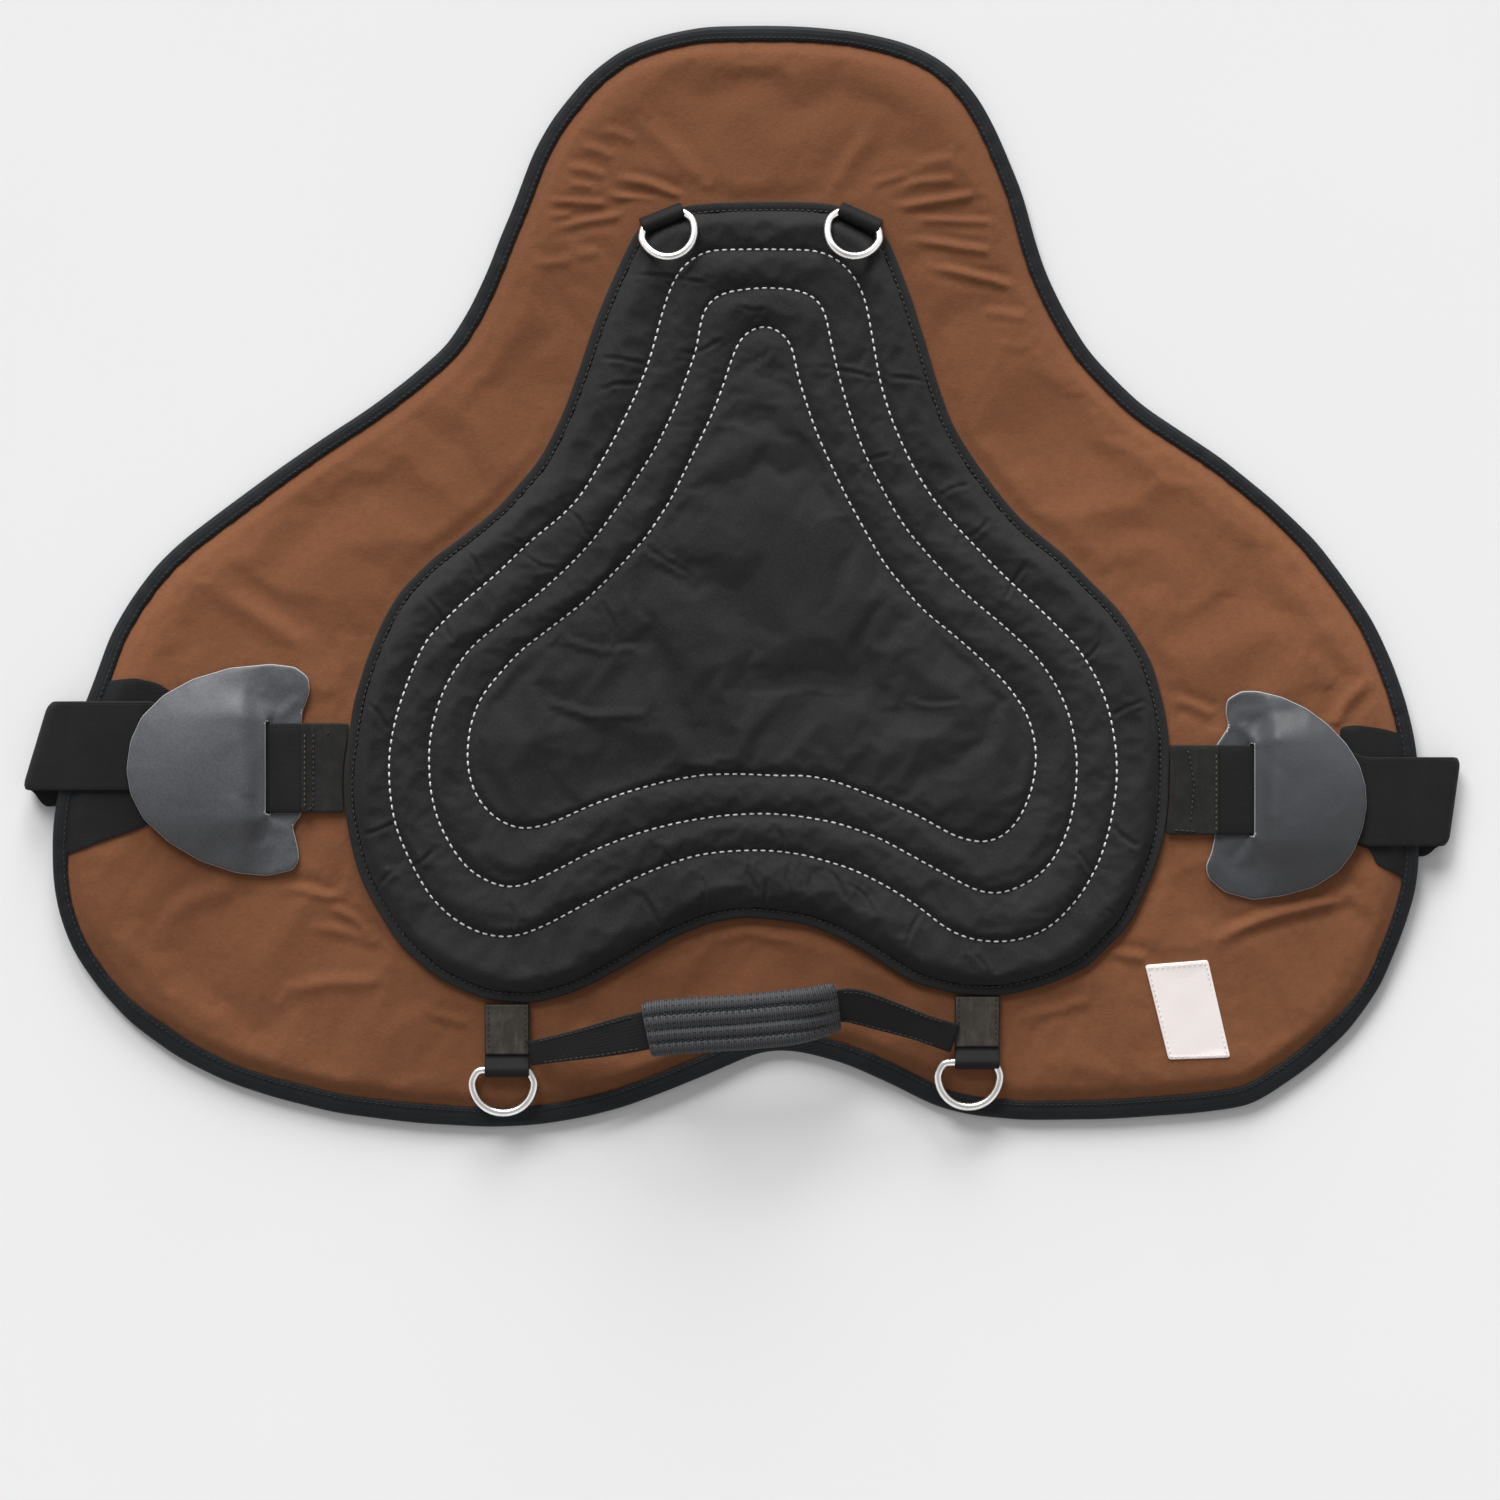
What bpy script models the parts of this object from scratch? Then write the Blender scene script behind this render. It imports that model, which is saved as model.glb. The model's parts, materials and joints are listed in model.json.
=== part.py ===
"""Bareback pad: a riding pad with a quilted seat, four rings, a grab handle and two guarded buckles.

It lies flat on z = 0. The front (the withers) is -Y, the rider's left is +X. Metres throughout.
Tables of pixels are places read by eye in the reference picture: x to the right, y downwards.
"""

import math

import bmesh
import bpy
from mathutils import Matrix, Vector
from mathutils.bvhtree import BVHTree

# Plan of the pad
PAD_WIDTH = 0.768
PAD_LENGTH = 0.620
LEFT_OVERHANG = 0.0224
RIGHT_OVERHANG = 0.0174

# Cover left bare between the seat and the pad's edge
LEFT_BORDER = 0.1412
RIGHT_BORDER = 0.1648
FRONT_BORDER = 0.0701
REAR_BORDER = 0.1009

# Clearances
GAP = 0.0003
LAY_GAP = 0.0005
MERGE_DISTANCE = 0.000001

# Layers of the body, from the bottom
LINING_THICKNESS = 0.0036
LINING_EDGE_THICKNESS = 0.0024
LINING_BEVEL = 0.0015
CORE_RIM_THICKNESS = 0.0025
CORE_THICKNESS = 0.0120
COVER_THICKNESS = 0.0015
COVER_PUFF_WIDTH = 0.0010
CORE_SETBACK = 0.0030

# Edge binding
BINDING_WIDTH = 0.0085
BINDING_THICKNESS = 0.0009
BINDING_ROUND = 0.0011

# Rise of the underside over the folded girth straps
STRAP_RISE = 0.0050
STRAP_RISE_REACH = 0.130
STRAP_RISE_HALF_LENGTH = 0.150

# Seat cushion
SEAT_PANEL_THICKNESS = 0.0015
SEAT_MARGIN = 0.0060
SEAT_FOAM_SETBACK = 0.0080
SEAT_FOAM_RIM = 0.0030
QUILT_VALLEY = 0.0045
QUILT_CROWN = 0.0085
SEAT_MIDDLE = 0.0095
THREAD_RADIUS = 0.0005
HEM_WIDTH = 0.0050
HEM_THICKNESS = 0.0012
HEM_INSET = 0.0003

# Rings and their webbing tabs
FRONT_RING_WIDTH = 0.0400
FRONT_RING_DEPTH = 0.0300
REAR_RING_WIDTH = 0.0350
REAR_RING_DEPTH = 0.0290
RING_WIRE_RADIUS = 0.0020
TAB_WIDTH = 0.0250
TAB_WEBBING = 0.0015
FRONT_TAB_LENGTH = 0.0370
TAB_PINCH = 0.0070

# Handle
HANDLE_RISE = 0.0240
HANDLE_LEAN = 0.0180
HANDLE_AXIS_HEIGHT = 0.0065
HANDLE_WEBBING_WIDTH = 0.0250
HANDLE_END_WIDTH = 0.0120
HANDLE_WEBBING = 0.0018
HANDLE_END_GAP = 0.0005
SLEEVE_LENGTH = 0.1060
SLEEVE_WIDTH = 0.0310
SLEEVE_THICKNESS = 0.0090

# Label
LABEL_WIDTH = 0.0350
LABEL_LENGTH = 0.0540
LABEL_THICKNESS = 0.0006

# Girth webbing and buckles
GIRTH_WIDTH = 0.0500
GIRTH_WEBBING = 0.0016
LEATHER_THICKNESS = 0.0025
GUARD_LENGTH = 0.1180
LIP_REACH = 0.0220
SLOT_MARGIN = 0.0025
SLOT_FADE = 0.0120
GUARD_DOME = 0.0100
PATCH_THICKNESS = 0.0010
PATCH_UNDER_GUARD = 0.0060
BUCKLE_WIRE_RADIUS = 0.00175
BUCKLE_REACH = 0.0260
BUCKLE_SIDE_PLAY = 0.0010
BUCKLE_CORNER = 0.0040
SLOT_TO_BAR = 0.0150
ROLLER_RADIUS = 0.0025
TONGUE_RADIUS = 0.0011
TONGUE_EYE_WALL = 0.0012
TONGUE_WIDTH = 0.0030
TONGUE_TIP = 0.0030
TONGUE_PLAY = 0.0010
STRAP_HOLE_LENGTH = 0.0110
STRAP_TAIL = 0.0060
STRAP_RETURN = 0.0250
STRAP_PEEK = 0.0060
STRAP_DROP = 0.0120

# Places on the bare cover beside the seat, as shares of its width
LEFT_SLOT_SHARE = 0.326
RIGHT_SLOT_SHARE = 0.255
LEFT_FLAP_SHARE = 0.460
RIGHT_FLAP_SHARE = 0.479

# Sideways run of the strap outside the buckle for its outward run
LEFT_SKEW_SHARE = -0.10
RIGHT_SKEW_SHARE = 0.16

# Place of the strap's hole between the buckle's bar and roller
STRAP_HOLE_SHARE = 0.46

PAD_OUTLINE_PIXELS = [
    (765, 22), (857, 28), (930, 49), (978, 92), (1000, 133), (1024, 191), (1046, 268),
    (1064, 306), (1089, 348), (1143, 403), (1223, 456), (1276, 499), (1319, 540), (1351, 583),
    (1376, 621), (1400, 677), (1416, 735), (1421, 795), (1421, 860), (1405, 934), (1383, 988),
    (1352, 1032), (1314, 1067), (1272, 1096), (1198, 1115), (1110, 1121), (1025, 1122),
    (971, 1117), (936, 1108), (891, 1085), (846, 1065), (802, 1053), (779, 1051), (757, 1054),
    (712, 1074), (668, 1092), (579, 1120), (489, 1129), (415, 1125), (335, 1115), (271, 1099),
    (223, 1083), (175, 1059), (128, 1025), (90, 983), (60, 925), (50, 870), (50, 815),
    (63, 753), (88, 691), (108, 634), (140, 581), (179, 540), (217, 511), (274, 469),
    (319, 438), (367, 407), (408, 376), (446, 343), (469, 306), (488, 265), (510, 210),
    (532, 150), (551, 116), (586, 73), (621, 46), (659, 32), (704, 23),
]

SEAT_OUTLINE_PIXELS = [
    (752, 202), (800, 202), (838, 204), (883, 230), (895, 255), (924, 338), (953, 427),
    (975, 462), (1006, 503), (1064, 554), (1115, 605), (1150, 659), (1166, 717), (1169, 775),
    (1163, 844), (1140, 902), (1108, 946), (1064, 978), (1003, 996), (958, 995), (913, 983),
    (882, 963), (838, 936), (802, 923), (755, 917), (712, 922), (668, 940), (623, 967),
    (579, 991), (534, 1004), (485, 1000), (436, 978), (400, 945), (376, 908), (351, 844),
    (344, 790), (349, 736), (367, 659), (402, 589), (472, 529), (500, 506), (541, 459),
    (564, 411), (596, 319), (627, 249), (640, 223), (679, 207), (715, 203),
]

OUTER_ROW_PIXELS = [
    (704, 252), (762, 251), (819, 252), (845, 267), (865, 300), (875, 357), (892, 424),
    (932, 500), (1000, 574), (1041, 612), (1076, 647), (1108, 710), (1116, 781), (1099, 860),
    (1051, 926), (1000, 942), (946, 929), (889, 887), (851, 868), (803, 854), (736, 850),
    (698, 854), (659, 867), (583, 905), (548, 924), (500, 937), (453, 918), (411, 860),
    (391, 793), (397, 717), (427, 640), (500, 573), (557, 522), (612, 446), (650, 363),
    (667, 300), (679, 271),
]

MIDDLE_ROW_PIXELS = [
    (728, 293), (765, 288), (800, 290), (816, 300), (830, 341), (848, 411), (887, 500),
    (940, 570), (1000, 624), (1057, 688), (1076, 755), (1067, 832), (1025, 884), (978, 892),
    (914, 857), (835, 822), (793, 815), (740, 813), (679, 822), (637, 833), (557, 870),
    (522, 887), (500, 887), (453, 848), (431, 787), (437, 710), (472, 647), (538, 596),
    (599, 535), (656, 450), (688, 376), (701, 319), (710, 300),
]

INNER_ROW_PIXELS = [
    (742, 336), (765, 325), (784, 333), (793, 348), (801, 389), (832, 469), (883, 564),
    (962, 643), (1016, 698), (1036, 752), (1032, 787), (1000, 839), (953, 836), (883, 800),
    (835, 781), (781, 774), (707, 774), (627, 792), (551, 824), (500, 821), (468, 765),
    (470, 730), (500, 675), (548, 631), (618, 570), (672, 500), (704, 434), (733, 357),
]

PAD_CENTRE_PIXEL = (740, 640)
SEAT_CENTRE_PIXEL = (755, 700)

LEFT_GIRTH_PIXEL = (1168, 790)
RIGHT_GIRTH_PIXEL = (345, 768)
PATCH_TOP_PIXEL = 681
PATCH_BOTTOM_PIXEL = 850

FRONT_TAB_PIXEL_COLUMNS = {"left": 977, "right": 507}
REAR_BAR_PIXELS = {"left": (857, 225), "right": (664, 223)}
REAR_HEADING_DEGREES = {"left": -114.0, "right": -68.0}
LABEL_PIXEL = (1188, 1011)
LABEL_TURN_DEGREES = 13.0

# Guard outlines: outward share of the reach, along share of half the guard's length
FLAP_SHARES = [
    (0.0, 1.0), (0.28, 0.95), (0.51, 0.85), (0.70, 0.70), (0.86, 0.50), (0.96, 0.27), (1.0, 0.0),
    (0.97, -0.27), (0.88, -0.50), (0.73, -0.70), (0.52, -0.87), (0.26, -0.96), (0.0, -1.0),
    (0.0, -0.78), (0.0, -0.62), (0.0, -0.47), (0.0, 0.0), (0.0, 0.47), (0.0, 0.62), (0.0, 0.78),
]
LIP_SHARES = [
    (0.0, 1.0), (0.6, 0.97), (0.95, 0.88), (1.0, 0.74), (0.82, 0.55), (0.78, 0.3), (0.74, 0.0),
    (0.7, -0.3), (0.62, -0.55), (0.75, -0.74), (0.78, -0.86), (0.6, -0.95), (0.0, -1.0),
    (0.0, -0.5), (0.0, 0.0), (0.0, 0.5),
]

BROWN = (0.235, 0.098, 0.048)
SEAT_BLACK = (0.026, 0.026, 0.027)
BINDING_BLACK = (0.015, 0.019, 0.023)
WEBBING_BLACK = (0.016, 0.016, 0.016)
LEATHER_GREY = (0.091, 0.098, 0.112)
SLEEVE_GREY = (0.070, 0.074, 0.080)
NICKEL = (0.62, 0.61, 0.59)
THREAD_WHITE = (0.68, 0.68, 0.67)
LABEL_WHITE = (0.72, 0.72, 0.72)
FOAM_CREAM = (0.60, 0.55, 0.42)
LINING_GREY = (0.060, 0.060, 0.062)

SIDES = {"left": 1, "right": -1}


def clear_scene():
    for old in list(bpy.data.objects):
        bpy.data.objects.remove(old, do_unlink=True)


def new_collection(name):
    collection = bpy.data.collections.new(name)
    bpy.context.scene.collection.children.link(collection)
    return collection


clear_scene()
PAD_PARTS = new_collection("bareback_pad")
CUTTERS = new_collection("cutters")


def dress(part, colour, roughness, metallic=0.0):
    """Give a part its own plain material and smooth shading."""
    material = bpy.data.materials.new(part.name)
    material.use_nodes = True
    shader = material.node_tree.nodes["Principled BSDF"]
    shader.inputs["Base Color"].default_value = (*colour, 1.0)
    shader.inputs["Roughness"].default_value = roughness
    shader.inputs["Metallic"].default_value = metallic
    part.data.materials.clear()
    part.data.materials.append(material)
    if part.type == "MESH":
        part.data.shade_smooth()
    return part


def add_part(name, data, collection=PAD_PARTS):
    part = bpy.data.objects.new(name, data)
    collection.objects.link(part)
    return part


# Plan places

def bounds_of(pixels):
    across = [pixel[0] for pixel in pixels]
    down = [pixel[1] for pixel in pixels]
    return min(across), max(across), min(down), max(down)


def plan_frame(pixels, width, length, centre):
    """A function that places a pixel, so that the pixel outline fills width by length about centre."""
    low_x, high_x, low_y, high_y = bounds_of(pixels)

    def place(pixel):
        across_share = (pixel[0] - low_x) / (high_x - low_x) - 0.5
        down_share = (pixel[1] - low_y) / (high_y - low_y) - 0.5
        return Vector((centre[0] + width * across_share, centre[1] - length * down_share))

    return place


PAD_SHIFT = (RIGHT_OVERHANG - LEFT_OVERHANG) / 2
pad_place = plan_frame(PAD_OUTLINE_PIXELS, PAD_WIDTH, PAD_LENGTH, (PAD_SHIFT, 0.0))
SEAT_WIDTH = PAD_WIDTH - LEFT_BORDER - RIGHT_BORDER
SEAT_LENGTH = PAD_LENGTH - FRONT_BORDER - REAR_BORDER
SEAT_MIDDLE_PLACE = (PAD_SHIFT + (RIGHT_BORDER - LEFT_BORDER) / 2, (FRONT_BORDER - REAR_BORDER) / 2)
seat_place = plan_frame(SEAT_OUTLINE_PIXELS, SEAT_WIDTH, SEAT_LENGTH, SEAT_MIDDLE_PLACE)

# The tables run clockwise, so they are turned round to run anticlockwise
PAD_OUTLINE = [pad_place(pixel) for pixel in reversed(PAD_OUTLINE_PIXELS)]
SEAT_OUTLINE = [seat_place(pixel) for pixel in reversed(SEAT_OUTLINE_PIXELS)]
PAD_CENTRE = pad_place(PAD_CENTRE_PIXEL)
SEAT_CENTRE = seat_place(SEAT_CENTRE_PIXEL)


def inset(outline, distance):
    """Each point of an anticlockwise outline moved inwards along its own normal."""
    moved = []
    count = len(outline)
    for index, point in enumerate(outline):
        before = (point - outline[index - 1]).normalized()
        after = (outline[(index + 1) % count] - point).normalized()
        along = (before + after).normalized()
        moved.append(point + Vector((-along.y, along.x)) * distance)
    return moved


def toward(outline, centre, share):
    return [centre + (point - centre) * share for point in outline]


def crossing(outline, centre, heading):
    """Distance from centre to a closed outline in the direction of heading."""
    best = 0.0
    for index, start in enumerate(outline):
        step = outline[index - 1] - start
        cross = heading.cross(step)
        if cross == 0:
            continue
        offset = start - centre
        run = offset.cross(step) / cross
        share = offset.cross(heading) / cross
        if run > 0 and abs(share - 0.5) < 0.5001:
            best = max(best, run)
    return best


def share_at(point, outline, centre):
    offset = point - centre
    if offset.length < 1e-9:
        return 0.0
    return offset.length / crossing(outline, centre, offset.normalized())


# Heights

def smooth(share):
    share = min(1.0, max(0.0, share))
    return share * share * (3 - 2 * share)


def hump(share):
    """One at zero, falling smoothly to zero at one."""
    return max(0.0, 1 - share * share) ** 2


CORE_OUTLINE = inset(PAD_OUTLINE, BINDING_WIDTH + CORE_SETBACK)
GIRTH_LINES = {
    "left": seat_place(LEFT_GIRTH_PIXEL).y,
    "right": seat_place(RIGHT_GIRTH_PIXEL).y,
}


def edge_at(side, y, outline):
    """The outermost x of an outline on one side, at height y of the plan."""
    found = []
    for index, end in enumerate(outline):
        start = outline[index - 1]
        if min(start.y, end.y) <= y <= max(start.y, end.y) and start.y != end.y:
            share = (y - start.y) / (end.y - start.y)
            found.append(start.x + (end.x - start.x) * share)
    return max(found) if side > 0 else min(found)


PAD_EDGES = {name: edge_at(side, GIRTH_LINES[name], PAD_OUTLINE) for name, side in SIDES.items()}


def rise(point):
    """How far the underside is lifted by the folded straps."""
    total = 0.0
    for name, side in SIDES.items():
        inward = max(0.0, side * (PAD_EDGES[name] - point.x)) / STRAP_RISE_REACH
        along = abs(point.y - GIRTH_LINES[name]) / STRAP_RISE_HALF_LENGTH
        if inward < 1 and along < 1:
            total += STRAP_RISE * hump(inward) * hump(along)
    return total


CORE_BOTTOM = LINING_THICKNESS + GAP
COVER_EDGE_TOP = CORE_BOTTOM + COVER_THICKNESS
EDGE_HEIGHT = COVER_EDGE_TOP + GAP + BINDING_THICKNESS


def core_top(point):
    share = min(1.0, share_at(point, CORE_OUTLINE, PAD_CENTRE))
    swell = (CORE_THICKNESS - CORE_RIM_THICKNESS) * (1 - share ** 4)
    return rise(point) + CORE_BOTTOM + CORE_RIM_THICKNESS + swell


def cover_top(point):
    return core_top(point) + GAP + COVER_THICKNESS


# Lofted solids

def girth_of(loop):
    """The length round a loop of vertices. Laid layers split their squares alike, from the shorter loop."""
    return sum((vertex.co - loop[index - 1].co).length for index, vertex in enumerate(loop))


def skin(name, rings, ends="fan", collection=PAD_PARTS):
    """A closed mesh through rings of equal length. Its ends are fans, flat caps, or joined in a loop."""
    shape = bmesh.new()
    loops = [[shape.verts.new(point) for point in ring] for ring in rings]
    pairs = list(zip(loops, loops[1:]))
    if ends == "loop":
        pairs.append((loops[-1], loops[0]))
    count = len(loops[0])
    for first, second in pairs:
        inner, outer = sorted((first, second), key=girth_of)
        for index in range(count):
            after = (index + 1) % count
            shape.faces.new((inner[index], outer[index], outer[after]))
            shape.faces.new((inner[index], outer[after], inner[after]))
    if ends != "loop":
        caps = [shape.faces.new(loops[0]), shape.faces.new(loops[-1])]
        if ends == "fan":
            bmesh.ops.poke(shape, faces=caps)
    bmesh.ops.recalc_face_normals(shape, faces=shape.faces)
    mesh = bpy.data.meshes.new(name)
    shape.to_mesh(mesh)
    shape.free()
    return add_part(name, mesh, collection)


def at_height(points, height):
    """Plan points lifted to a height, or to the value of a height function."""
    lifted = []
    for point in points:
        level = height(point) if callable(height) else height
        lifted.append((point.x, point.y, level))
    return lifted


# Body of the pad

CORE_RING_SHARES = [0.22, 0.50, 0.76, 1.0]
COVER_RING_SHARES = [0.22, 0.42, 0.60, 0.76, 0.90, 1.0]


def body_height(level):
    """A height function at a fixed level above the lifted underside."""
    return lambda point: rise(point) + level


def build_lining():
    inner = inset(PAD_OUTLINE, BINDING_WIDTH + GAP + LINING_BEVEL)
    shoulder = inset(PAD_OUTLINE, BINDING_WIDTH + GAP)
    edge = inset(PAD_OUTLINE, BINDING_THICKNESS + GAP)
    edge_bottom = LINING_THICKNESS - LINING_EDGE_THICKNESS
    rings = []
    for share in CORE_RING_SHARES:
        rings.append(at_height(toward(CORE_OUTLINE, PAD_CENTRE, share), body_height(LINING_THICKNESS)))
    rings.append(at_height(edge, body_height(LINING_THICKNESS)))
    rings.append(at_height(edge, body_height(edge_bottom)))
    rings.append(at_height(shoulder, body_height(edge_bottom)))
    rings.append(at_height(inner, body_height(0.0)))
    for share in reversed(CORE_RING_SHARES):
        rings.append(at_height(toward(CORE_OUTLINE, PAD_CENTRE, share), body_height(0.0)))
    dress(skin("lining", rings), LINING_GREY, 0.95)


def build_core():
    rings = []
    for share in CORE_RING_SHARES:
        rings.append(at_height(toward(CORE_OUTLINE, PAD_CENTRE, share), core_top))
    for share in reversed(CORE_RING_SHARES):
        rings.append(at_height(toward(CORE_OUTLINE, PAD_CENTRE, share), body_height(CORE_BOTTOM)))
    dress(skin("foam_core", rings), FOAM_CREAM, 0.9)


def build_cover():
    edge = inset(PAD_OUTLINE, BINDING_THICKNESS + GAP)
    wall_inset = BINDING_WIDTH + CORE_SETBACK - GAP
    wall = inset(PAD_OUTLINE, wall_inset)
    wall_foot = inset(PAD_OUTLINE, wall_inset - GAP)
    puff_foot = inset(PAD_OUTLINE, BINDING_WIDTH + GAP)
    puff = inset(PAD_OUTLINE, BINDING_WIDTH + GAP + COVER_PUFF_WIDTH)
    rim_level = CORE_BOTTOM + CORE_RIM_THICKNESS + GAP
    rings = []
    for share in COVER_RING_SHARES:
        rings.append(at_height(toward(CORE_OUTLINE, PAD_CENTRE, share), cover_top))
    rings.append(at_height(puff, body_height(rim_level + COVER_THICKNESS - GAP)))
    rings.append(at_height(puff_foot, body_height(COVER_EDGE_TOP)))
    rings.append(at_height(edge, body_height(COVER_EDGE_TOP)))
    rings.append(at_height(edge, body_height(CORE_BOTTOM)))
    rings.append(at_height(wall_foot, body_height(CORE_BOTTOM)))
    rings.append(at_height(wall, body_height(rim_level)))
    for share in reversed(CORE_RING_SHARES):
        ring = toward(CORE_OUTLINE, PAD_CENTRE, share)
        rings.append(at_height(ring, lambda point: core_top(point) + GAP))
    dress(skin("top_cover", rings), BROWN, 0.85)


def build_binding():
    """A channel folded over the edge, as a section of inset and height."""
    section = [
        (BINDING_WIDTH, 0.0),
        (BINDING_ROUND, 0.0),
        (0.0, BINDING_ROUND),
        (0.0, EDGE_HEIGHT - BINDING_ROUND),
        (BINDING_ROUND, EDGE_HEIGHT),
        (BINDING_WIDTH, EDGE_HEIGHT),
        (BINDING_WIDTH, EDGE_HEIGHT - BINDING_THICKNESS),
        (BINDING_THICKNESS, EDGE_HEIGHT - BINDING_THICKNESS),
        (BINDING_THICKNESS, BINDING_THICKNESS),
        (BINDING_WIDTH, BINDING_THICKNESS),
    ]
    rings = []
    for distance, level in section:
        rings.append(at_height(inset(PAD_OUTLINE, distance), body_height(level)))
    dress(skin("edge_binding", rings, ends="loop"), BINDING_BLACK, 0.5)


# Seat

def ray_ring(pixels):
    """Where the rays from the seat's centre through its outline cross a quilting row."""
    row = [seat_place(pixel) for pixel in reversed(pixels)]
    ring = []
    for point in SEAT_OUTLINE:
        heading = (point - SEAT_CENTRE).normalized()
        ring.append(SEAT_CENTRE + heading * crossing(row, SEAT_CENTRE, heading))
    return ring


def between(first, second, share):
    return [one.lerp(two, share) for one, two in zip(first, second)]


SEAT_RIM = inset(SEAT_OUTLINE, SEAT_FOAM_SETBACK)
OUTER_ROW = ray_ring(OUTER_ROW_PIXELS)
MIDDLE_ROW = ray_ring(MIDDLE_ROW_PIXELS)
INNER_ROW = ray_ring(INNER_ROW_PIXELS)


def seat_height(level):
    """A height function at a fixed level above the cover."""
    return lambda point: cover_top(point) + LAY_GAP + level


def quilt_rings():
    """Plan rings of the quilted foam from the middle outwards, with their heights above the cover."""
    return [
        (toward(INNER_ROW, SEAT_CENTRE, 0.40), SEAT_MIDDLE),
        (toward(INNER_ROW, SEAT_CENTRE, 0.78), QUILT_CROWN),
        (INNER_ROW, QUILT_VALLEY),
        (between(INNER_ROW, MIDDLE_ROW, 0.5), QUILT_CROWN),
        (MIDDLE_ROW, QUILT_VALLEY),
        (between(MIDDLE_ROW, OUTER_ROW, 0.5), QUILT_CROWN),
        (OUTER_ROW, QUILT_VALLEY),
        (between(OUTER_ROW, SEAT_RIM, 0.5), QUILT_CROWN),
        (SEAT_RIM, SEAT_FOAM_RIM),
    ]


def build_seat_foam():
    rings = [at_height(ring, seat_height(level)) for ring, level in quilt_rings()]
    for share in (1.0, 0.75, 0.5, 0.25):
        rings.append(at_height(toward(SEAT_RIM, SEAT_CENTRE, share), seat_height(0.0)))
    dress(skin("seat_foam", rings), FOAM_CREAM, 0.9)


def build_seat_panel():
    """The quilted skin: its underside follows the foam, its top has fuller crowns."""
    top_offset = GAP + SEAT_PANEL_THICKNESS
    rings = []
    foam_rings = quilt_rings()
    for (ring, level), (outer, outer_level) in zip(foam_rings, foam_rings[1:]):
        rings.append(at_height(ring, seat_height(level + top_offset)))
        fuller = max(level, outer_level) * 0.75 + min(level, outer_level) * 0.25
        if abs(level - outer_level) > GAP:
            rings.append(at_height(between(ring, outer, 0.5), seat_height(fuller + top_offset)))
    rings.append(at_height(SEAT_RIM, seat_height(SEAT_FOAM_RIM + top_offset)))
    margin = inset(SEAT_OUTLINE, SEAT_MARGIN)
    wall_foot = inset(SEAT_OUTLINE, SEAT_FOAM_SETBACK - 2 * GAP)
    wall = inset(SEAT_OUTLINE, SEAT_FOAM_SETBACK - GAP)
    rings.append(at_height(margin, seat_height(SEAT_PANEL_THICKNESS)))
    rings.append(at_height(SEAT_OUTLINE, seat_height(SEAT_PANEL_THICKNESS)))
    rings.append(at_height(SEAT_OUTLINE, seat_height(0.0)))
    rings.append(at_height(wall_foot, seat_height(0.0)))
    rings.append(at_height(wall, seat_height(SEAT_FOAM_RIM + GAP)))
    for ring, level in reversed(foam_rings):
        rings.append(at_height(ring, seat_height(level + GAP)))
    dress(skin("seat_panel", rings), SEAT_BLACK, 0.9)


def build_hem():
    low = SEAT_PANEL_THICKNESS + GAP
    outer = inset(SEAT_OUTLINE, HEM_INSET)
    inner = inset(SEAT_OUTLINE, HEM_INSET + HEM_WIDTH)
    rings = [
        at_height(outer, seat_height(low)),
        at_height(outer, seat_height(low + HEM_THICKNESS)),
        at_height(inner, seat_height(low + HEM_THICKNESS)),
        at_height(inner, seat_height(low)),
    ]
    dress(skin("seat_hem", rings, ends="loop"), SEAT_BLACK, 0.7)


def add_tube(name, points, radius, cyclic, resolution):
    curve = bpy.data.curves.new(name, "CURVE")
    curve.dimensions = "3D"
    curve.bevel_depth = radius
    curve.bevel_resolution = resolution
    curve.use_fill_caps = True
    spline = curve.splines.new("POLY")
    spline.points.add(len(points) - 1)
    for knot, point in zip(spline.points, points):
        knot.co = (*point, 1.0)
    spline.use_cyclic_u = cyclic
    return add_part(name, curve)


def build_threads():
    level = QUILT_VALLEY + GAP + SEAT_PANEL_THICKNESS + LAY_GAP + THREAD_RADIUS
    rows = {"outer": OUTER_ROW, "middle": MIDDLE_ROW, "inner": INNER_ROW}
    for row, ring in rows.items():
        tube = add_tube(f"quilt_thread_{row}", at_height(ring, seat_height(level)), THREAD_RADIUS, True, 0)
        dress(tube, THREAD_WHITE, 0.6)


# Flat webbing

def strip_outline(path, thickness):
    """The outline of a strip of even thickness along a path of points."""
    count = len(path)
    left, right = [], []
    for index, point in enumerate(path):
        before = (point - path[index - 1]).normalized() if index else None
        after = (path[index + 1] - point).normalized() if index < count - 1 else None
        along = ((before or after) + (after or before)).normalized()
        reach = thickness / 2 / max(0.5, along.dot(before or after))
        side = Vector((-along.y, along.x)) * reach
        left.append(point + side)
        right.append(point - side)
    return left + right[::-1]


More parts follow.
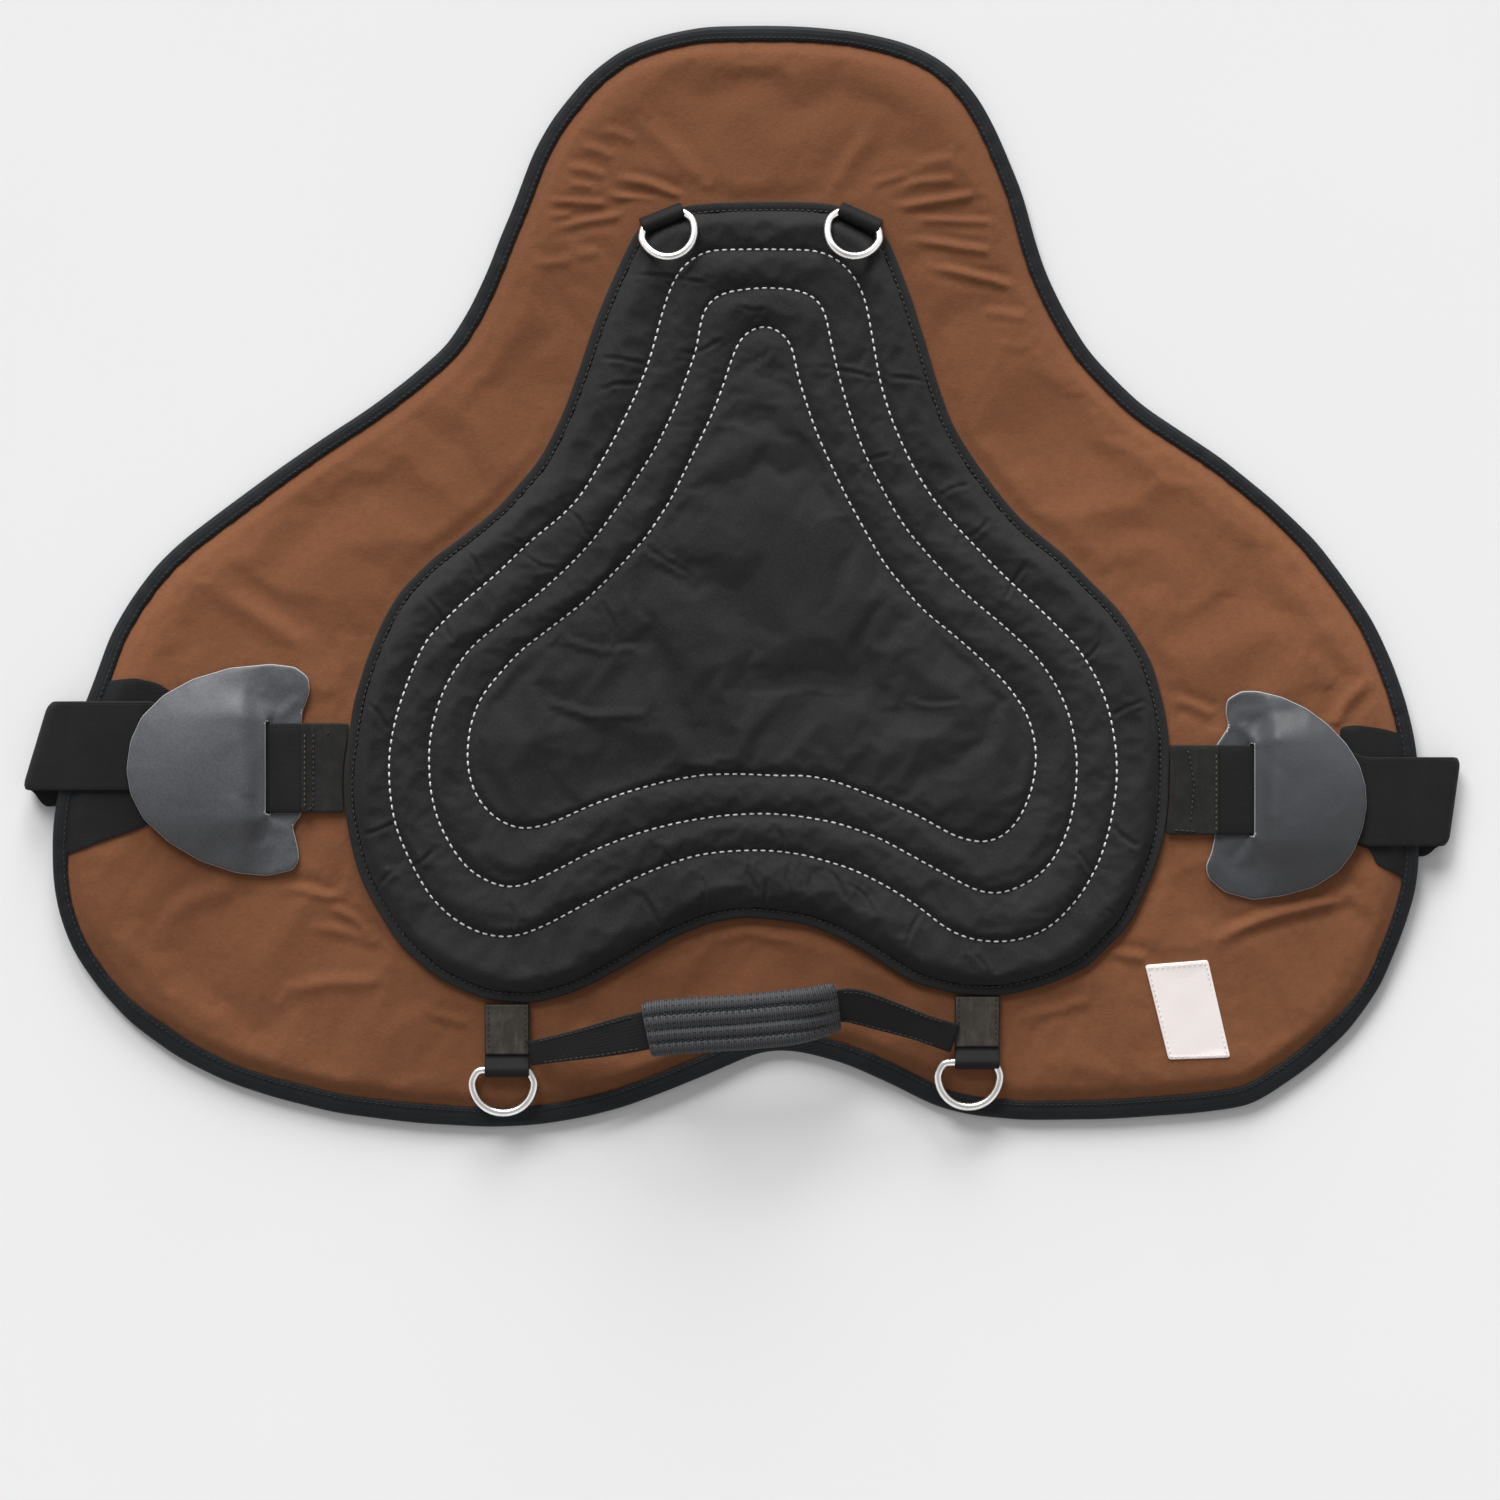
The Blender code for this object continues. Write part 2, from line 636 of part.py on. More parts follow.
def extruded(name, outlines, width, collection=PAD_PARTS):
    """A mesh of closed outlines in the local XZ plane, as wide as width along local Y."""
    curve = bpy.data.curves.new(name, "CURVE")
    curve.dimensions = "2D"
    curve.fill_mode = "BOTH"
    curve.extrude = width / 2
    for outline in outlines:
        spline = curve.splines.new("POLY")
        spline.points.add(len(outline) - 1)
        for knot, point in zip(spline.points, outline):
            knot.co = (point.x, point.y, 0.0, 1.0)
        spline.use_cyclic_u = True
    flat = add_part(name + "_outline", curve, collection)
    graph = bpy.context.evaluated_depsgraph_get()
    mesh = bpy.data.meshes.new_from_object(flat.evaluated_get(graph))
    mesh.transform(Matrix.Rotation(math.pi / 2, 4, "X"))
    bpy.data.objects.remove(flat, do_unlink=True)
    shape = bmesh.new()
    shape.from_mesh(mesh)
    bmesh.ops.remove_doubles(shape, verts=shape.verts, dist=MERGE_DISTANCE)
    bmesh.ops.recalc_face_normals(shape, faces=shape.faces)
    shape.to_mesh(mesh)
    shape.free()
    mesh.name = name
    return add_part(name, mesh, collection)


def arc(centre, radius, start_degrees, end_degrees, steps):
    points = []
    for step in range(steps + 1):
        angle = math.radians(start_degrees + (end_degrees - start_degrees) * step / steps)
        points.append(Vector((centre[0] + radius * math.cos(angle), centre[1] + radius * math.sin(angle))))
    return points


def ground_at(origin, heading, distance, half_width):
    """The highest cover under a strip's width, at a distance from origin along heading."""
    across = Vector((-heading.y, heading.x))
    middle = origin + heading * distance
    return max(cover_top(middle + across * offset) for offset in (-half_width, 0.0, half_width))


def heading_of(degrees):
    angle = math.radians(degrees)
    return Vector((math.cos(angle), math.sin(angle)))


# Rings

RING_STEPS = 14
SINK_START = math.radians(70)
SINK_STEP = math.radians(0.25)
TAB_LOOP_RADIUS = RING_WIRE_RADIUS + GAP + TAB_WEBBING / 2
BAR_HEIGHT = LAY_GAP + TAB_WEBBING / 2 + TAB_LOOP_RADIUS


def build_tab(name, bar, heading, length):
    """Webbing doubled round a ring's bar, with its tail running back from the bar along -heading."""
    bar_level = ground_at(bar, heading, 0.0, TAB_WIDTH / 2) + BAR_HEIGHT
    lower = []
    upper = []
    steps = max(1, round((length - TAB_PINCH) / TAB_PINCH))
    for step in range(steps + 1):
        distance = -length + (length - TAB_PINCH) * step / steps
        ground = ground_at(bar, heading, distance, TAB_WIDTH / 2) - bar_level
        lower.append(Vector((distance, ground + LAY_GAP + TAB_WEBBING / 2)))
        upper.append(Vector((distance, ground + LAY_GAP + TAB_WEBBING * 1.5 + GAP)))
    loop = arc((0.0, 0.0), TAB_LOOP_RADIUS, 105, -90, 9)
    tab = extruded(name, [strip_outline(upper + loop + lower[::-1], TAB_WEBBING)], TAB_WIDTH)
    tab.location = (bar.x, bar.y, bar_level)
    tab.rotation_euler = (0.0, 0.0, math.atan2(heading.y, heading.x))
    dress(tab, WEBBING_BLACK, 0.75)
    return bar_level


def build_seam_tab(name, bar, heading):
    """Webbing that rises from the seam beside the seat, turns round a ring's bar and goes back down."""
    stack = LAY_GAP + SEAT_PANEL_THICKNESS + GAP + HEM_THICKNESS
    bar_level = ground_at(bar, heading, 0.0, TAB_WIDTH / 2) + stack + BAR_HEIGHT
    near = -TAB_LOOP_RADIUS - TAB_WEBBING - LAY_GAP
    far = near - TAB_WEBBING - GAP
    near_foot = ground_at(bar, heading, near, TAB_WIDTH / 2) - bar_level + LAY_GAP
    far_foot = ground_at(bar, heading, far, TAB_WIDTH / 2) - bar_level + LAY_GAP
    loop = arc((0.0, 0.0), TAB_LOOP_RADIUS, 120, -90, 10)
    upper = [
        Vector((far, far_foot)),
        Vector((far, -TAB_LOOP_RADIUS)),
        Vector((far + TAB_WEBBING / 2, -TAB_LOOP_RADIUS / 3)),
        Vector(((far + loop[0].x) / 2, loop[0].y * 0.55)),
    ]
    lower = [
        Vector((near + TAB_WEBBING, -TAB_LOOP_RADIUS)),
        Vector((near, -TAB_LOOP_RADIUS - TAB_WEBBING)),
        Vector((near, near_foot)),
    ]
    tab = extruded(name, [strip_outline(upper + loop + lower, TAB_WEBBING)], TAB_WIDTH)
    tab.location = (bar.x, bar.y, bar_level)
    tab.rotation_euler = (0.0, 0.0, math.atan2(heading.y, heading.x))
    dress(tab, WEBBING_BLACK, 0.75)
    return bar_level


def tilt_on_cover(bar, bar_level, heading, width, reach):
    """The tilt at which a ring's far end lies on the cover or the binding."""
    across = Vector((-heading.y, heading.x))
    clearance = LAY_GAP + RING_WIRE_RADIUS
    tilts = []
    for step in range(RING_STEPS // 2, RING_STEPS + 1):
        distance = reach * step / RING_STEPS
        for offset in (-width / 2, 0.0, width / 2):
            spot = bar + heading * distance + across * offset
            ground = max(cover_top(spot), rise(spot) + EDGE_HEIGHT + CORE_RIM_THICKNESS)
            tilts.append(math.atan2(ground + clearance - bar_level, distance))
    return max(tilts)


def tilt_on_parts(names, place, points):
    """The tilt to which a ring sinks, from nearly upright, before its wire meets the parts below."""
    trees = []
    for name in names:
        mesh = bpy.data.objects[name].data
        corners = [vertex.co for vertex in mesh.vertices]
        trees.append(BVHTree.FromPolygons(corners, [face.vertices for face in mesh.polygons]))
    clearance = LAY_GAP + RING_WIRE_RADIUS
    tilt = SINK_START
    while tilt > SINK_STEP:
        wire = [place @ Matrix.Rotation(SINK_STEP - tilt, 4, "Y") @ point for point in points]
        if any(tree.find_nearest(point)[3] < clearance for tree in trees for point in wire):
            break
        tilt -= SINK_STEP
    return tilt


def build_ring(name, bar, bar_level, heading, width, depth, parts_below):
    """A D of wire. Its origin is the middle of its bar, its bar lies along local Y."""
    half = width / 2 - RING_WIRE_RADIUS
    reach = depth - RING_WIRE_RADIUS * 2
    points = [(0.0, half * share, 0.0) for share in (-1.0, -0.5, 0.0, 0.5, 1.0)]
    for step in range(RING_STEPS + 1):
        angle = math.pi / 2 - math.pi * step / RING_STEPS
        run = max(0.0, math.cos(angle)) ** 0.8
        points.append((reach * (0.18 + 0.82 * run), half * math.sin(angle), 0.0))
    ring = add_tube(name, points, RING_WIRE_RADIUS, True, 2)
    turn = Matrix.Rotation(math.atan2(heading.y, heading.x), 4, "Z")
    place = Matrix.Translation((bar.x, bar.y, bar_level)) @ turn
    if parts_below:
        tilt = tilt_on_parts(parts_below, place, [Vector(point) for point in points])
    else:
        tilt = tilt_on_cover(bar, bar_level, heading, width, reach)
    ring.matrix_world = place @ Matrix.Rotation(-tilt, 4, "Y")
    dress(ring, NICKEL, 0.2, 1.0)
    return tilt


FORWARD = Vector((0.0, -1.0))


def front_bar(name):
    """The middle of a front ring's bar, as far in front of the seat as its tab is long."""
    column = seat_place((FRONT_TAB_PIXEL_COLUMNS[name], 0)).x
    reaches = []
    for share in (-1.0, -0.5, 0.0, 0.5, 1.0):
        behind = Vector((column + share * TAB_WIDTH / 2, SEAT_CENTRE.y))
        reaches.append(crossing(SEAT_OUTLINE, behind, FORWARD))
    return Vector((column, SEAT_CENTRE.y - max(reaches) - GAP - FRONT_TAB_LENGTH))


def build_front_rings():
    heading = FORWARD
    for name in FRONT_TAB_PIXEL_COLUMNS:
        bar = front_bar(name)
        level = build_tab(f"front_{name}_ring_tab", bar, heading, FRONT_TAB_LENGTH)
        tilt = build_ring(
            f"front_{name}_ring", bar, level, heading, FRONT_RING_WIDTH, FRONT_RING_DEPTH, ()
        )
        report_joint(f"front_{name}_ring", bar, level, heading, tilt)


def rear_bar(place, heading):
    """The middle of a bar beside place, so that the webbing round it is flush with the seat's edge."""
    across = Vector((-heading.y, heading.x))
    reaches = []
    for share in (-1.0, -0.5, 0.0, 0.5, 1.0):
        reaches.append(crossing(SEAT_OUTLINE, place + across * (share * TAB_WIDTH / 2), -heading))
    return place - heading * (max(reaches) - TAB_LOOP_RADIUS - TAB_WEBBING / 2)


def build_rear_rings():
    for name, pixel in REAR_BAR_PIXELS.items():
        heading = heading_of(REAR_HEADING_DEGREES[name])
        bar = rear_bar(seat_place(pixel), heading)
        level = build_seam_tab(f"rear_{name}_ring_tab", bar, heading)
        tilt = build_ring(
            f"rear_{name}_ring", bar, level, heading, REAR_RING_WIDTH, REAR_RING_DEPTH,
            ("seat_panel", "seat_hem"),
        )
        report_joint(f"rear_{name}_ring", bar, level, heading, tilt)


def report_joint(name, place, level, heading, tilt):
    """Print a joint's place and the heading of what swings on it."""
    print(
        f"joint {name}: at {place.x:.5f} {place.y:.5f} {level:.5f},"
        f" heading {heading.x:.5f} {heading.y:.5f}, tilt {math.degrees(tilt):.2f}"
    )


# Handle

def build_handle():
    """An arch of webbing between the front tabs, which leans back over the seat, in a padded sleeve."""
    ends = []
    for name, side in (("right", 1), ("left", -1)):
        bar = front_bar(name)
        behind_bar = RING_WIRE_RADIUS + LAY_GAP + HANDLE_END_WIDTH / 2
        place = bar + Vector((side * (TAB_WIDTH / 2 + HANDLE_END_GAP), behind_bar))
        level = ground_at(place, Vector((side, 0.0)), 0.0, HANDLE_END_WIDTH / 2) + HANDLE_AXIS_HEIGHT
        ends.append(Vector((place.x, place.y, level)))
    start, stop = ends
    span = stop - start
    sleeve_share = SLEEVE_LENGTH / span.length
    sleeve_start = (1 - sleeve_share) / 2

    def middle(share):
        bump = 1 - abs(2 * share - 1) ** 3
        return start + span * share + Vector((0.0, HANDLE_LEAN, HANDLE_RISE)) * bump

    def frame_at(share):
        """The middle of the webbing there, its thickness direction and its half width."""
        step = HANDLE_WEBBING / span.length
        along = middle(min(1.0, share + step)) - middle(max(0.0, share - step))
        up = Vector((-along.z, 0.0, along.x)).normalized()
        near_end = smooth(min(share, 1 - share) / sleeve_start)
        half = (HANDLE_END_WIDTH + (HANDLE_WEBBING_WIDTH - HANDLE_END_WIDTH) * near_end) / 2
        return middle(share), up, half

    def section(share, half_width, half_thickness, shares):
        centre, up, _ = frame_at(share)
        return [
            centre + Vector((0.0, across * half_width, 0.0)) + up * (height * half_thickness)
            for across, height in shares
        ]

    flat_shares = [(-1.0, -1.0), (1.0, -1.0), (1.0, 1.0), (-1.0, 1.0)]
    rings = []
    for step in range(17):
        share = step / 16
        half = frame_at(share)[2]
        rings.append(section(share, half, HANDLE_WEBBING / 2, flat_shares))
    strap = skin("handle_strap", rings, ends="cap")
    dress(strap, WEBBING_BLACK, 0.75)

    outer_shares = [
        (-1.0, 0.0), (-0.92, -0.62), (-0.6, -0.95), (0.0, -1.0), (0.6, -0.95), (0.92, -0.62),
        (1.0, 0.0), (0.92, 0.62), (0.6, 0.95), (0.0, 1.0), (-0.6, 0.95), (-0.92, 0.62),
    ]
    inner_shares = [
        (-1.0, 0.0), (-1.0, -0.7), (-0.8, -1.0), (0.0, -1.0), (0.8, -1.0), (1.0, -0.7),
        (1.0, 0.0), (1.0, 0.7), (0.8, 1.0), (0.0, 1.0), (-0.8, 1.0), (-1.0, 0.7),
    ]
    shares = [sleeve_start + sleeve_share * step / 7 for step in range(8)]
    bore_half_width = HANDLE_WEBBING_WIDTH / 2 + LAY_GAP
    bore_half_thickness = HANDLE_WEBBING / 2 + LAY_GAP
    rings = [section(share, SLEEVE_WIDTH / 2, SLEEVE_THICKNESS / 2, outer_shares) for share in shares]
    rings += [
        section(share, bore_half_width, bore_half_thickness, inner_shares) for share in reversed(shares)
    ]
    sleeve = skin("handle_sleeve", rings, ends="loop")
    dress(sleeve, SLEEVE_GREY, 0.85)
    axis = span.normalized()
    for part in (strap, sleeve):
        part.data.transform(Matrix.Translation(-start))
        part.location = start
    print(f"joint handle: at {start.x:.5f} {start.y:.5f} {start.z:.5f}")
    print(f"joint handle: axis {axis.x:.5f} {axis.y:.5f} {axis.z:.5f}")


# Label

def laid_plate(name, corners, steps_along, steps_across, bottom, thickness):
    """A thin plate between four plan corners, laid over the height function bottom."""
    first, second, third, fourth = corners
    shape = bmesh.new()
    layers = []
    for offset in (0.0, thickness):
        grid = []
        for row in range(steps_along + 1):
            left = first.lerp(fourth, row / steps_along)
            right = second.lerp(third, row / steps_along)
            line = []
            for column in range(steps_across + 1):
                point = left.lerp(right, column / steps_across)
                line.append(shape.verts.new((point.x, point.y, bottom(point) + offset)))
            grid.append(line)
        layers.append(grid)
    low, high = layers
    for grid in layers:
        for row in range(steps_along):
            for column in range(steps_across):
                a, b = grid[row][column], grid[row][column + 1]
                c, d = grid[row + 1][column + 1], grid[row + 1][column]
                shape.faces.new((a, b, c))
                shape.faces.new((a, c, d))
    border = [(0, column) for column in range(steps_across)]
    border += [(row, steps_across) for row in range(steps_along)]
    border += [(steps_along, column) for column in range(steps_across, 0, -1)]
    border += [(row, 0) for row in range(steps_along, 0, -1)]
    for index, (row, column) in enumerate(border):
        next_row, next_column = border[(index + 1) % len(border)]
        shape.faces.new((
            low[row][column], low[next_row][next_column],
            high[next_row][next_column], high[row][column],
        ))
    bmesh.ops.recalc_face_normals(shape, faces=shape.faces)
    mesh = bpy.data.meshes.new(name)
    shape.to_mesh(mesh)
    shape.free()
    return add_part(name, mesh)


def laid_on_cover(point):
    return cover_top(point) + LAY_GAP


def build_label():
    centre = pad_place(LABEL_PIXEL)
    turn = Matrix.Rotation(math.radians(LABEL_TURN_DEGREES), 2)
    half_width = LABEL_WIDTH / 2
    half_length = LABEL_LENGTH / 2
    corners = [
        centre + turn @ Vector(corner)
        for corner in (
            (-half_width, -half_length), (half_width, -half_length),
            (half_width, half_length), (-half_width, half_length),
        )
    ]
    dress(laid_plate("label", corners, 4, 3, laid_on_cover, LABEL_THICKNESS), LABEL_WHITE, 0.6)


# Guards, buckles and girth straps

SLOT_OFFSETS = {"left": LEFT_BORDER * LEFT_SLOT_SHARE, "right": RIGHT_BORDER * RIGHT_SLOT_SHARE}
FLAP_REACHES = {"left": LEFT_BORDER * LEFT_FLAP_SHARE, "right": RIGHT_BORDER * RIGHT_FLAP_SHARE}
SKEW_SHARES = {"left": LEFT_SKEW_SHARE, "right": RIGHT_SKEW_SHARE}
OVERHANGS = {"left": LEFT_OVERHANG, "right": RIGHT_OVERHANG}
LOOP_RADIUS = BUCKLE_WIRE_RADIUS + GAP + GIRTH_WEBBING / 2
FRAME_HEIGHT = LAY_GAP + GIRTH_WEBBING + GAP + ROLLER_RADIUS
SLOT_HEIGHT = LAY_GAP + LEATHER_THICKNESS + GAP + GIRTH_WEBBING + GAP
RIM_HEIGHT = LAY_GAP + GIRTH_WEBBING + GAP
GIRTH_HALF = GIRTH_WIDTH / 2


def seat_side(name, side):
    """The seat's outermost x along the width of the girth webbing."""
    shares = (-1.0, -0.5, 0.0, 0.5, 1.0)
    edges = [edge_at(side, GIRTH_LINES[name] + share * GIRTH_HALF, SEAT_OUTLINE) for share in shares]
    return max(edges) if side > 0 else min(edges)


class GirthSide:
    """One side's places: outward distances are measured from the seat's edge along the girth line."""

    def __init__(self, name):
        self.name = name
        self.side = SIDES[name]
        self.y = GIRTH_LINES[name]
        self.start = seat_side(name, self.side)
        self.slot = SLOT_OFFSETS[name]
        self.reach = FLAP_REACHES[name]
        self.bar = self.slot + SLOT_TO_BAR
        self.roller = self.bar + BUCKLE_REACH
        self.edge = self.side * (PAD_EDGES[name] - self.start)
        self.turn = (0.0, 0.0, 0.0 if self.side > 0 else math.pi)
        self.patch = self.slot + self.reach - PATCH_UNDER_GUARD
        widest = PAD_SHIFT + self.side * PAD_WIDTH / 2
        self.outside = self.side * (widest - self.start) + OVERHANGS[name]

    def plan(self, outward, along):
        return Vector((self.start + self.side * outward, self.y + along))

    def ground(self, outward):
        """The highest cover under the webbing at an outward distance."""
        shares = (-1.0, -0.5, 0.0, 0.5, 1.0)
        return max(cover_top(self.plan(outward, share * GIRTH_HALF)) for share in shares)

    def stand(self, part):
        """Place a part whose local X runs outward from the seat's edge, at z = 0."""
        part.location = (self.start, self.y, 0.0)
        part.rotation_euler = self.turn


def cut(part, name, size, centre, side):
    """Cut a box out of a part, in the part's own axes."""
    bpy.ops.mesh.primitive_cube_add(size=1.0)
    box = bpy.context.object
    box.name = name
    for collection in list(box.users_collection):
        collection.objects.unlink(box)
    CUTTERS.objects.link(box)
    box.data.transform(Matrix.Diagonal((*size, 1.0)))
    box.data.transform(Matrix.Translation(centre))
    side.stand(box)
    box.hide_render = True
    box.display_type = "WIRE"
    modifier = part.modifiers.new("Cut", "BOOLEAN")
    modifier.operation = "DIFFERENCE"
    modifier.solver = "EXACT"
    modifier.object = box


def build_girth_tab(side):
    """Webbing sewn at the seat's edge, over the guard's lip and round the buckle's bar."""
    half = GIRTH_WEBBING / 2
    lip_start = side.slot - LIP_REACH
    on_cover = LAY_GAP + half
    on_lip = LAY_GAP + LEATHER_THICKNESS + GAP + half
    bar_level = side.ground(side.bar) + FRAME_HEIGHT
    start = GAP * 2
    path = [
        Vector((start, side.ground(start) + on_cover)),
        Vector((lip_start / 2, side.ground(lip_start / 2) + on_cover)),
        Vector((lip_start - LEATHER_THICKNESS * 1.5, side.ground(lip_start) + on_cover + GAP)),
        Vector((lip_start + GAP, side.ground(lip_start) + on_lip + GAP)),
        Vector((lip_start + LIP_REACH / 2, side.ground(lip_start + LIP_REACH / 2) + on_lip)),
        Vector((side.slot, side.ground(side.slot) + on_lip)),
        Vector((side.slot + SLOT_MARGIN, side.ground(side.slot) + on_lip)),
    ]
    path += arc((side.bar, bar_level), LOOP_RADIUS, 110, -110, 10)
    path.append(Vector((side.bar - SLOT_TO_BAR / 2, side.ground(side.bar - SLOT_TO_BAR / 2) + on_cover)))
    tab = extruded(f"{side.name}_girth_tab", [strip_outline(path, GIRTH_WEBBING)], GIRTH_WIDTH)
    side.stand(tab)
    slot_width = TONGUE_WIDTH + TONGUE_PLAY
    slot_reach = LOOP_RADIUS + GIRTH_WEBBING / 2 + TONGUE_PLAY
    size = (slot_reach * 2, slot_width, slot_reach * 3)
    cut(tab, f"{side.name}_tongue_slot_cutter", size, (side.bar, 0.0, bar_level), side)
    dress(tab, WEBBING_BLACK, 0.75)


def build_buckle(side):
    bar_level = side.ground(side.bar) + FRAME_HEIGHT
    roller_level = side.ground(side.roller) + FRAME_HEIGHT
    half = GIRTH_HALF + BUCKLE_SIDE_PLAY + BUCKLE_WIRE_RADIUS
    reach = BUCKLE_REACH
    slope = math.atan2(roller_level - bar_level, reach)
    corner_places = [
        (0.0, -half, 180, 270), (reach, -half, 270, 360), (reach, half, 0, 90), (0.0, half, 90, 180),
    ]
    points = []
    for outward, along, start_angle, end_angle in corner_places:
        centre = (
            outward + (BUCKLE_CORNER if outward == 0.0 else -BUCKLE_CORNER),
            along + (BUCKLE_CORNER if along < 0 else -BUCKLE_CORNER),
        )
        points += [(spot.x, spot.y, 0.0) for spot in arc(centre, BUCKLE_CORNER, start_angle, end_angle, 3)]
    frame = add_tube(f"{side.name}_buckle_frame", points, BUCKLE_WIRE_RADIUS, True, 1)
    turn = Matrix.Rotation(side.turn[2], 4, "Z")
    lean = Matrix.Rotation(-slope, 4, "Y")
    bar = side.plan(side.bar, 0.0)
    seat = Matrix.Translation((bar.x, bar.y, bar_level)) @ turn @ lean
    frame.matrix_world = seat
    dress(frame, NICKEL, 0.25, 1.0)

    roller_half = half - BUCKLE_CORNER - GAP
    roller_bore = BUCKLE_WIRE_RADIUS + GAP
    mesh = bpy.data.meshes.new(f"{side.name}_buckle_roller")
    corners = [
        (ROLLER_RADIUS, 0.0, roller_half), (ROLLER_RADIUS, 0.0, -roller_half),
        (roller_bore, 0.0, -roller_half), (roller_bore, 0.0, roller_half),
    ]
    mesh.from_pydata(corners, [(0, 1), (1, 2), (2, 3), (3, 0)], [])
    roller = add_part(f"{side.name}_buckle_roller", mesh)
    screw = roller.modifiers.new("Turn", "SCREW")
    screw.steps = 16
    screw.render_steps = 16
    screw.use_merge_vertices = True
    screw.merge_threshold = MERGE_DISTANCE
    roller.matrix_world = seat @ Matrix.Translation((reach, 0.0, 0.0)) @ Matrix.Rotation(math.pi / 2, 4, "X")
    dress(roller, NICKEL, 0.25, 1.0)

    eye_bore = BUCKLE_WIRE_RADIUS + GAP
    eye = eye_bore + TONGUE_EYE_WALL
    rest = ROLLER_RADIUS + GAP + TONGUE_RADIUS
    rise_angle = math.asin(rest / math.hypot(reach, rest))
    spread = math.asin(TONGUE_RADIUS / eye)
    outline = arc((0.0, 0.0), eye, math.degrees(spread), 360 - math.degrees(spread), 14)
    length = reach + TONGUE_TIP
    outline += [
        Vector((length, -TONGUE_RADIUS)),
        Vector((length + TONGUE_RADIUS, 0.0)),
        Vector((length, TONGUE_RADIUS)),
    ]
    bore = arc((0.0, 0.0), eye_bore, 0, -330, 11)
    tongue = extruded(f"{side.name}_buckle_tongue", [outline, bore], TONGUE_WIDTH)
    tongue.matrix_world = seat @ Matrix.Rotation(-rise_angle, 4, "Y")
    dress(tongue, NICKEL, 0.25, 1.0)
    print(
        f"joint {side.name} tongue: at {bar.x:.5f} {bar.y:.5f} {bar_level:.5f};"
        f" roller: at {side.start + side.side * side.roller:.5f} {side.y:.5f} {roller_level:.5f}"
    )


def build_girth_strap(side):
    """Webbing from over the buckle's bar, under its roller, out over the edge and folded back below."""
    half = GIRTH_WEBBING / 2
    bar_level = side.ground(side.bar) + FRAME_HEIGHT
    over_bar = bar_level + LOOP_RADIUS + GIRTH_WEBBING + GAP
    under = side.roller - GAP * 3
    outside = side.outside
    last_laid = side.edge - BINDING_WIDTH - CORE_SETBACK
    beyond_roller = side.roller + ROLLER_RADIUS * 2
    path = [
        Vector((side.bar - STRAP_TAIL, over_bar)),
        Vector((side.bar + STRAP_TAIL * 0.75, over_bar)),
        Vector((under, side.ground(under) + LAY_GAP + half)),
        Vector((beyond_roller, side.ground(beyond_roller) + LAY_GAP + half)),
    ]
    patch_step = PATCH_THICKNESS + LAY_GAP
    before_patch = side.patch - patch_step * 4
    path.append(Vector((before_patch, side.ground(before_patch) + LAY_GAP + half)))
    first_laid = side.patch - GAP * 2
    steps = max(2, round((last_laid - first_laid) / STRAP_DROP))
    for step in range(steps + 1):
        outward = first_laid + (last_laid - first_laid) * step / steps
        path.append(Vector((outward, side.ground(outward) + LAY_GAP + patch_step + half)))
    middle_level = GIRTH_WEBBING * 1.5 + GAP
    top_level = rise(side.plan(side.edge, 0.0)) + EDGE_HEIGHT + CORE_RIM_THICKNESS + LAY_GAP + half
    turn_radius = (top_level - middle_level) / 2
    turn_centre = outside - half - turn_radius
    path += arc((turn_centre, middle_level + turn_radius), turn_radius, 90, -90, 8)
    inner_end = side.edge - STRAP_RETURN
    path.append(Vector((inner_end, middle_level)))
    small = (middle_level - half) / 2
    path += arc((inner_end - small, half + small), small, 90, 270, 6)[1:]
    path.append(Vector((outside - STRAP_PEEK, half)))
    strap = extruded(f"{side.name}_girth_strap", [strip_outline(path, GIRTH_WEBBING)], GIRTH_WIDTH)
    for vertex in strap.data.vertices:
        beyond = max(0.0, vertex.co.x - side.roller - ROLLER_RADIUS)
        vertex.co.y += side.side * SKEW_SHARES[side.name] * beyond
    side.stand(strap)
    hole_level = bar_level + over_bar
    size = (STRAP_HOLE_LENGTH, TONGUE_WIDTH + TONGUE_PLAY * 2, hole_level)
    middle = (side.bar + (side.roller - side.bar) * STRAP_HOLE_SHARE, 0.0, bar_level)
    cut(strap, f"{side.name}_strap_hole_cutter", size, middle, side)
    dress(strap, WEBBING_BLACK, 0.75)


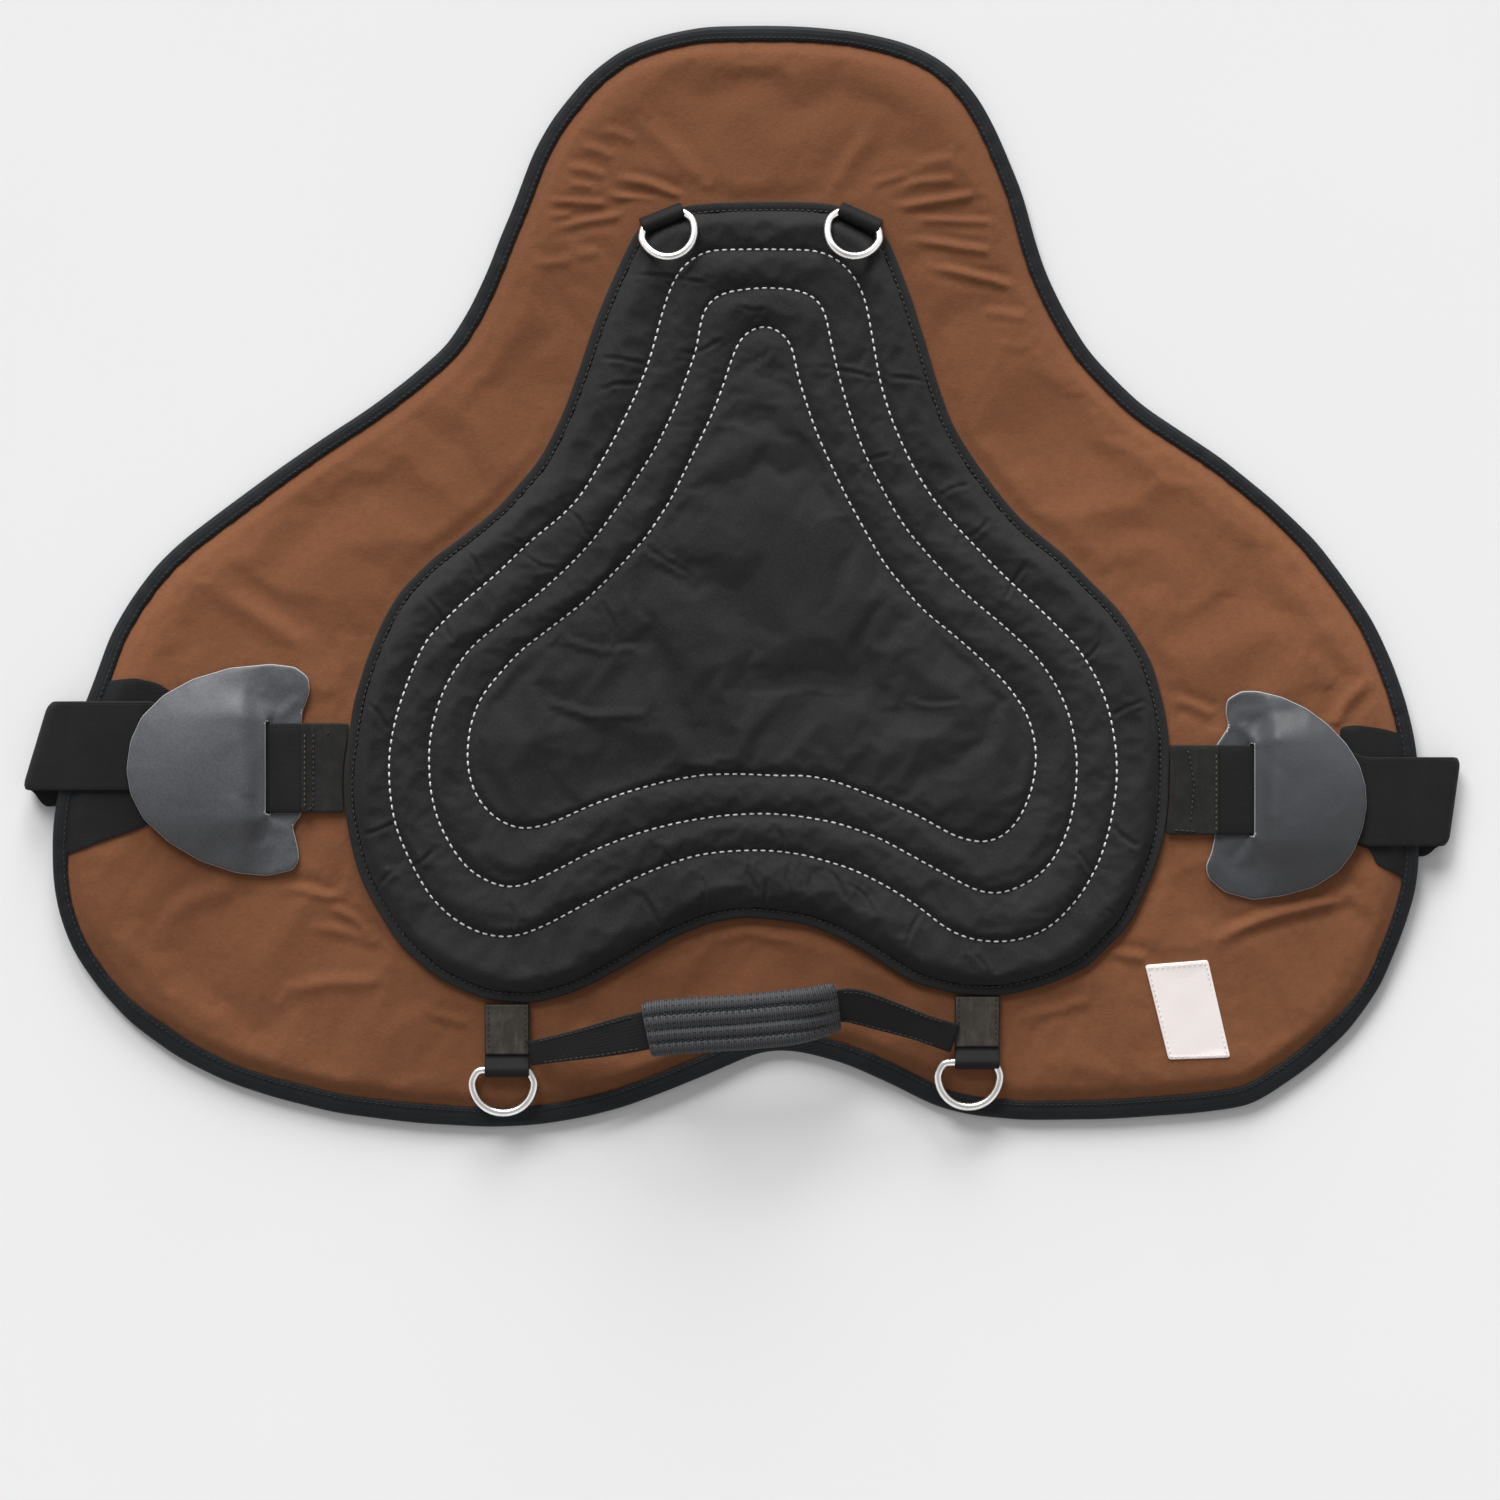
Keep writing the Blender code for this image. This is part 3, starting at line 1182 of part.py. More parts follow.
def build_guard(side):
    half_length = GUARD_LENGTH / 2

    def solid(name, shares, reach, bottom, ring_shares, centre_share):
        outline = [Vector((out * reach, along * half_length)) for out, along in shares]
        centre = Vector((reach * centre_share, 0.0))
        rings = []
        for share in ring_shares:
            ring = []
            for spot in toward(outline, centre, share):
                place = side.plan(side.slot + spot.x, spot.y)
                ring.append((place.x, place.y, bottom(spot, share) + LEATHER_THICKNESS))
            rings.append(ring)
        for share in reversed(ring_shares):
            ring = []
            for spot in toward(outline, centre, share):
                place = side.plan(side.slot + spot.x, spot.y)
                ring.append((place.x, place.y, bottom(spot, share)))
            rings.append(ring)
        return dress(skin(name, rings), LEATHER_GREY, 0.5)

    def lip_bottom(spot, _share):
        return cover_top(side.plan(side.slot + spot.x, spot.y)) + LAY_GAP

    def flap_bottom(spot, share):
        out_share = max(0.0, spot.x / side.reach)
        beyond_slot = smooth((abs(spot.y) - GIRTH_HALF - SLOT_MARGIN) / SLOT_FADE)
        bridge = (SLOT_HEIGHT + (RIM_HEIGHT - SLOT_HEIGHT) * out_share) * (1 - beyond_slot)
        patch = (PATCH_THICKNESS + LAY_GAP) * smooth(out_share * 2)
        dome = GUARD_DOME * (1 - share ** 4)
        return cover_top(side.plan(side.slot + spot.x, spot.y)) + LAY_GAP + bridge + patch + dome

    lip_shares = [(-out, along) for out, along in LIP_SHARES]
    solid(f"{side.name}_guard_lip", lip_shares, LIP_REACH, lip_bottom, [0.5, 1.0], -0.35)
    flap_shares = [(max(out, GAP / side.reach), along) for out, along in FLAP_SHARES]
    ring_shares = [0.3, 0.6, 0.82, 1.0]
    solid(f"{side.name}_guard_flap", flap_shares, side.reach, flap_bottom, ring_shares, 0.48)
    slot = side.plan(side.slot, 0.0)
    level = cover_top(slot) + LAY_GAP + SLOT_HEIGHT + LEATHER_THICKNESS
    print(f"joint {side.name} guard: at {slot.x:.5f} {slot.y:.5f} {level:.5f}")


def build_patch(side):
    """Black reinforcement between the guard and the binding."""
    top = seat_place((0, PATCH_TOP_PIXEL)).y
    bottom = seat_place((0, PATCH_BOTTOM_PIXEL)).y
    inner = side.start + side.side * side.patch
    outer = inset(PAD_OUTLINE, BINDING_WIDTH + CORE_SETBACK + GAP)
    corners = [
        Vector((inner, bottom)),
        Vector((edge_at(side.side, bottom, outer), bottom)),
        Vector((edge_at(side.side, top, outer), top)),
        Vector((inner, top)),
    ]
    patch = laid_plate(f"{side.name}_edge_patch", corners, 6, 3, laid_on_cover, PATCH_THICKNESS)
    dress(patch, WEBBING_BLACK, 0.8)


build_lining()
build_core()
build_cover()
build_binding()
build_seat_foam()
build_seat_panel()
build_hem()
build_threads()
build_front_rings()
build_rear_rings()
build_handle()
build_label()
for side_name in SIDES:
    girth_side = GirthSide(side_name)
    build_girth_tab(girth_side)
    build_buckle(girth_side)
    build_girth_strap(girth_side)
    build_guard(girth_side)
    build_patch(girth_side)
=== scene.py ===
"""Looks of the bareback pad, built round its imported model. Metres; +X is the rider's left, -Y the front."""

import json
import math

import bpy
import numpy as np
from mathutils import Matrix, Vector, geometry, kdtree


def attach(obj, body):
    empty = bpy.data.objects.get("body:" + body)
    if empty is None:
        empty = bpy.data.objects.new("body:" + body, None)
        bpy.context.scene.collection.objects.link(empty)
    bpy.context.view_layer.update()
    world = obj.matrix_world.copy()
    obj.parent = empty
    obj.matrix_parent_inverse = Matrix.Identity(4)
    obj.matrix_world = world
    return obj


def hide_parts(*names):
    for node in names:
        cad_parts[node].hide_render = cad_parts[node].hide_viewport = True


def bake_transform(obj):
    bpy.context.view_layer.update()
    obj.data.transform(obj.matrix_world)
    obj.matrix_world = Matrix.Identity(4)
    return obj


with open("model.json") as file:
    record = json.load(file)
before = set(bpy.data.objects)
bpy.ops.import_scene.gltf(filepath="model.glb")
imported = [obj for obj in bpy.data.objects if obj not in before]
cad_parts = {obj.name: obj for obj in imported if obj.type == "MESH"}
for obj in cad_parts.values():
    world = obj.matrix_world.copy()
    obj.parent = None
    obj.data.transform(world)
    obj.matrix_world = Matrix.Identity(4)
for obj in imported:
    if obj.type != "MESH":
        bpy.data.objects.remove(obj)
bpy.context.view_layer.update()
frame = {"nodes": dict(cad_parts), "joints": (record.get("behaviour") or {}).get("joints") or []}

bl_info = {
    "name": "Bareback Pad Looks",
    "version": (1, 0, 0),
    "blender": (4, 5, 0),
    "location": "View3D > Sidebar > Bareback Pad",
    "description": "Builds the covers, seat, webbing, leather and fittings of a bareback riding pad",
    "category": "Object",
}

JOINTS = {joint["name"]: joint for joint in frame["joints"]}

# Reference picture: one pixel, and the pixel at the plan's origin
PIXEL = 0.768 / 1371
ORIGIN_PIXEL = (735.5 + 0.0025 / PIXEL, 22 + 0.310 / PIXEL)


def spot(pixel):
    """Plan place of a pixel of the reference picture."""
    return np.array([(pixel[0] - ORIGIN_PIXEL[0]) * PIXEL, (ORIGIN_PIXEL[1] - pixel[1]) * PIXEL])


def spots(pixels):
    return np.array([spot(pixel) for pixel in pixels])


# Outlines and quilting rows, given clockwise from the rear
PAD_PIXELS = [
    (704, 23), (765, 22), (806, 23), (857, 28), (899, 37), (930, 49), (956, 67), (978, 92), (991, 115),
    (1000, 133), (1024, 191), (1035, 233), (1046, 268), (1064, 306), (1089, 348), (1115, 376), (1143, 403),
    (1179, 427), (1223, 456), (1276, 499), (1319, 540), (1351, 583), (1376, 621), (1395, 663), (1408, 701),
    (1415, 730), (1419, 752), (1421, 800), (1421, 860), (1418, 892), (1405, 934), (1383, 988), (1352, 1032),
    (1314, 1067), (1272, 1096), (1251, 1108), (1198, 1115), (1110, 1121), (1025, 1122), (971, 1117),
    (936, 1108), (891, 1085), (846, 1065), (802, 1053), (779, 1051), (757, 1054), (712, 1074), (668, 1092),
    (623, 1109), (579, 1120), (534, 1127), (489, 1129), (415, 1125), (335, 1115), (271, 1099), (223, 1083),
    (175, 1059), (128, 1025), (96, 990), (70, 952), (57, 917), (51, 885), (50, 850), (51, 822), (63, 753),
    (88, 691), (96, 669), (108, 634), (128, 599), (153, 565), (179, 540), (217, 511), (274, 469),
    (319, 438), (367, 407), (408, 376), (446, 343), (469, 306), (488, 265), (500, 232), (510, 210),
    (532, 150), (551, 116), (586, 73), (621, 46), (659, 32),
]
SEAT_PIXELS = [
    (752, 202), (800, 202), (838, 204), (883, 230), (895, 255), (911, 297), (924, 338),
    (937, 383), (953, 427), (975, 462), (1006, 503), (1025, 524), (1064, 554), (1089, 580), (1115, 605),
    (1134, 631), (1150, 659), (1159, 688), (1166, 717), (1169, 742), (1168, 800), (1163, 844), (1153, 873),
    (1140, 902), (1128, 927), (1108, 946), (1089, 966), (1064, 978), (1047, 985), (1003, 996), (958, 995),
    (913, 983), (882, 963), (838, 936), (802, 923), (748, 917), (712, 922), (668, 940), (623, 967),
    (579, 991), (534, 1004), (485, 1000), (436, 978), (400, 945), (376, 908), (360, 876), (351, 844),
    (344, 806), (344, 771), (349, 736), (355, 698), (367, 659), (383, 621), (402, 589), (430, 561),
    (472, 529), (500, 506), (541, 459), (564, 411), (580, 367), (596, 319), (612, 281), (627, 249),
    (640, 223), (679, 207), (715, 203),
]
OUTER_ROW_PIXELS = [
    (704, 252), (762, 251), (819, 252), (838, 261), (854, 277), (865, 300), (870, 328), (875, 357),
    (880, 386), (892, 424), (911, 466), (932, 500), (953, 525), (1000, 574), (1041, 612), (1076, 647),
    (1096, 679), (1108, 710), (1115, 749), (1116, 781), (1110, 822), (1099, 860), (1080, 895), (1051, 926),
    (1025, 938), (1000, 942), (969, 939), (946, 929), (921, 908), (889, 887), (851, 868), (803, 854),
    (774, 850), (736, 850), (698, 854), (659, 867), (621, 884), (583, 905), (548, 924), (519, 936),
    (500, 937), (478, 932), (453, 918), (430, 895), (411, 860), (397, 828), (391, 793), (390, 755),
    (397, 717), (410, 679), (427, 640), (462, 605), (500, 573), (532, 541), (557, 522), (580, 500),
    (612, 446), (634, 402), (650, 363), (659, 328), (667, 300), (679, 271),
]
MIDDLE_ROW_PIXELS = [
    (728, 293), (765, 289), (800, 292), (816, 298), (825, 312), (830, 341), (838, 376), (848, 411),
    (863, 453), (887, 500), (905, 530), (940, 570), (969, 599), (1000, 624), (1035, 656), (1057, 688),
    (1070, 720), (1076, 755), (1075, 793), (1067, 832), (1048, 867), (1025, 884), (1000, 894), (978, 892),
    (956, 880), (914, 857), (876, 836), (835, 822), (793, 815), (765, 813), (723, 815), (679, 822),
    (637, 833), (596, 849), (557, 870), (522, 887), (500, 887), (469, 870), (453, 848), (438, 819),
    (431, 787), (430, 745), (437, 710), (450, 679), (472, 647), (500, 625), (538, 596), (573, 564),
    (599, 535), (624, 500), (656, 450), (675, 411), (688, 376), (698, 348), (701, 319), (710, 300),
]
INNER_ROW_PIXELS = [
    (742, 336), (765, 325), (784, 335), (793, 348), (795, 367), (801, 389), (816, 434), (832, 469),
    (847, 500), (863, 529), (883, 564), (921, 610), (962, 643), (1000, 678), (1016, 698), (1029, 720),
    (1036, 752), (1032, 787), (1019, 819), (1000, 839), (978, 843), (953, 836), (921, 817), (883, 800),
    (835, 781), (806, 775), (781, 776), (749, 774), (707, 774), (666, 781), (627, 792), (589, 806),
    (551, 824), (522, 830), (500, 821), (488, 811), (475, 793), (468, 765), (470, 730), (481, 698),
    (500, 675), (519, 653), (548, 631), (586, 602), (618, 570), (647, 538), (672, 500), (688, 466),
    (704, 434), (717, 405), (726, 379), (733, 357),
]
GUARD_PIXELS = {
    "right": [
        (271, 664), (296, 667), (309, 677), (311, 690), (308, 700), (303, 711), (302, 724), (302, 815),
        (293, 826), (298, 845), (300, 859), (294, 870), (267, 876), (237, 873), (201, 861), (170, 842),
        (145, 819), (132, 794), (128, 770), (132, 741), (143, 717), (165, 695), (194, 679), (230, 668),
    ],
    "left": [
        (1227, 699), (1241, 691), (1257, 691), (1281, 697), (1305, 708), (1326, 724), (1345, 744),
        (1358, 765), (1364, 786), (1365, 807), (1361, 829), (1352, 852), (1338, 871), (1314, 887),
        (1283, 896), (1253, 900), (1224, 892), (1208, 878), (1205, 866), (1211, 852), (1214, 838),
        (1214, 748), (1228, 727), (1225, 711),
    ],
}
PATCH_PIXELS = {
    "right": [
        (172, 692), (158, 683), (136, 678), (112, 680), (97, 684), (84, 730), (64, 790), (64, 856),
        (100, 842), (133, 831), (172, 815),
    ],
    "left": [
        (1340, 727), (1354, 725), (1380, 728), (1404, 734), (1412, 760), (1412, 850), (1408, 880),
        (1376, 864), (1370, 849), (1340, 840),
    ],
}
LABEL_PIXELS = [(1145, 965), (1208, 960), (1231, 1058), (1169, 1060)]
PAD_CENTRE = spot((740, 640))

# Folds of the cover: x and y of three or four pixels along the crest, then width and height in millimetres
COVER_FOLDS = [
    (636, 120, 668, 146, 700, 180, 5.0, 1.2),
    (597, 128, 618, 133, 636, 140, 2.6, 0.8),
    (575, 145, 596, 149, 614, 156, 2.6, 0.9),
    (561, 166, 585, 169, 606, 176, 2.4, 1.1),
    (566, 184, 580, 185, 592, 187, 2.0, 0.9),
    (610, 178, 647, 183, 682, 198, 2.6, 1.9),
    (603, 195, 630, 198, 658, 202, 2.0, 1.6),
    (544, 201, 575, 202, 606, 204, 2.2, 1.3),
    (547, 216, 560, 215, 572, 214, 2.0, 0.9),
    (547, 230, 586, 221, 631, 214, 2.4, 1.5),
    (572, 257, 586, 254, 600, 251, 2.6, 0.7),
    (536, 265, 555, 262, 572, 260, 2.8, 0.7),
    (884, 124, 854, 154, 834, 188, 5.0, 1.3),
    (912, 166, 935, 161, 955, 158, 2.8, 0.7),
    (866, 187, 890, 179, 910, 175, 2.4, 0.9),
    (886, 190, 920, 182, 956, 179, 2.2, 1.0),
    (884, 210, 930, 202, 976, 195, 2.6, 1.8),
    (904, 219, 945, 220, 992, 222, 2.2, 1.3),
    (904, 239, 945, 245, 992, 252, 2.6, 1.8),
    (920, 265, 965, 274, 1012, 286, 2.6, 1.9),
    (976, 311, 1005, 314, 1028, 318, 3.0, 1.0),
    (988, 342, 1010, 345, 1030, 347, 3.2, 0.6),
    (700, 60, 740, 66, 790, 58, 7.0, 0.7),
    (640, 96, 700, 110, 760, 108, 8.0, 0.6),
    (1080, 400, 1110, 440, 1160, 470, 8.0, 0.8),
    (1190, 520, 1220, 560, 1226, 600, 8.0, 0.7),
    (330, 480, 380, 470, 430, 430, 9.0, 0.8),
    (207, 583, 260, 618, 306, 647, 5.5, 1.5),
    (271, 888, 305, 890, 338, 900, 3.0, 1.2),
    (300, 925, 340, 932, 383, 944, 3.2, 1.1),
    (274, 990, 330, 984, 383, 981, 4.0, 1.1),
    (150, 930, 190, 900, 235, 890, 5.0, 1.0),
    (1105, 951, 1125, 955, 1146, 960, 3.0, 1.3),
    (1208, 947, 1234, 931, 1272, 917, 1338, 901, 3.4, 3.0),
    (1216, 905, 1262, 915, 1318, 902, 1366, 893, 4.0, 1.2),
    (1376, 676, 1360, 688, 1343, 706, 1334, 728, 3.6, 1.9),
    (1300, 650, 1318, 668, 1330, 690, 5.0, 1.2),
    (700, 942, 748, 933, 800, 942, 3.0, 0.8),
    (320, 905, 348, 915, 372, 935, 2.6, 1.0),
    (1168, 700, 1188, 704, 1214, 716, 3.0, 1.0),
    (420, 1010, 452, 1020, 482, 1026, 3.0, 1.0),
    (1010, 1020, 1050, 1012, 1092, 1000, 3.4, 1.0),
]

# Creases of the leather guards, in the same way
GUARD_CREASES = {
    "right": [
        (272, 722, 284, 713, 300, 698, 3.0, 1.1),
        (270, 720, 264, 704, 261, 688, 3.4, 0.7),
        (264, 724, 246, 716, 228, 708, 4.4, 0.5),
        (268, 816, 262, 828, 258, 846, 3.4, -0.8),
        (268, 818, 280, 826, 292, 830, 2.8, 0.6),
        (254, 744, 250, 770, 252, 798, 5.0, 0.7),
        (190, 730, 196, 768, 188, 806, 12.0, 0.5),
    ],
    "left": [
        (1255, 750, 1248, 738, 1240, 724, 3.0, 1.0),
        (1258, 750, 1266, 742, 1276, 736, 3.6, 0.5),
        (1252, 842, 1260, 856, 1266, 872, 3.6, 0.7),
        (1250, 842, 1238, 850, 1228, 860, 3.0, -0.8),
        (1270, 768, 1273, 795, 1268, 822, 5.0, 0.7),
        (1300, 760, 1316, 784, 1334, 812, 9.0, -0.7),
    ],
}

# Creases of the seat, in the same way
SEAT_CREASES = [
    (620, 277, 664, 278, 707, 286, 1.2, -0.9),
    (682, 357, 704, 352, 723, 341, 1.2, -0.9),
    (594, 359, 620, 361, 647, 366, 1.2, -0.9),
    (822, 370, 848, 373, 873, 380, 1.2, -1.0),
    (884, 378, 905, 380, 930, 384, 1.2, -0.9),
    (735, 306, 752, 314, 766, 312, 1.2, -0.6),
    (600, 392, 618, 386, 636, 386, 1.2, -0.8),
    (560, 505, 580, 520, 590, 540, 1.2, -0.9),
    (420, 592, 440, 612, 452, 640, 1.2, -0.9),
    (465, 548, 478, 565, 482, 582, 1.2, -0.8),
    (365, 700, 380, 712, 390, 730, 1.2, -0.9),
    (352, 838, 375, 832, 398, 822, 1.2, -0.9),
    (408, 868, 422, 862, 436, 850, 1.2, -0.8),
    (510, 898, 515, 912, 514, 930, 1.2, -0.8),
    (660, 845, 668, 856, 682, 868, 1.2, -0.7),
    (776, 826, 784, 840, 782, 852, 1.3, -1.1),
    (790, 858, 786, 880, 794, 902, 1.3, -1.2),
    (752, 852, 748, 872, 756, 890, 1.3, -1.0),
    (820, 862, 838, 880, 846, 900, 1.3, -0.9),
    (925, 905, 912, 925, 905, 945, 1.2, -0.9),
    (1104, 880, 1088, 868, 1076, 850, 1.2, -0.8),
    (1140, 850, 1124, 838, 1112, 828, 1.2, -0.9),
    (1150, 700, 1128, 706, 1110, 716, 1.2, -0.9),
    (1102, 640, 1090, 655, 1076, 664, 1.2, -0.9),
    (1030, 560, 1015, 578, 1004, 600, 1.2, -1.0),
    (990, 520, 975, 535, 960, 540, 1.2, -0.9),
    (935, 500, 950, 490, 968, 486, 1.2, -0.8),
    (856, 470, 872, 460, 890, 456, 1.2, -0.8),
    (812, 868, 808, 890, 816, 914, 1.1, -0.9),
    (764, 858, 768, 880, 764, 906, 1.1, -0.9),
    (842, 880, 862, 892, 874, 912, 1.1, -0.8),
    (700, 870, 706, 890, 700, 916, 1.1, -0.7),
    (640, 890, 652, 906, 660, 926, 1.1, -0.6),
    (970, 950, 984, 964, 990, 980, 1.1, -0.7),
    (1100, 905, 1112, 914, 1120, 920, 1.1, -0.7),
    (398, 868, 384, 880, 376, 892, 1.1, -0.8),
    (520, 552, 540, 566, 556, 570, 1.1, -0.6),
    (600, 600, 614, 622, 618, 648, 1.2, -0.5),
    (640, 545, 664, 560, 690, 575, 1.2, -0.5),
    (770, 345, 764, 362, 766, 380, 1.2, -0.5),
    (900, 700, 930, 708, 962, 704, 1.6, 0.5),
    (560, 640, 600, 652, 640, 650, 2.0, 0.5),
    (540, 700, 590, 716, 650, 714, 2.4, 0.5),
    (760, 700, 800, 690, 850, 694, 2.2, 0.5),
]


# Plan curves

def runs_of(line):
    """Distance along a line at each of its points."""
    return np.concatenate([[0.0], np.cumsum(np.linalg.norm(np.diff(line, axis=0), axis=1))])


def evenly(points, count, closed=True, measured=None):
    """Rows resampled at even steps along their line, which all or the first columns measure."""
    line = np.vstack([points, points[:1]]) if closed else points
    runs = runs_of(line[:, :measured])
    at = np.linspace(0.0, runs[-1], count + 1)[:-1] if closed else np.linspace(0.0, runs[-1], count)
    return np.stack([np.interp(at, runs, line[:, axis]) for axis in range(line.shape[1])], axis=1)


def length_of(points, closed=True):
    line = np.vstack([points, points[:1]]) if closed else points
    return float(np.linalg.norm(np.diff(line, axis=0), axis=1).sum())


def soften(points, reach, closed=True):
    """Points smoothed by a bell of that many steps."""
    span = int(math.ceil(reach * 3))
    bell = np.exp(-0.5 * (np.arange(-span, span + 1) / reach) ** 2)
    bell /= bell.sum()
    if closed:
        padded = np.vstack([points[-span:], points, points[:span]])
    else:
        before = 2 * points[0] - points[1:span + 1][::-1]
        after = 2 * points[-1] - points[-span - 1:-1][::-1]
        padded = np.vstack([before, points, after])
    return np.stack([np.convolve(padded[:, axis], bell, "valid") for axis in range(points.shape[1])], axis=1)


def turned_in(points):
    """Unit normals of an anticlockwise closed line, pointing inwards."""
    along = np.roll(points, -1, axis=0) - np.roll(points, 1, axis=0)
    along /= np.linalg.norm(along, axis=1)[:, None]
    return np.stack([-along[:, 1], along[:, 0]], axis=1)


def search_tree(places):
    """A tree that finds the nearest of some places in the plan."""
    tree = kdtree.KDTree(len(places))
    for index, (x, y) in enumerate(places):
        tree.insert((x, y, 0.0), index)
    tree.balance()
    return tree


def closest(tree, places):
    """Row and distance of the tree's nearest place, for each place."""
    found = [tree.find((x, y, 0.0)) for x, y in places]
    return np.array([item[1] for item in found]), np.array([item[2] for item in found])


class Loop:
    """A closed anticlockwise line in the plan."""

    def __init__(self, points, pitch):
        points = np.asarray(points, dtype=float)
        area = np.sum(points[:, 0] * np.roll(points[:, 1], -1) - points[:, 1] * np.roll(points[:, 0], -1))
        if area < 0:
            points = points[::-1]
        self.points = evenly(points, max(12, round(length_of(points) / pitch)))
        self.tree = search_tree(self.points)

    def every(self, pitch):
        return evenly(self.points, max(12, round(length_of(self.points) / pitch)))

    def moved_in(self, distance, pitch=0.0015):
        return Loop(self.points + turned_in(self.points) * distance, pitch)

    def depth(self, places):
        """How far inside the line each place is; negative outside."""
        count = len(self.points)
        nearest, _ = closest(self.tree, places)
        best = np.full(len(places), np.inf)
        sign = np.ones(len(places))
        for shift in (-1, 0):
            start = self.points[(nearest + shift) % count]
            step = self.points[(nearest + shift + 1) % count] - start
            offset = places - start
            share = np.clip((offset * step).sum(axis=1) / (step ** 2).sum(axis=1), 0.0, 1.0)
            gap = offset - step * share[:, None]
            distance = np.linalg.norm(gap, axis=1)
            side = step[:, 0] * offset[:, 1] - step[:, 1] * offset[:, 0]
            closer = distance < best
            best = np.where(closer, distance, best)
            sign = np.where(closer, np.where(side >= 0, 1.0, -1.0), sign)
        return best * sign


def loop_of(pixels, soft=0.005, pitch=0.0015):
    """A smooth loop through pixels."""
    points = spots(pixels)
    even = evenly(points, round(length_of(points) / 0.001))
    return Loop(soften(even, soft / 0.001), pitch)


def smooth(share):
    """From 0 to 1 with soft ends."""
    share = np.clip(share, 0.0, 1.0)
    return share * share * (3 - 2 * share)


def eased_in(share):
    """Like smooth, but without a change of curvature at its ends."""
    share = np.clip(share, 0.0, 1.0)
    return share ** 3 * (share * (share * 6 - 15) + 10)


def ripple(places, wavelength, seed, waves=14):
    """Gentle uneven waves over the plan, about one high."""
    random = np.random.default_rng(seed)
    total = np.zeros(len(places))
    for _ in range(waves):
        angle = random.uniform(0, 2 * math.pi)
        rate = 2 * math.pi / (wavelength * random.uniform(0.7, 1.6))
        heading = np.array([math.cos(angle), math.sin(angle)])
        total += np.sin(places @ heading * rate + random.uniform(0, 2 * math.pi))
    return total / math.sqrt(waves)


def crest_line(pixels):
    return spots(np.reshape(pixels, (-1, 2)))


def crests(places, folds):
    """Height of folds: a crest with a shallow valley on each side, fading slowly at its first end."""
    total = np.zeros(len(places))
    for *pixels, width, height in folds:
        line = soften(evenly(crest_line(pixels), 40, closed=False), 3, closed=False)
        low, high = line.min(axis=0) - 0.02, line.max(axis=0) + 0.02
        near = np.where(((places > low) & (places < high)).all(axis=1))[0]
        if not len(near):
            continue
        offset = places[near][:, None, :] - line[None, :, :]
        apart = np.linalg.norm(offset, axis=2)
        index = apart.argmin(axis=1)
        distance = apart[np.arange(len(near)), index]
        along = line[np.minimum(index + 1, 39)] - line[np.maximum(index - 1, 0)]
        gap = places[near] - line[index]
        side = np.sign(along[:, 0] * gap[:, 1] - along[:, 1] * gap[:, 0])
        across = distance * side / (width / 1000)
        fade = smooth((index + 0.5) / 40 / 0.40) * smooth((40 - index) / 40 / 0.14)
        shape = np.exp(-across ** 2) - 0.5 * np.exp(-((across - 1.9) / 1.1) ** 2)
        shape -= 0.3 * np.exp(-((across + 1.9) / 1.2) ** 2)
        total[near] += height / 1000 * fade * shape
    return total


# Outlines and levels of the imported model

PAD_LOOP = loop_of(PAD_PIXELS, 0.007)
SEAT_LOOP = loop_of(SEAT_PIXELS, 0.006)
ROW_LOOPS = {
    "outer": loop_of(OUTER_ROW_PIXELS, 0.0065),
    "middle": loop_of(MIDDLE_ROW_PIXELS, 0.0065),
    "inner": loop_of(INNER_ROW_PIXELS, 0.0060),
}
CORE_LOOP = PAD_LOOP.moved_in(0.0115)
CORE_BOTTOM = 0.0039
COVER_EDGE = 0.0043
COVER_CROWN = 0.0095
LAY_GAP = 0.0005
HEM_THICKNESS = 0.0015
PATCH_THICKNESS = 0.0015
GUARD_THICKNESS = 0.0025


def binding_width(places):
    """The binding is wider along the front."""
    return 0.0088 + 0.0022 * smooth((-0.235 - places[:, 1]) / 0.03)


def radii_round(centre, loop, steps=1440):
    """Headings and the furthest radius of a loop in each."""
    headings = np.linspace(-math.pi, math.pi, steps, endpoint=False)
    cos, sin = np.cos(headings)[:, None], np.sin(headings)[:, None]
    offset = loop.points - centre
    step = np.roll(loop.points, -1, axis=0) - loop.points
    cross = cos * step[:, 1] - sin * step[:, 0]
    cross = np.where(np.abs(cross) < 1e-12, 1e-12, cross)
    run = (offset[:, 0] * step[:, 1] - offset[:, 1] * step[:, 0]) / cross
    share = (offset[:, 0] * sin - offset[:, 1] * cos) / cross
    good = (run > 0) & (share >= -1e-6) & (share <= 1 + 1e-6)
    return headings, np.where(good, run, 0.0).max(axis=1)


CORE_HEADINGS, CORE_RADII = radii_round(PAD_CENTRE, CORE_LOOP)

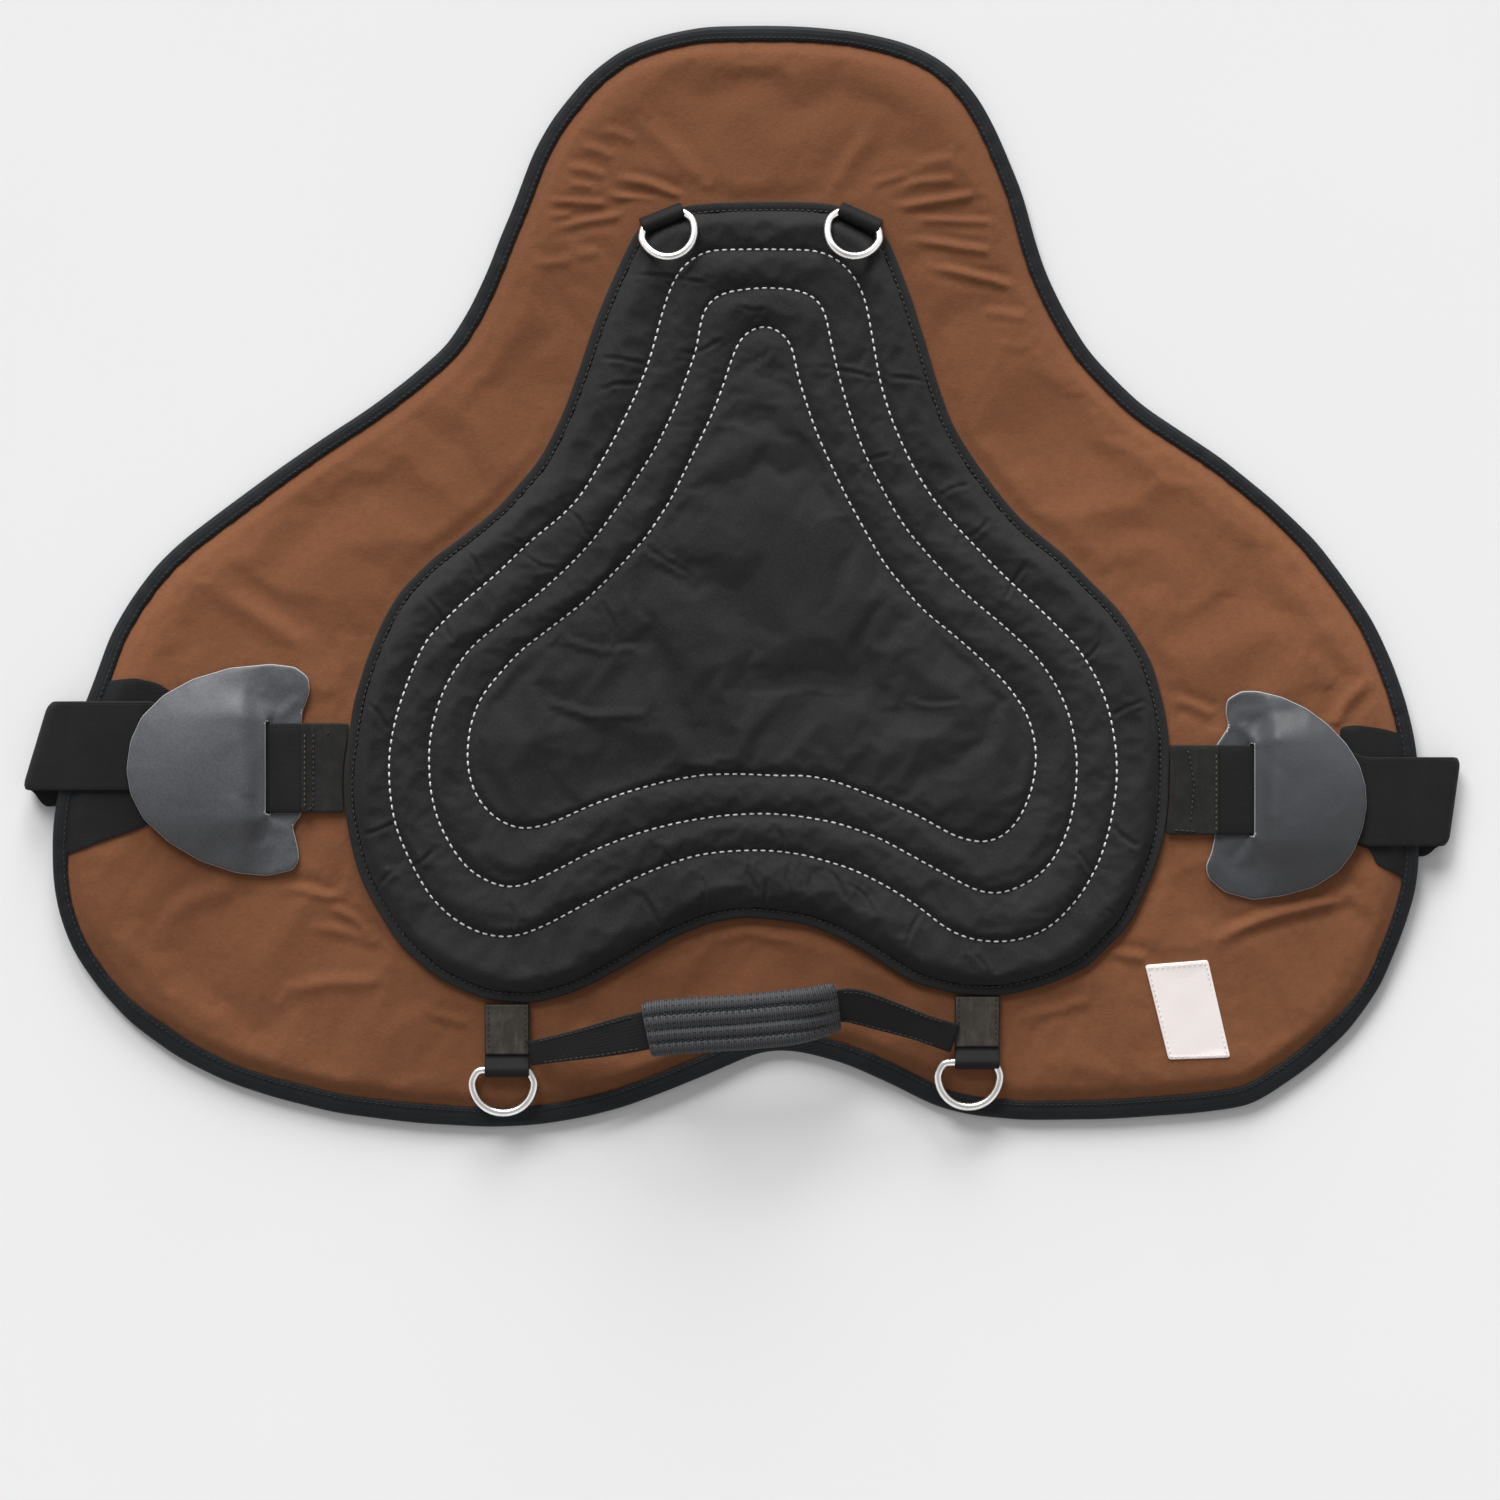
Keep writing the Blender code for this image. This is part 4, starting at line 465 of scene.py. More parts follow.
# Both girths: side, where the webbing starts at the seat, the pad's edge, how far the fold stands out, how
# far the webbing drifts to one side, drop and lean of its fold, and the reach of the leather flap
GIRTHS = {
    name: {
        "side": side,
        "y": JOINTS[f"{name}_guard_lift"]["pos_m"][1],
        "slot": JOINTS[f"{name}_guard_lift"]["pos_m"][0],
        "bar": JOINTS[f"{name}_tongue_swing"]["pos_m"],
        "roller": JOINTS[f"{name}_roller_spin"]["pos_m"],
        "start": start,
        "edge": edge,
        "overhang": overhang,
        "skew": skew,
        "fold_drop": drop,
        "fold_lean": lean,
        "flap_reach": reach,
    }
    for name, side, start, edge, overhang, skew, drop, lean, reach in (
        ("left", 1, 0.2401, 0.3805, 0.0204, -0.0067, -0.0060, 0.14, 0.06495),
        ("right", -1, -0.2217, -0.3810, 0.0150, 0.0123, -0.0095, 0.30, 0.0789),
    )
}


def edge_table(side):
    """The pad's outermost x on one side, at even steps of y."""
    levels = np.linspace(-0.31, 0.31, 311)
    points = PAD_LOOP.points[PAD_LOOP.points[:, 0] * side > 0]
    order = np.argsort(points[:, 1])
    beside = [np.abs(points[order, 1] - y) < 0.003 for y in levels]
    outermost = [(points[order, 0][rows] * side).max() if rows.any() else 0.0 for rows in beside]
    return levels, np.array(outermost) * side


EDGES = {girth["side"]: edge_table(girth["side"]) for girth in GIRTHS.values()}


def edge_at(side, y):
    return np.interp(y, *EDGES[side])


STRAP_RISE = 0.005
BINDING_TOP = 0.0066


def rise(places):
    """How far the underside is lifted over the folded girth straps."""
    total = np.zeros(len(places))
    for girth in GIRTHS.values():
        edge = edge_at(girth["side"], places[:, 1])
        inward = np.maximum(0.0, girth["side"] * (edge - places[:, 0])) / 0.130
        along = np.abs(places[:, 1] - girth["y"]) / 0.150
        total += STRAP_RISE * np.maximum(0, 1 - inward ** 2) ** 2 * np.maximum(0, 1 - along ** 2) ** 2
    return total


def cover_base(places):
    """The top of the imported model's cover."""
    offset = places - PAD_CENTRE
    radius = np.interp(np.arctan2(offset[:, 1], offset[:, 0]), CORE_HEADINGS, CORE_RADII, period=2 * math.pi)
    share = np.clip(np.linalg.norm(offset, axis=1) / radius, 0.0, 1.0)
    return rise(places) + CORE_BOTTOM + COVER_EDGE + COVER_CROWN * (1 - share ** 4)


def close_to(folds, reach):
    """A test for places within reach of the crests, where the mesh has to be fine."""
    tree = search_tree(np.vstack([evenly(crest_line(pixels), 30, closed=False) for *pixels, _, _ in folds]))
    return lambda places: closest(tree, places)[1] < reach


near_folds, near_creases = close_to(COVER_FOLDS, 0.009), close_to(SEAT_CREASES, 0.006)


def away_from(places, shapes):
    """Least distance to capsules given as start, end and radius."""
    best = np.full(len(places), 1.0)
    for start, end, radius in shapes:
        start, end = np.array(start), np.array(end)
        step = end - start
        share = np.clip((places - start) @ step / max(1e-9, step @ step), 0.0, 1.0)
        best = np.minimum(best, np.linalg.norm(places - start - share[:, None] * step, axis=1) - radius)
    return best


def fitting_shapes():
    """Where rigid fittings and webbing lie on the cover."""
    shapes = []
    for girth in GIRTHS.values():
        side, slot, y = girth["side"], girth["slot"], girth["y"]
        shapes.append(((slot, y), (girth["edge"] + side * 0.02, y), 0.032))
        shapes.append(((slot - side * 0.04, y), (slot, y), 0.026))
    for name in ("front_left_ring", "front_right_ring"):
        x, y, _ = JOINTS[f"{name}_swing"]["pos_m"]
        shapes.append(((x, y + 0.035), (x, y - 0.026), 0.020))
    for name in ("rear_left_ring", "rear_right_ring"):
        x, y, _ = JOINTS[f"{name}_swing"]["pos_m"]
        shapes.append(((x - 0.012, y), (x + 0.012, y), 0.010))
    return shapes


FITTINGS = fitting_shapes()
LABEL_LOOP = loop_of(LABEL_PIXELS, 0.0004)

# How far the settled fabrics moved, by name
FIELDS = {}


def settings():
    return bpy.context.scene.bareback_pad


class Spread:
    """Moves worked out on a coarse mesh, carried to any place."""

    def __init__(self, places, moves, reach):
        self.moves = moves
        self.reach = reach
        self.tree = search_tree(places)

    def at(self, places):
        out = np.zeros((len(places), 3))
        for row, (x, y) in enumerate(places):
            found = self.tree.find_n((x, y, 0.0), 6)
            index = [item[1] for item in found]
            weight = np.exp(-(np.array([item[2] for item in found]) / self.reach) ** 2) + 1e-9
            out[row] = (self.moves[index] * weight[:, None]).sum(axis=0) / weight.sum()
        return out


def cover_shape(places):
    """The cover without the settled folds: padding that swells up behind the binding."""
    depth = PAD_LOOP.depth(places)
    base = cover_base(places)
    low = rise(places) + 0.0052
    free = smooth(away_from(places, FITTINGS) / 0.02)
    swell = 0.0017 * np.exp(-((depth - 0.024) / 0.014) ** 2) * (0.35 + 0.65 * free)
    beside_seat = np.exp(-((SEAT_LOOP.depth(places) + 0.002) / 0.006) ** 2)
    level = low + (base + swell - low) * smooth((depth - binding_width(places) + 0.002) / 0.0105) ** 0.8
    level = level - 0.0006 * beside_seat * free
    wander = ripple(places, 0.11, 5) * 0.00045 + ripple(places, 0.045, 6) * 0.00016
    outside = smooth(-SEAT_LOOP.depth(places) / 0.012) * smooth((depth - 0.012) / 0.02)
    folds = crests(places, COVER_FOLDS) * settings().fold_height
    folds *= smooth((depth - 0.008) / 0.008) * smooth(-SEAT_LOOP.depth(places) / 0.004 + 0.2)
    folds *= smooth(away_from(places, FITTINGS) / 0.006)
    return level + wander * outside * free + folds


def cover_level(places):
    """The finished top of the cover."""
    level = cover_shape(places)
    if "cover" in FIELDS:
        level = level + FIELDS["cover"].at(places)[:, 2]
    return level


# Meshes

def plan_mesh(loops, pitch, lines=(), within=None, within_pitch=None, fine=None, fine_pitch=None):
    """Triangles that fill the first loop less the others.

    They're coarse inside the loop within, and fine where the test fine holds. Returns places, triangles
    and each loop's rows.
    """
    outer = loops[0]
    edges_of = [loop.every(pitch) for loop in loops] + list(lines)
    low, high = outer.points.min(axis=0), outer.points.max(axis=0)

    def lattice(step):
        rows = np.arange(low[1], high[1], step * 0.866)
        columns = np.arange(low[0], high[0], step)
        grid = [
            np.stack([columns + (step / 2 if row % 2 else 0.0), np.full(len(columns), y)], axis=1)
            for row, y in enumerate(rows)
        ]
        return np.vstack(grid)

    inner = lattice(pitch)
    inner = inner[outer.depth(inner) > pitch * 0.55]
    if fine is not None:
        close = lattice(fine_pitch)
        close = close[outer.depth(close) > pitch * 0.55]
        inner = np.vstack([inner[~fine(inner)], close[fine(close)]])
    if within is not None:
        inner = inner[within.depth(inner) < 0]
        coarse = lattice(within_pitch)
        inner = np.vstack([inner, coarse[within.depth(coarse) >= 0]])
    for hole in loops[1:]:
        inner = inner[hole.depth(inner) < -pitch * 0.55]
    fixed = np.vstack(edges_of)
    inner = inner[closest(search_tree(fixed), inner)[1] > pitch * 0.5]
    edges, starts, count = [], [], 0
    for number, points in enumerate(edges_of):
        starts.append((count, len(points)))
        closed = number < len(loops) or np.linalg.norm(points[0] - points[-1]) < pitch * 2
        last = len(points) if closed else len(points) - 1
        edges += [(count + step, count + (step + 1) % len(points)) for step in range(last)]
        count += len(points)
    everything = np.vstack([fixed, inner])
    found, _, faces, origin, _, _ = geometry.delaunay_2d_cdt(
        [Vector(point) for point in everything], edges, [], 0, 1e-7, True
    )
    places = np.array([tuple(point) for point in found])
    triangles = np.array([face[:3] for face in faces])
    centres = places[triangles].mean(axis=1)
    keep = outer.depth(centres) > 0
    for hole in loops[1:]:
        keep &= hole.depth(centres) < 0
    triangles = triangles[keep]
    place_of = {}
    for new, olds in enumerate(origin):
        for old in olds:
            place_of[old] = new
    used = np.unique(triangles)
    renumber = np.full(len(places), -1)
    renumber[used] = np.arange(len(used))
    loop_rows = [
        [int(renumber[place_of[start + step]]) for step in range(size)]
        for start, size in starts
    ]
    return places[used], renumber[triangles], loop_rows


def make_mesh(name, corners, faces, finishes, face_finish=None, uv=None):
    """A closed mesh object, its faces turned outwards."""
    corners = np.asarray(corners, dtype=float)
    volume = 0.0
    for face in faces:
        first = corners[face[0]]
        for second, third in zip(face[1:-1], face[2:]):
            volume += float(np.dot(first, np.cross(corners[second], corners[third])))
    faces = [tuple(face) for face in faces]
    if volume < 0:
        faces = [face[::-1] for face in faces]
    mesh = bpy.data.meshes.new(name)
    mesh.from_pydata([tuple(corner) for corner in corners], [], faces)
    for finish in finishes:
        mesh.materials.append(finish)
    if face_finish is not None:
        mesh.polygons.foreach_set("material_index", np.asarray(face_finish, dtype=np.int32))
    layer = mesh.uv_layers.new(name="plan")
    rows = np.zeros(len(mesh.loops), dtype=np.int32)
    mesh.loops.foreach_get("vertex_index", rows)
    table = corners[:, :2] if uv is None else np.asarray(uv, dtype=float)
    layer.data.foreach_set("uv", table[rows].ravel())
    mesh.shade_smooth()
    mesh.update()
    piece = bpy.data.objects.new(name, mesh)
    bpy.context.scene.collection.objects.link(piece)
    return piece


def slab(name, loops, top, bottom, pitch, finishes, lines=(), rounding=0.0, rim_finish=None, coarse=None,
         within=None, within_pitch=None, fine=None, fine_pitch=None):
    """A laid piece between two height functions, with its rims rounded. Its underside may be coarse."""
    lines, rims = list(lines), []
    if rounding:
        for number, loop in enumerate(loops):
            inward = 1 if number == 0 else -1
            rims += [loop.moved_in(inward * rounding * share, pitch).points for share in (0.35, 1.0)]
    upper, upper_faces, upper_rows = plan_mesh(
        loops, pitch, lines + rims, within, within_pitch, fine, fine_pitch
    )
    if coarse:
        within, within_pitch = loops[0].moved_in(pitch * 3), coarse
    lower, lower_faces, lower_rows = plan_mesh(loops, pitch, rims, within, within_pitch)

    def eased(places, level, toward):
        if not rounding:
            return level
        drop = np.zeros(len(places))
        for number, loop in enumerate(loops):
            depth = np.abs(loop.depth(places))
            drop = np.maximum(drop, rounding * (1 - np.sqrt(1 - np.clip(1 - depth / rounding, 0, 1) ** 2)))
        return level + toward * np.minimum(drop, rounding)

    high = eased(upper, top(upper), -1)
    low = eased(lower, bottom(lower), 1)
    corners = np.vstack([np.column_stack([upper, high]), np.column_stack([lower, low])])
    shift = len(upper)
    faces = [tuple(face) for face in upper_faces]
    faces += [tuple(int(corner) + shift for corner in face[::-1]) for face in lower_faces]
    marks = [0] * len(faces)
    if rim_finish is not None:
        middles = upper[upper_faces].mean(axis=1)
        near = np.min([np.abs(loop.depth(middles)) for loop in loops], axis=0) < rounding * 0.55
        marks[:len(upper_faces)] = [int(mark) for mark in near]
    for number in range(len(loops)):
        above, below = upper_rows[number], lower_rows[number]
        for step in range(len(above)):
            after = (step + 1) % len(above)
            wall = (above[step], below[step] + shift, below[after] + shift, above[after])
            faces.append(wall if number == 0 else wall[::-1])
            marks.append(1 if rim_finish is not None else 0)
    if rim_finish is not None:
        finishes = list(finishes) + [rim_finish]
    return make_mesh(name, corners, faces, finishes, marks)


def grid_faces(stations, around, base=0, closed=False):
    """Quads of rings joined one to the next, and the last to the first if closed."""
    faces = []
    for station in range(stations if closed else stations - 1):
        here, after = base + station * around, base + (station + 1) % stations * around
        for point in range(around):
            other = (point + 1) % around
            faces.append((here + point, here + other, after + other, after + point))
    return faces


def sweep(name, centres, sides, ups, profile, finishes, closed=False):
    """A closed profile carried along a path. A profile may change from station to station."""
    centres, sides, ups = (np.asarray(item, dtype=float) for item in (centres, sides, ups))
    profile = np.asarray(profile, dtype=float)
    if profile.ndim == 2:
        profile = np.repeat(profile[None], len(centres), axis=0)
    stations, around = profile.shape[:2]
    corners = centres[:, None] + profile[:, :, :1] * sides[:, None] + profile[:, :, 1:] * ups[:, None]
    corners = corners.reshape(-1, 3)
    faces = grid_faces(stations, around, closed=closed)
    runs, ring = runs_of(centres), runs_of(profile[0])
    uv = np.stack([np.repeat(runs, around), np.tile(ring, stations)], axis=1)
    if not closed:
        for station in (0, stations - 1):
            middle = len(corners)
            corners = np.vstack([corners, corners[station * around:(station + 1) * around].mean(axis=0)])
            uv = np.vstack([uv, [runs[station], ring.mean()]])
            for point in range(around):
                other = (point + 1) % around
                face = (middle, station * around + other, station * around + point)
                faces.append(face if station == 0 else face[::-1])
    return make_mesh(name, corners, faces, finishes, uv=uv)


def tape_profile(width, thickness, steps=8):
    """A flat section with round edges."""
    half, radius = width / 2 - thickness / 2, thickness / 2
    points = []
    for way, degrees in ((1, (60, 30, 0, -30, -60)), (-1, (-120, -150, 180, 150, 120))):
        points += [(share * half, way * radius) for share in np.linspace(-way, way, steps + 1)]
        for angle in np.radians(degrees):
            points.append((way * half + radius * math.cos(angle), radius * math.sin(angle)))
    return np.array(points)


def unit(rows):
    return rows / np.linalg.norm(rows, axis=1)[:, None]


def strap(name, path, across, width, thickness, finish):
    """Flat webbing along a path; across is the direction of its width."""
    along = unit(np.gradient(path, axis=0))
    sides = np.repeat(across[None], len(path), axis=0)
    ups = unit(np.cross(along, sides))
    return sweep(name, path, sides, ups, tape_profile(width, thickness), [finish])


def tube(name, path, radius, finish, around, normal):
    """Round wire along a closed path that lies flat across its normal."""
    along = unit(np.roll(path, -1, axis=0) - np.roll(path, 1, axis=0))
    sides = unit(np.cross(along, normal))
    ups = unit(np.cross(sides, along))
    angles = np.linspace(0, 2 * math.pi, around, endpoint=False)
    profile = np.stack([np.cos(angles), np.sin(angles)], axis=1) * radius
    return sweep(name, path, sides, ups, profile, [finish], closed=True)


def stitches(name, line, ups, finish, closed=True, pitch=0.0034, share=0.76, radius=0.00032, sink=0.0003):
    """Separate stitches along a line on a surface; each dips into the cloth at both ends."""
    line, ups = np.asarray(line, dtype=float), np.asarray(ups, dtype=float)
    count = max(2, round(length_of(line, closed) / pitch))
    both = np.hstack([line, ups])
    dense = evenly(both, count * 8, closed, 3)
    around, stations = 6, 7
    angles = np.linspace(0, 2 * math.pi, around, endpoint=False)
    corners, faces, base = [], [], 0
    for number in range(count if closed else count - 1):
        at = number * 8 + np.linspace(0, 8 * share, stations)
        index = np.floor(at).astype(int)
        part = (at - index)[:, None]
        rows = dense[index % len(dense)] * (1 - part) + dense[(index + 1) % len(dense)] * part
        centre, up = rows[:, :3], unit(rows[:, 3:])
        along = unit(np.gradient(centre, axis=0))
        side = unit(np.cross(along, up))
        t = np.linspace(-1, 1, stations)
        lift = radius * 0.75 - (sink + radius) * t ** 4
        fat = radius * np.sqrt(np.clip(1.0 - 0.75 * t ** 6, 0.1, 1))
        centre = centre + up * lift[:, None]
        ring = centre[:, None] + side[:, None] * (np.cos(angles)[None, :, None] * fat[:, None, None] * 1.15)
        ring = ring + up[:, None] * (np.sin(angles)[None, :, None] * fat[:, None, None])
        corners.append(ring.reshape(-1, 3))
        faces += grid_faces(stations, around, base)
        faces.append(tuple(base + point for point in range(around))[::-1])
        faces.append(tuple(base + (stations - 1) * around + point for point in range(around)))
        base += stations * around
    return make_mesh(name, np.vstack(corners), faces, [finish])


def settle(name, places, triangles, levels, held, slack, pressure, bend, frames):
    """Let a coarse cloth pucker between its held lines, and return how far each point moved."""
    scene = bpy.context.scene
    mesh = bpy.data.meshes.new(name)
    corners = np.column_stack([places, levels])
    mesh.from_pydata([tuple(corner) for corner in corners], [], [tuple(map(int, face)) for face in triangles])
    cloth = bpy.data.objects.new(name, mesh)
    scene.collection.objects.link(cloth)
    group = cloth.vertex_groups.new(name="held")
    for weight in np.unique(np.round(held, 2)):
        rows = np.where(np.round(held, 2) == weight)[0]
        group.add([int(row) for row in rows], float(weight), "REPLACE")
    modifier = cloth.modifiers.new("Cloth", "CLOTH")
    fabric = {
        "quality": 6, "mass": 0.25, "air_damping": 2.0,
        "tension_stiffness": 22, "compression_stiffness": 22, "shear_stiffness": 12,
        "bending_stiffness": bend, "tension_damping": 8, "compression_damping": 8, "shear_damping": 8,
        "bending_damping": 1.0,
        "vertex_group_mass": "held", "pin_stiffness": 1.0, "shrink_min": -slack,
        "use_pressure": True, "uniform_pressure_force": pressure,
    }
    for key, value in fabric.items():
        setattr(modifier.settings, key, value)
    modifier.settings.effector_weights.gravity = 0.0
    modifier.collision_settings.use_collision = False
    modifier.collision_settings.use_self_collision = False
    modifier.point_cache.frame_start = 1
    modifier.point_cache.frame_end = frames
    for number in range(1, frames + 1):
        scene.frame_set(number)
    shaped = cloth.evaluated_get(bpy.context.evaluated_depsgraph_get())
    moved = np.zeros(len(corners) * 3)
    shaped.data.vertices.foreach_get("co", moved)
    moved = moved.reshape(-1, 3)
    bpy.data.objects.remove(cloth, do_unlink=True)
    bpy.data.meshes.remove(mesh)
    scene.frame_set(1)
    return moved - corners


# Finishes

class Recipe:
    """Builds one procedural finish. Colours are linear."""

    def __init__(self, name, colour, roughness, metallic=0.0, sheen=0.0, gloss=0.5):
        self.material = bpy.data.materials.new(name)
        self.material.use_nodes = True
        self.material.diffuse_color = (*colour, 1.0)
        self.tree = self.material.node_tree
        self.shader = next(node for node in self.tree.nodes if node.type == "BSDF_PRINCIPLED")
        constants = {
            "Base Color": (*colour, 1.0), "Roughness": roughness, "Metallic": metallic, "Sheen Weight": sheen,
            "Specular IOR Level": gloss, "Sheen Roughness": 0.55,
            "Sheen Tint": (*[min(1.0, part * 3 + 0.25) for part in colour], 1.0),
        }
        for socket, value in constants.items():
            self.shader.inputs[socket].default_value = value
        self.places = self.tree.nodes.new("ShaderNodeTexCoord")
        self.surface = None

    def node(self, kind, inputs=(), **settings):
        made = self.tree.nodes.new(kind)
        for key, value in settings.items():
            setattr(made, key, value)
        for key, value in dict(inputs).items():
            if isinstance(value, bpy.types.NodeSocket):
                self.tree.links.new(value, made.inputs[key])
            else:
                made.inputs[key].default_value = value
        return made

    def along(self, axis):
        """The place along one axis, in metres."""
        return self.node("ShaderNodeSeparateXYZ", {"Vector": self.places.outputs["Object"]}).outputs[axis]

    def stretched(self, scale, turn=0.0):
        made = self.node("ShaderNodeMapping", {
            "Vector": self.places.outputs["Object"], "Scale": scale, "Rotation": (0.0, 0.0, turn),
        })
        return made.outputs["Vector"]

    def noise(self, scale, detail=3.0, roughness=0.55, place=None):
        made = self.node("ShaderNodeTexNoise", {
            "Vector": place or self.places.outputs["Object"],
            "Scale": scale, "Detail": detail, "Roughness": roughness,
        })
        return made.outputs["Fac"]

    def bands(self, period, place=None, direction="X"):
        """Sine bands of a real period in metres."""
        made = self.node("ShaderNodeTexWave", {
            "Vector": place or self.places.outputs["UV"], "Scale": 0.314 / period,
        }, wave_type="BANDS", bands_direction=direction, wave_profile="SIN")
        return made.outputs["Fac"]

    def cells(self, scale):
        made = self.node("ShaderNodeTexVoronoi", {"Vector": self.places.outputs["Object"], "Scale": scale})
        return made.outputs["Distance"]

    def ranged(self, value, low, high, to_low=0.0, to_high=1.0):
        made = self.node("ShaderNodeMapRange", {
            "Value": value, "From Min": low, "From Max": high, "To Min": to_low, "To Max": to_high,
        })
        return made.outputs["Result"]

    def sums(self, first, second, operation="ADD"):
        made = self.node("ShaderNodeMath", {0: first, 1: second}, operation=operation)
        return made.outputs["Value"]

    def blend(self, factor, first, second):
        made = self.node("ShaderNodeMix", {"Factor": factor}, data_type="RGBA")
        for key, value in ((6, first), (7, second)):
            if isinstance(value, bpy.types.NodeSocket):
                self.tree.links.new(value, made.inputs[key])
            else:
                made.inputs[key].default_value = (*value, 1.0)
        return made.outputs[2]

    def coloured(self, socket):
        self.tree.links.new(socket, self.shader.inputs["Base Color"])

    def roughened(self, socket):
        self.tree.links.new(socket, self.shader.inputs["Roughness"])

    def bumped(self, height, strength, distance):
        made = self.node("ShaderNodeBump", {"Height": height, "Strength": strength, "Distance": distance})
        if self.surface:
            self.tree.links.new(self.surface, made.inputs["Normal"])
        self.surface = made.outputs["Normal"]
        self.tree.links.new(self.surface, self.shader.inputs["Normal"])


def shade(colour, factor):
    return tuple(part * factor for part in colour)


def suede():
    brown = tuple(settings().cover_colour)
    made = Recipe("Brown Suede", brown, 0.93, sheen=0.10, gloss=0.12)
    cast = made.ranged(made.noise(4.5, 3.0, 0.6), 0.35, 0.65, 0.0, 0.50)
    blotch = made.ranged(made.noise(9.0, 4.0, 0.6), 0.36, 0.66)
    mottle = made.ranged(made.noise(210.0, 5.0, 0.75), 0.34, 0.66)
    nap = made.noise(420.0, 3.0, 0.7, made.stretched((1.0, 2.6, 1.0), turn=0.5))
    colour = made.blend(blotch, shade(brown, 0.90), shade(brown, 1.20))
    colour = made.blend(cast, colour, shade(brown, 0.70))
    # Painted light and shade: the cover is lighter towards both sides, most towards +X, and darker in the
    # middle towards the rear.
    sideways = made.sums(made.sums(made.along("X"), 0.0, "ABSOLUTE"), 1.4, "MULTIPLY")
    sideways = made.sums(sideways, made.sums(made.along("X"), 0.5, "MULTIPLY"))
    rear = made.ranged(made.along("Y"), -0.12, 0.04)
    painted_shade = made.sums(made.ranged(sideways, 0.0, 0.45, 0.52, 0.0), rear, "MULTIPLY")
    colour = made.blend(painted_shade, colour, shade(brown, 0.62))
    colour = made.blend(made.ranged(sideways, 0.25, 0.60, 0.0, 0.35), colour, shade(brown, 1.35))
    colour = made.blend(made.ranged(mottle, 0.0, 1.0, 0.0, 0.55), colour, shade(brown, 0.74))
    colour = made.blend(made.ranged(nap, 0.35, 0.7, 0.0, 0.35), colour, shade(brown, 1.35))
    made.coloured(colour)
    made.bumped(made.noise(1500.0, 2.0, 0.7), 0.35, 0.0004)
    made.bumped(made.noise(160.0, 4.0, 0.6), 0.40, 0.0008)
    return made.material


def nubuck():
    black = tuple(settings().seat_colour)
    made = Recipe("Black Nubuck", black, 0.86, sheen=0.05, gloss=0.16)
    blotch = made.ranged(made.noise(14.0, 4.0, 0.6), 0.36, 0.66)
    grain = made.noise(900.0, 3.0, 0.7)
    colour = made.blend(blotch, shade(black, 0.84), shade(black, 1.18))
    colour = made.blend(made.ranged(grain, 0.45, 0.75, 0.0, 0.55), colour, shade(black, 2.1))
    made.coloured(colour)
    made.roughened(made.ranged(made.noise(30.0), 0.3, 0.7, 0.78, 0.92))
    made.bumped(made.noise(1400.0, 2.0, 0.7), 0.45, 0.0004)
    made.bumped(made.noise(190.0, 4.0, 0.65), 0.30, 0.0006)
    return made.material


def woven(name, colour, across, along, roughness=0.72, sheen=0.03, strength=0.5, gloss=0.14):
    """Cloth with ribs along and across a strip."""
    made = Recipe(name, colour, roughness, sheen=sheen, gloss=gloss)
    ribs = made.bands(along, direction="X")
    yarns = made.bands(across, direction="Y")
    weave = made.sums(ribs, yarns, "MULTIPLY")
    fuzz = made.noise(700.0, 3.0, 0.7)
    tone = made.blend(made.ranged(made.noise(25.0, 3.0), 0.35, 0.65), shade(colour, 0.8), shade(colour, 1.25))
    # Painted shade: the hollows between the yarns are darkened.
    tone = made.blend(made.ranged(weave, 0.0, 1.0, 0.55, 0.0), tone, shade(colour, 0.45))
    tone = made.blend(made.ranged(fuzz, 0.5, 0.8, 0.0, 0.3), tone, shade(colour, 2.2))
    made.coloured(tone)
    made.bumped(weave, strength, 0.0004)
    return made.material


def leather():
    colour = tuple(settings().leather_colour)
    made = Recipe("Grey Leather", colour, 0.50, gloss=0.30)
    grain = made.cells(620.0)
    patches = made.ranged(made.noise(16.0, 4.0, 0.6), 0.35, 0.68)
    tone = made.blend(patches, shade(colour, 0.86), shade(colour, 1.14))
    # Painted light and shade: the guard towards -X is painted lighter and the guard towards +X darker.
    tone = made.blend(made.ranged(made.along("X"), 0.0, 0.3, 0.0, 0.5), tone, shade(colour, 0.64))
    tone = made.blend(made.ranged(made.along("X"), -0.3, 0.0, 0.5, 0.0), tone, shade(colour, 1.44))
    tone = made.blend(made.ranged(grain, 0.25, 0.75, 0.0, 0.30), tone, shade(colour, 0.55))
    scuffs = made.ranged(made.noise(230.0, 5.0, 0.8), 0.62, 0.8, 0.0, 0.35)
    tone = made.blend(scuffs, tone, shade(colour, 2.0))
    made.coloured(tone)
    made.roughened(made.ranged(made.noise(40.0, 4.0), 0.3, 0.7, 0.46, 0.60))
    made.bumped(grain, 0.16, 0.0003)
    made.bumped(made.noise(60.0, 3.0), 0.08, 0.0008)
    return made.material


# The raw cut edge of the leather, painted pale as the highlight that runs along the rims of the guards.
def cut_edge_and_highlight():
    colour = (0.36, 0.365, 0.375)
    made = Recipe("Cut Edge And Painted Highlight", colour, 0.7)
    fibres = made.noise(800.0, 3.0, 0.7, made.stretched((1.0, 1.0, 5.0)))
    made.coloured(made.blend(made.ranged(fibres, 0.3, 0.7), shade(colour, 0.6), shade(colour, 1.3)))
    made.bumped(fibres, 0.4, 0.0004)
    return made.material


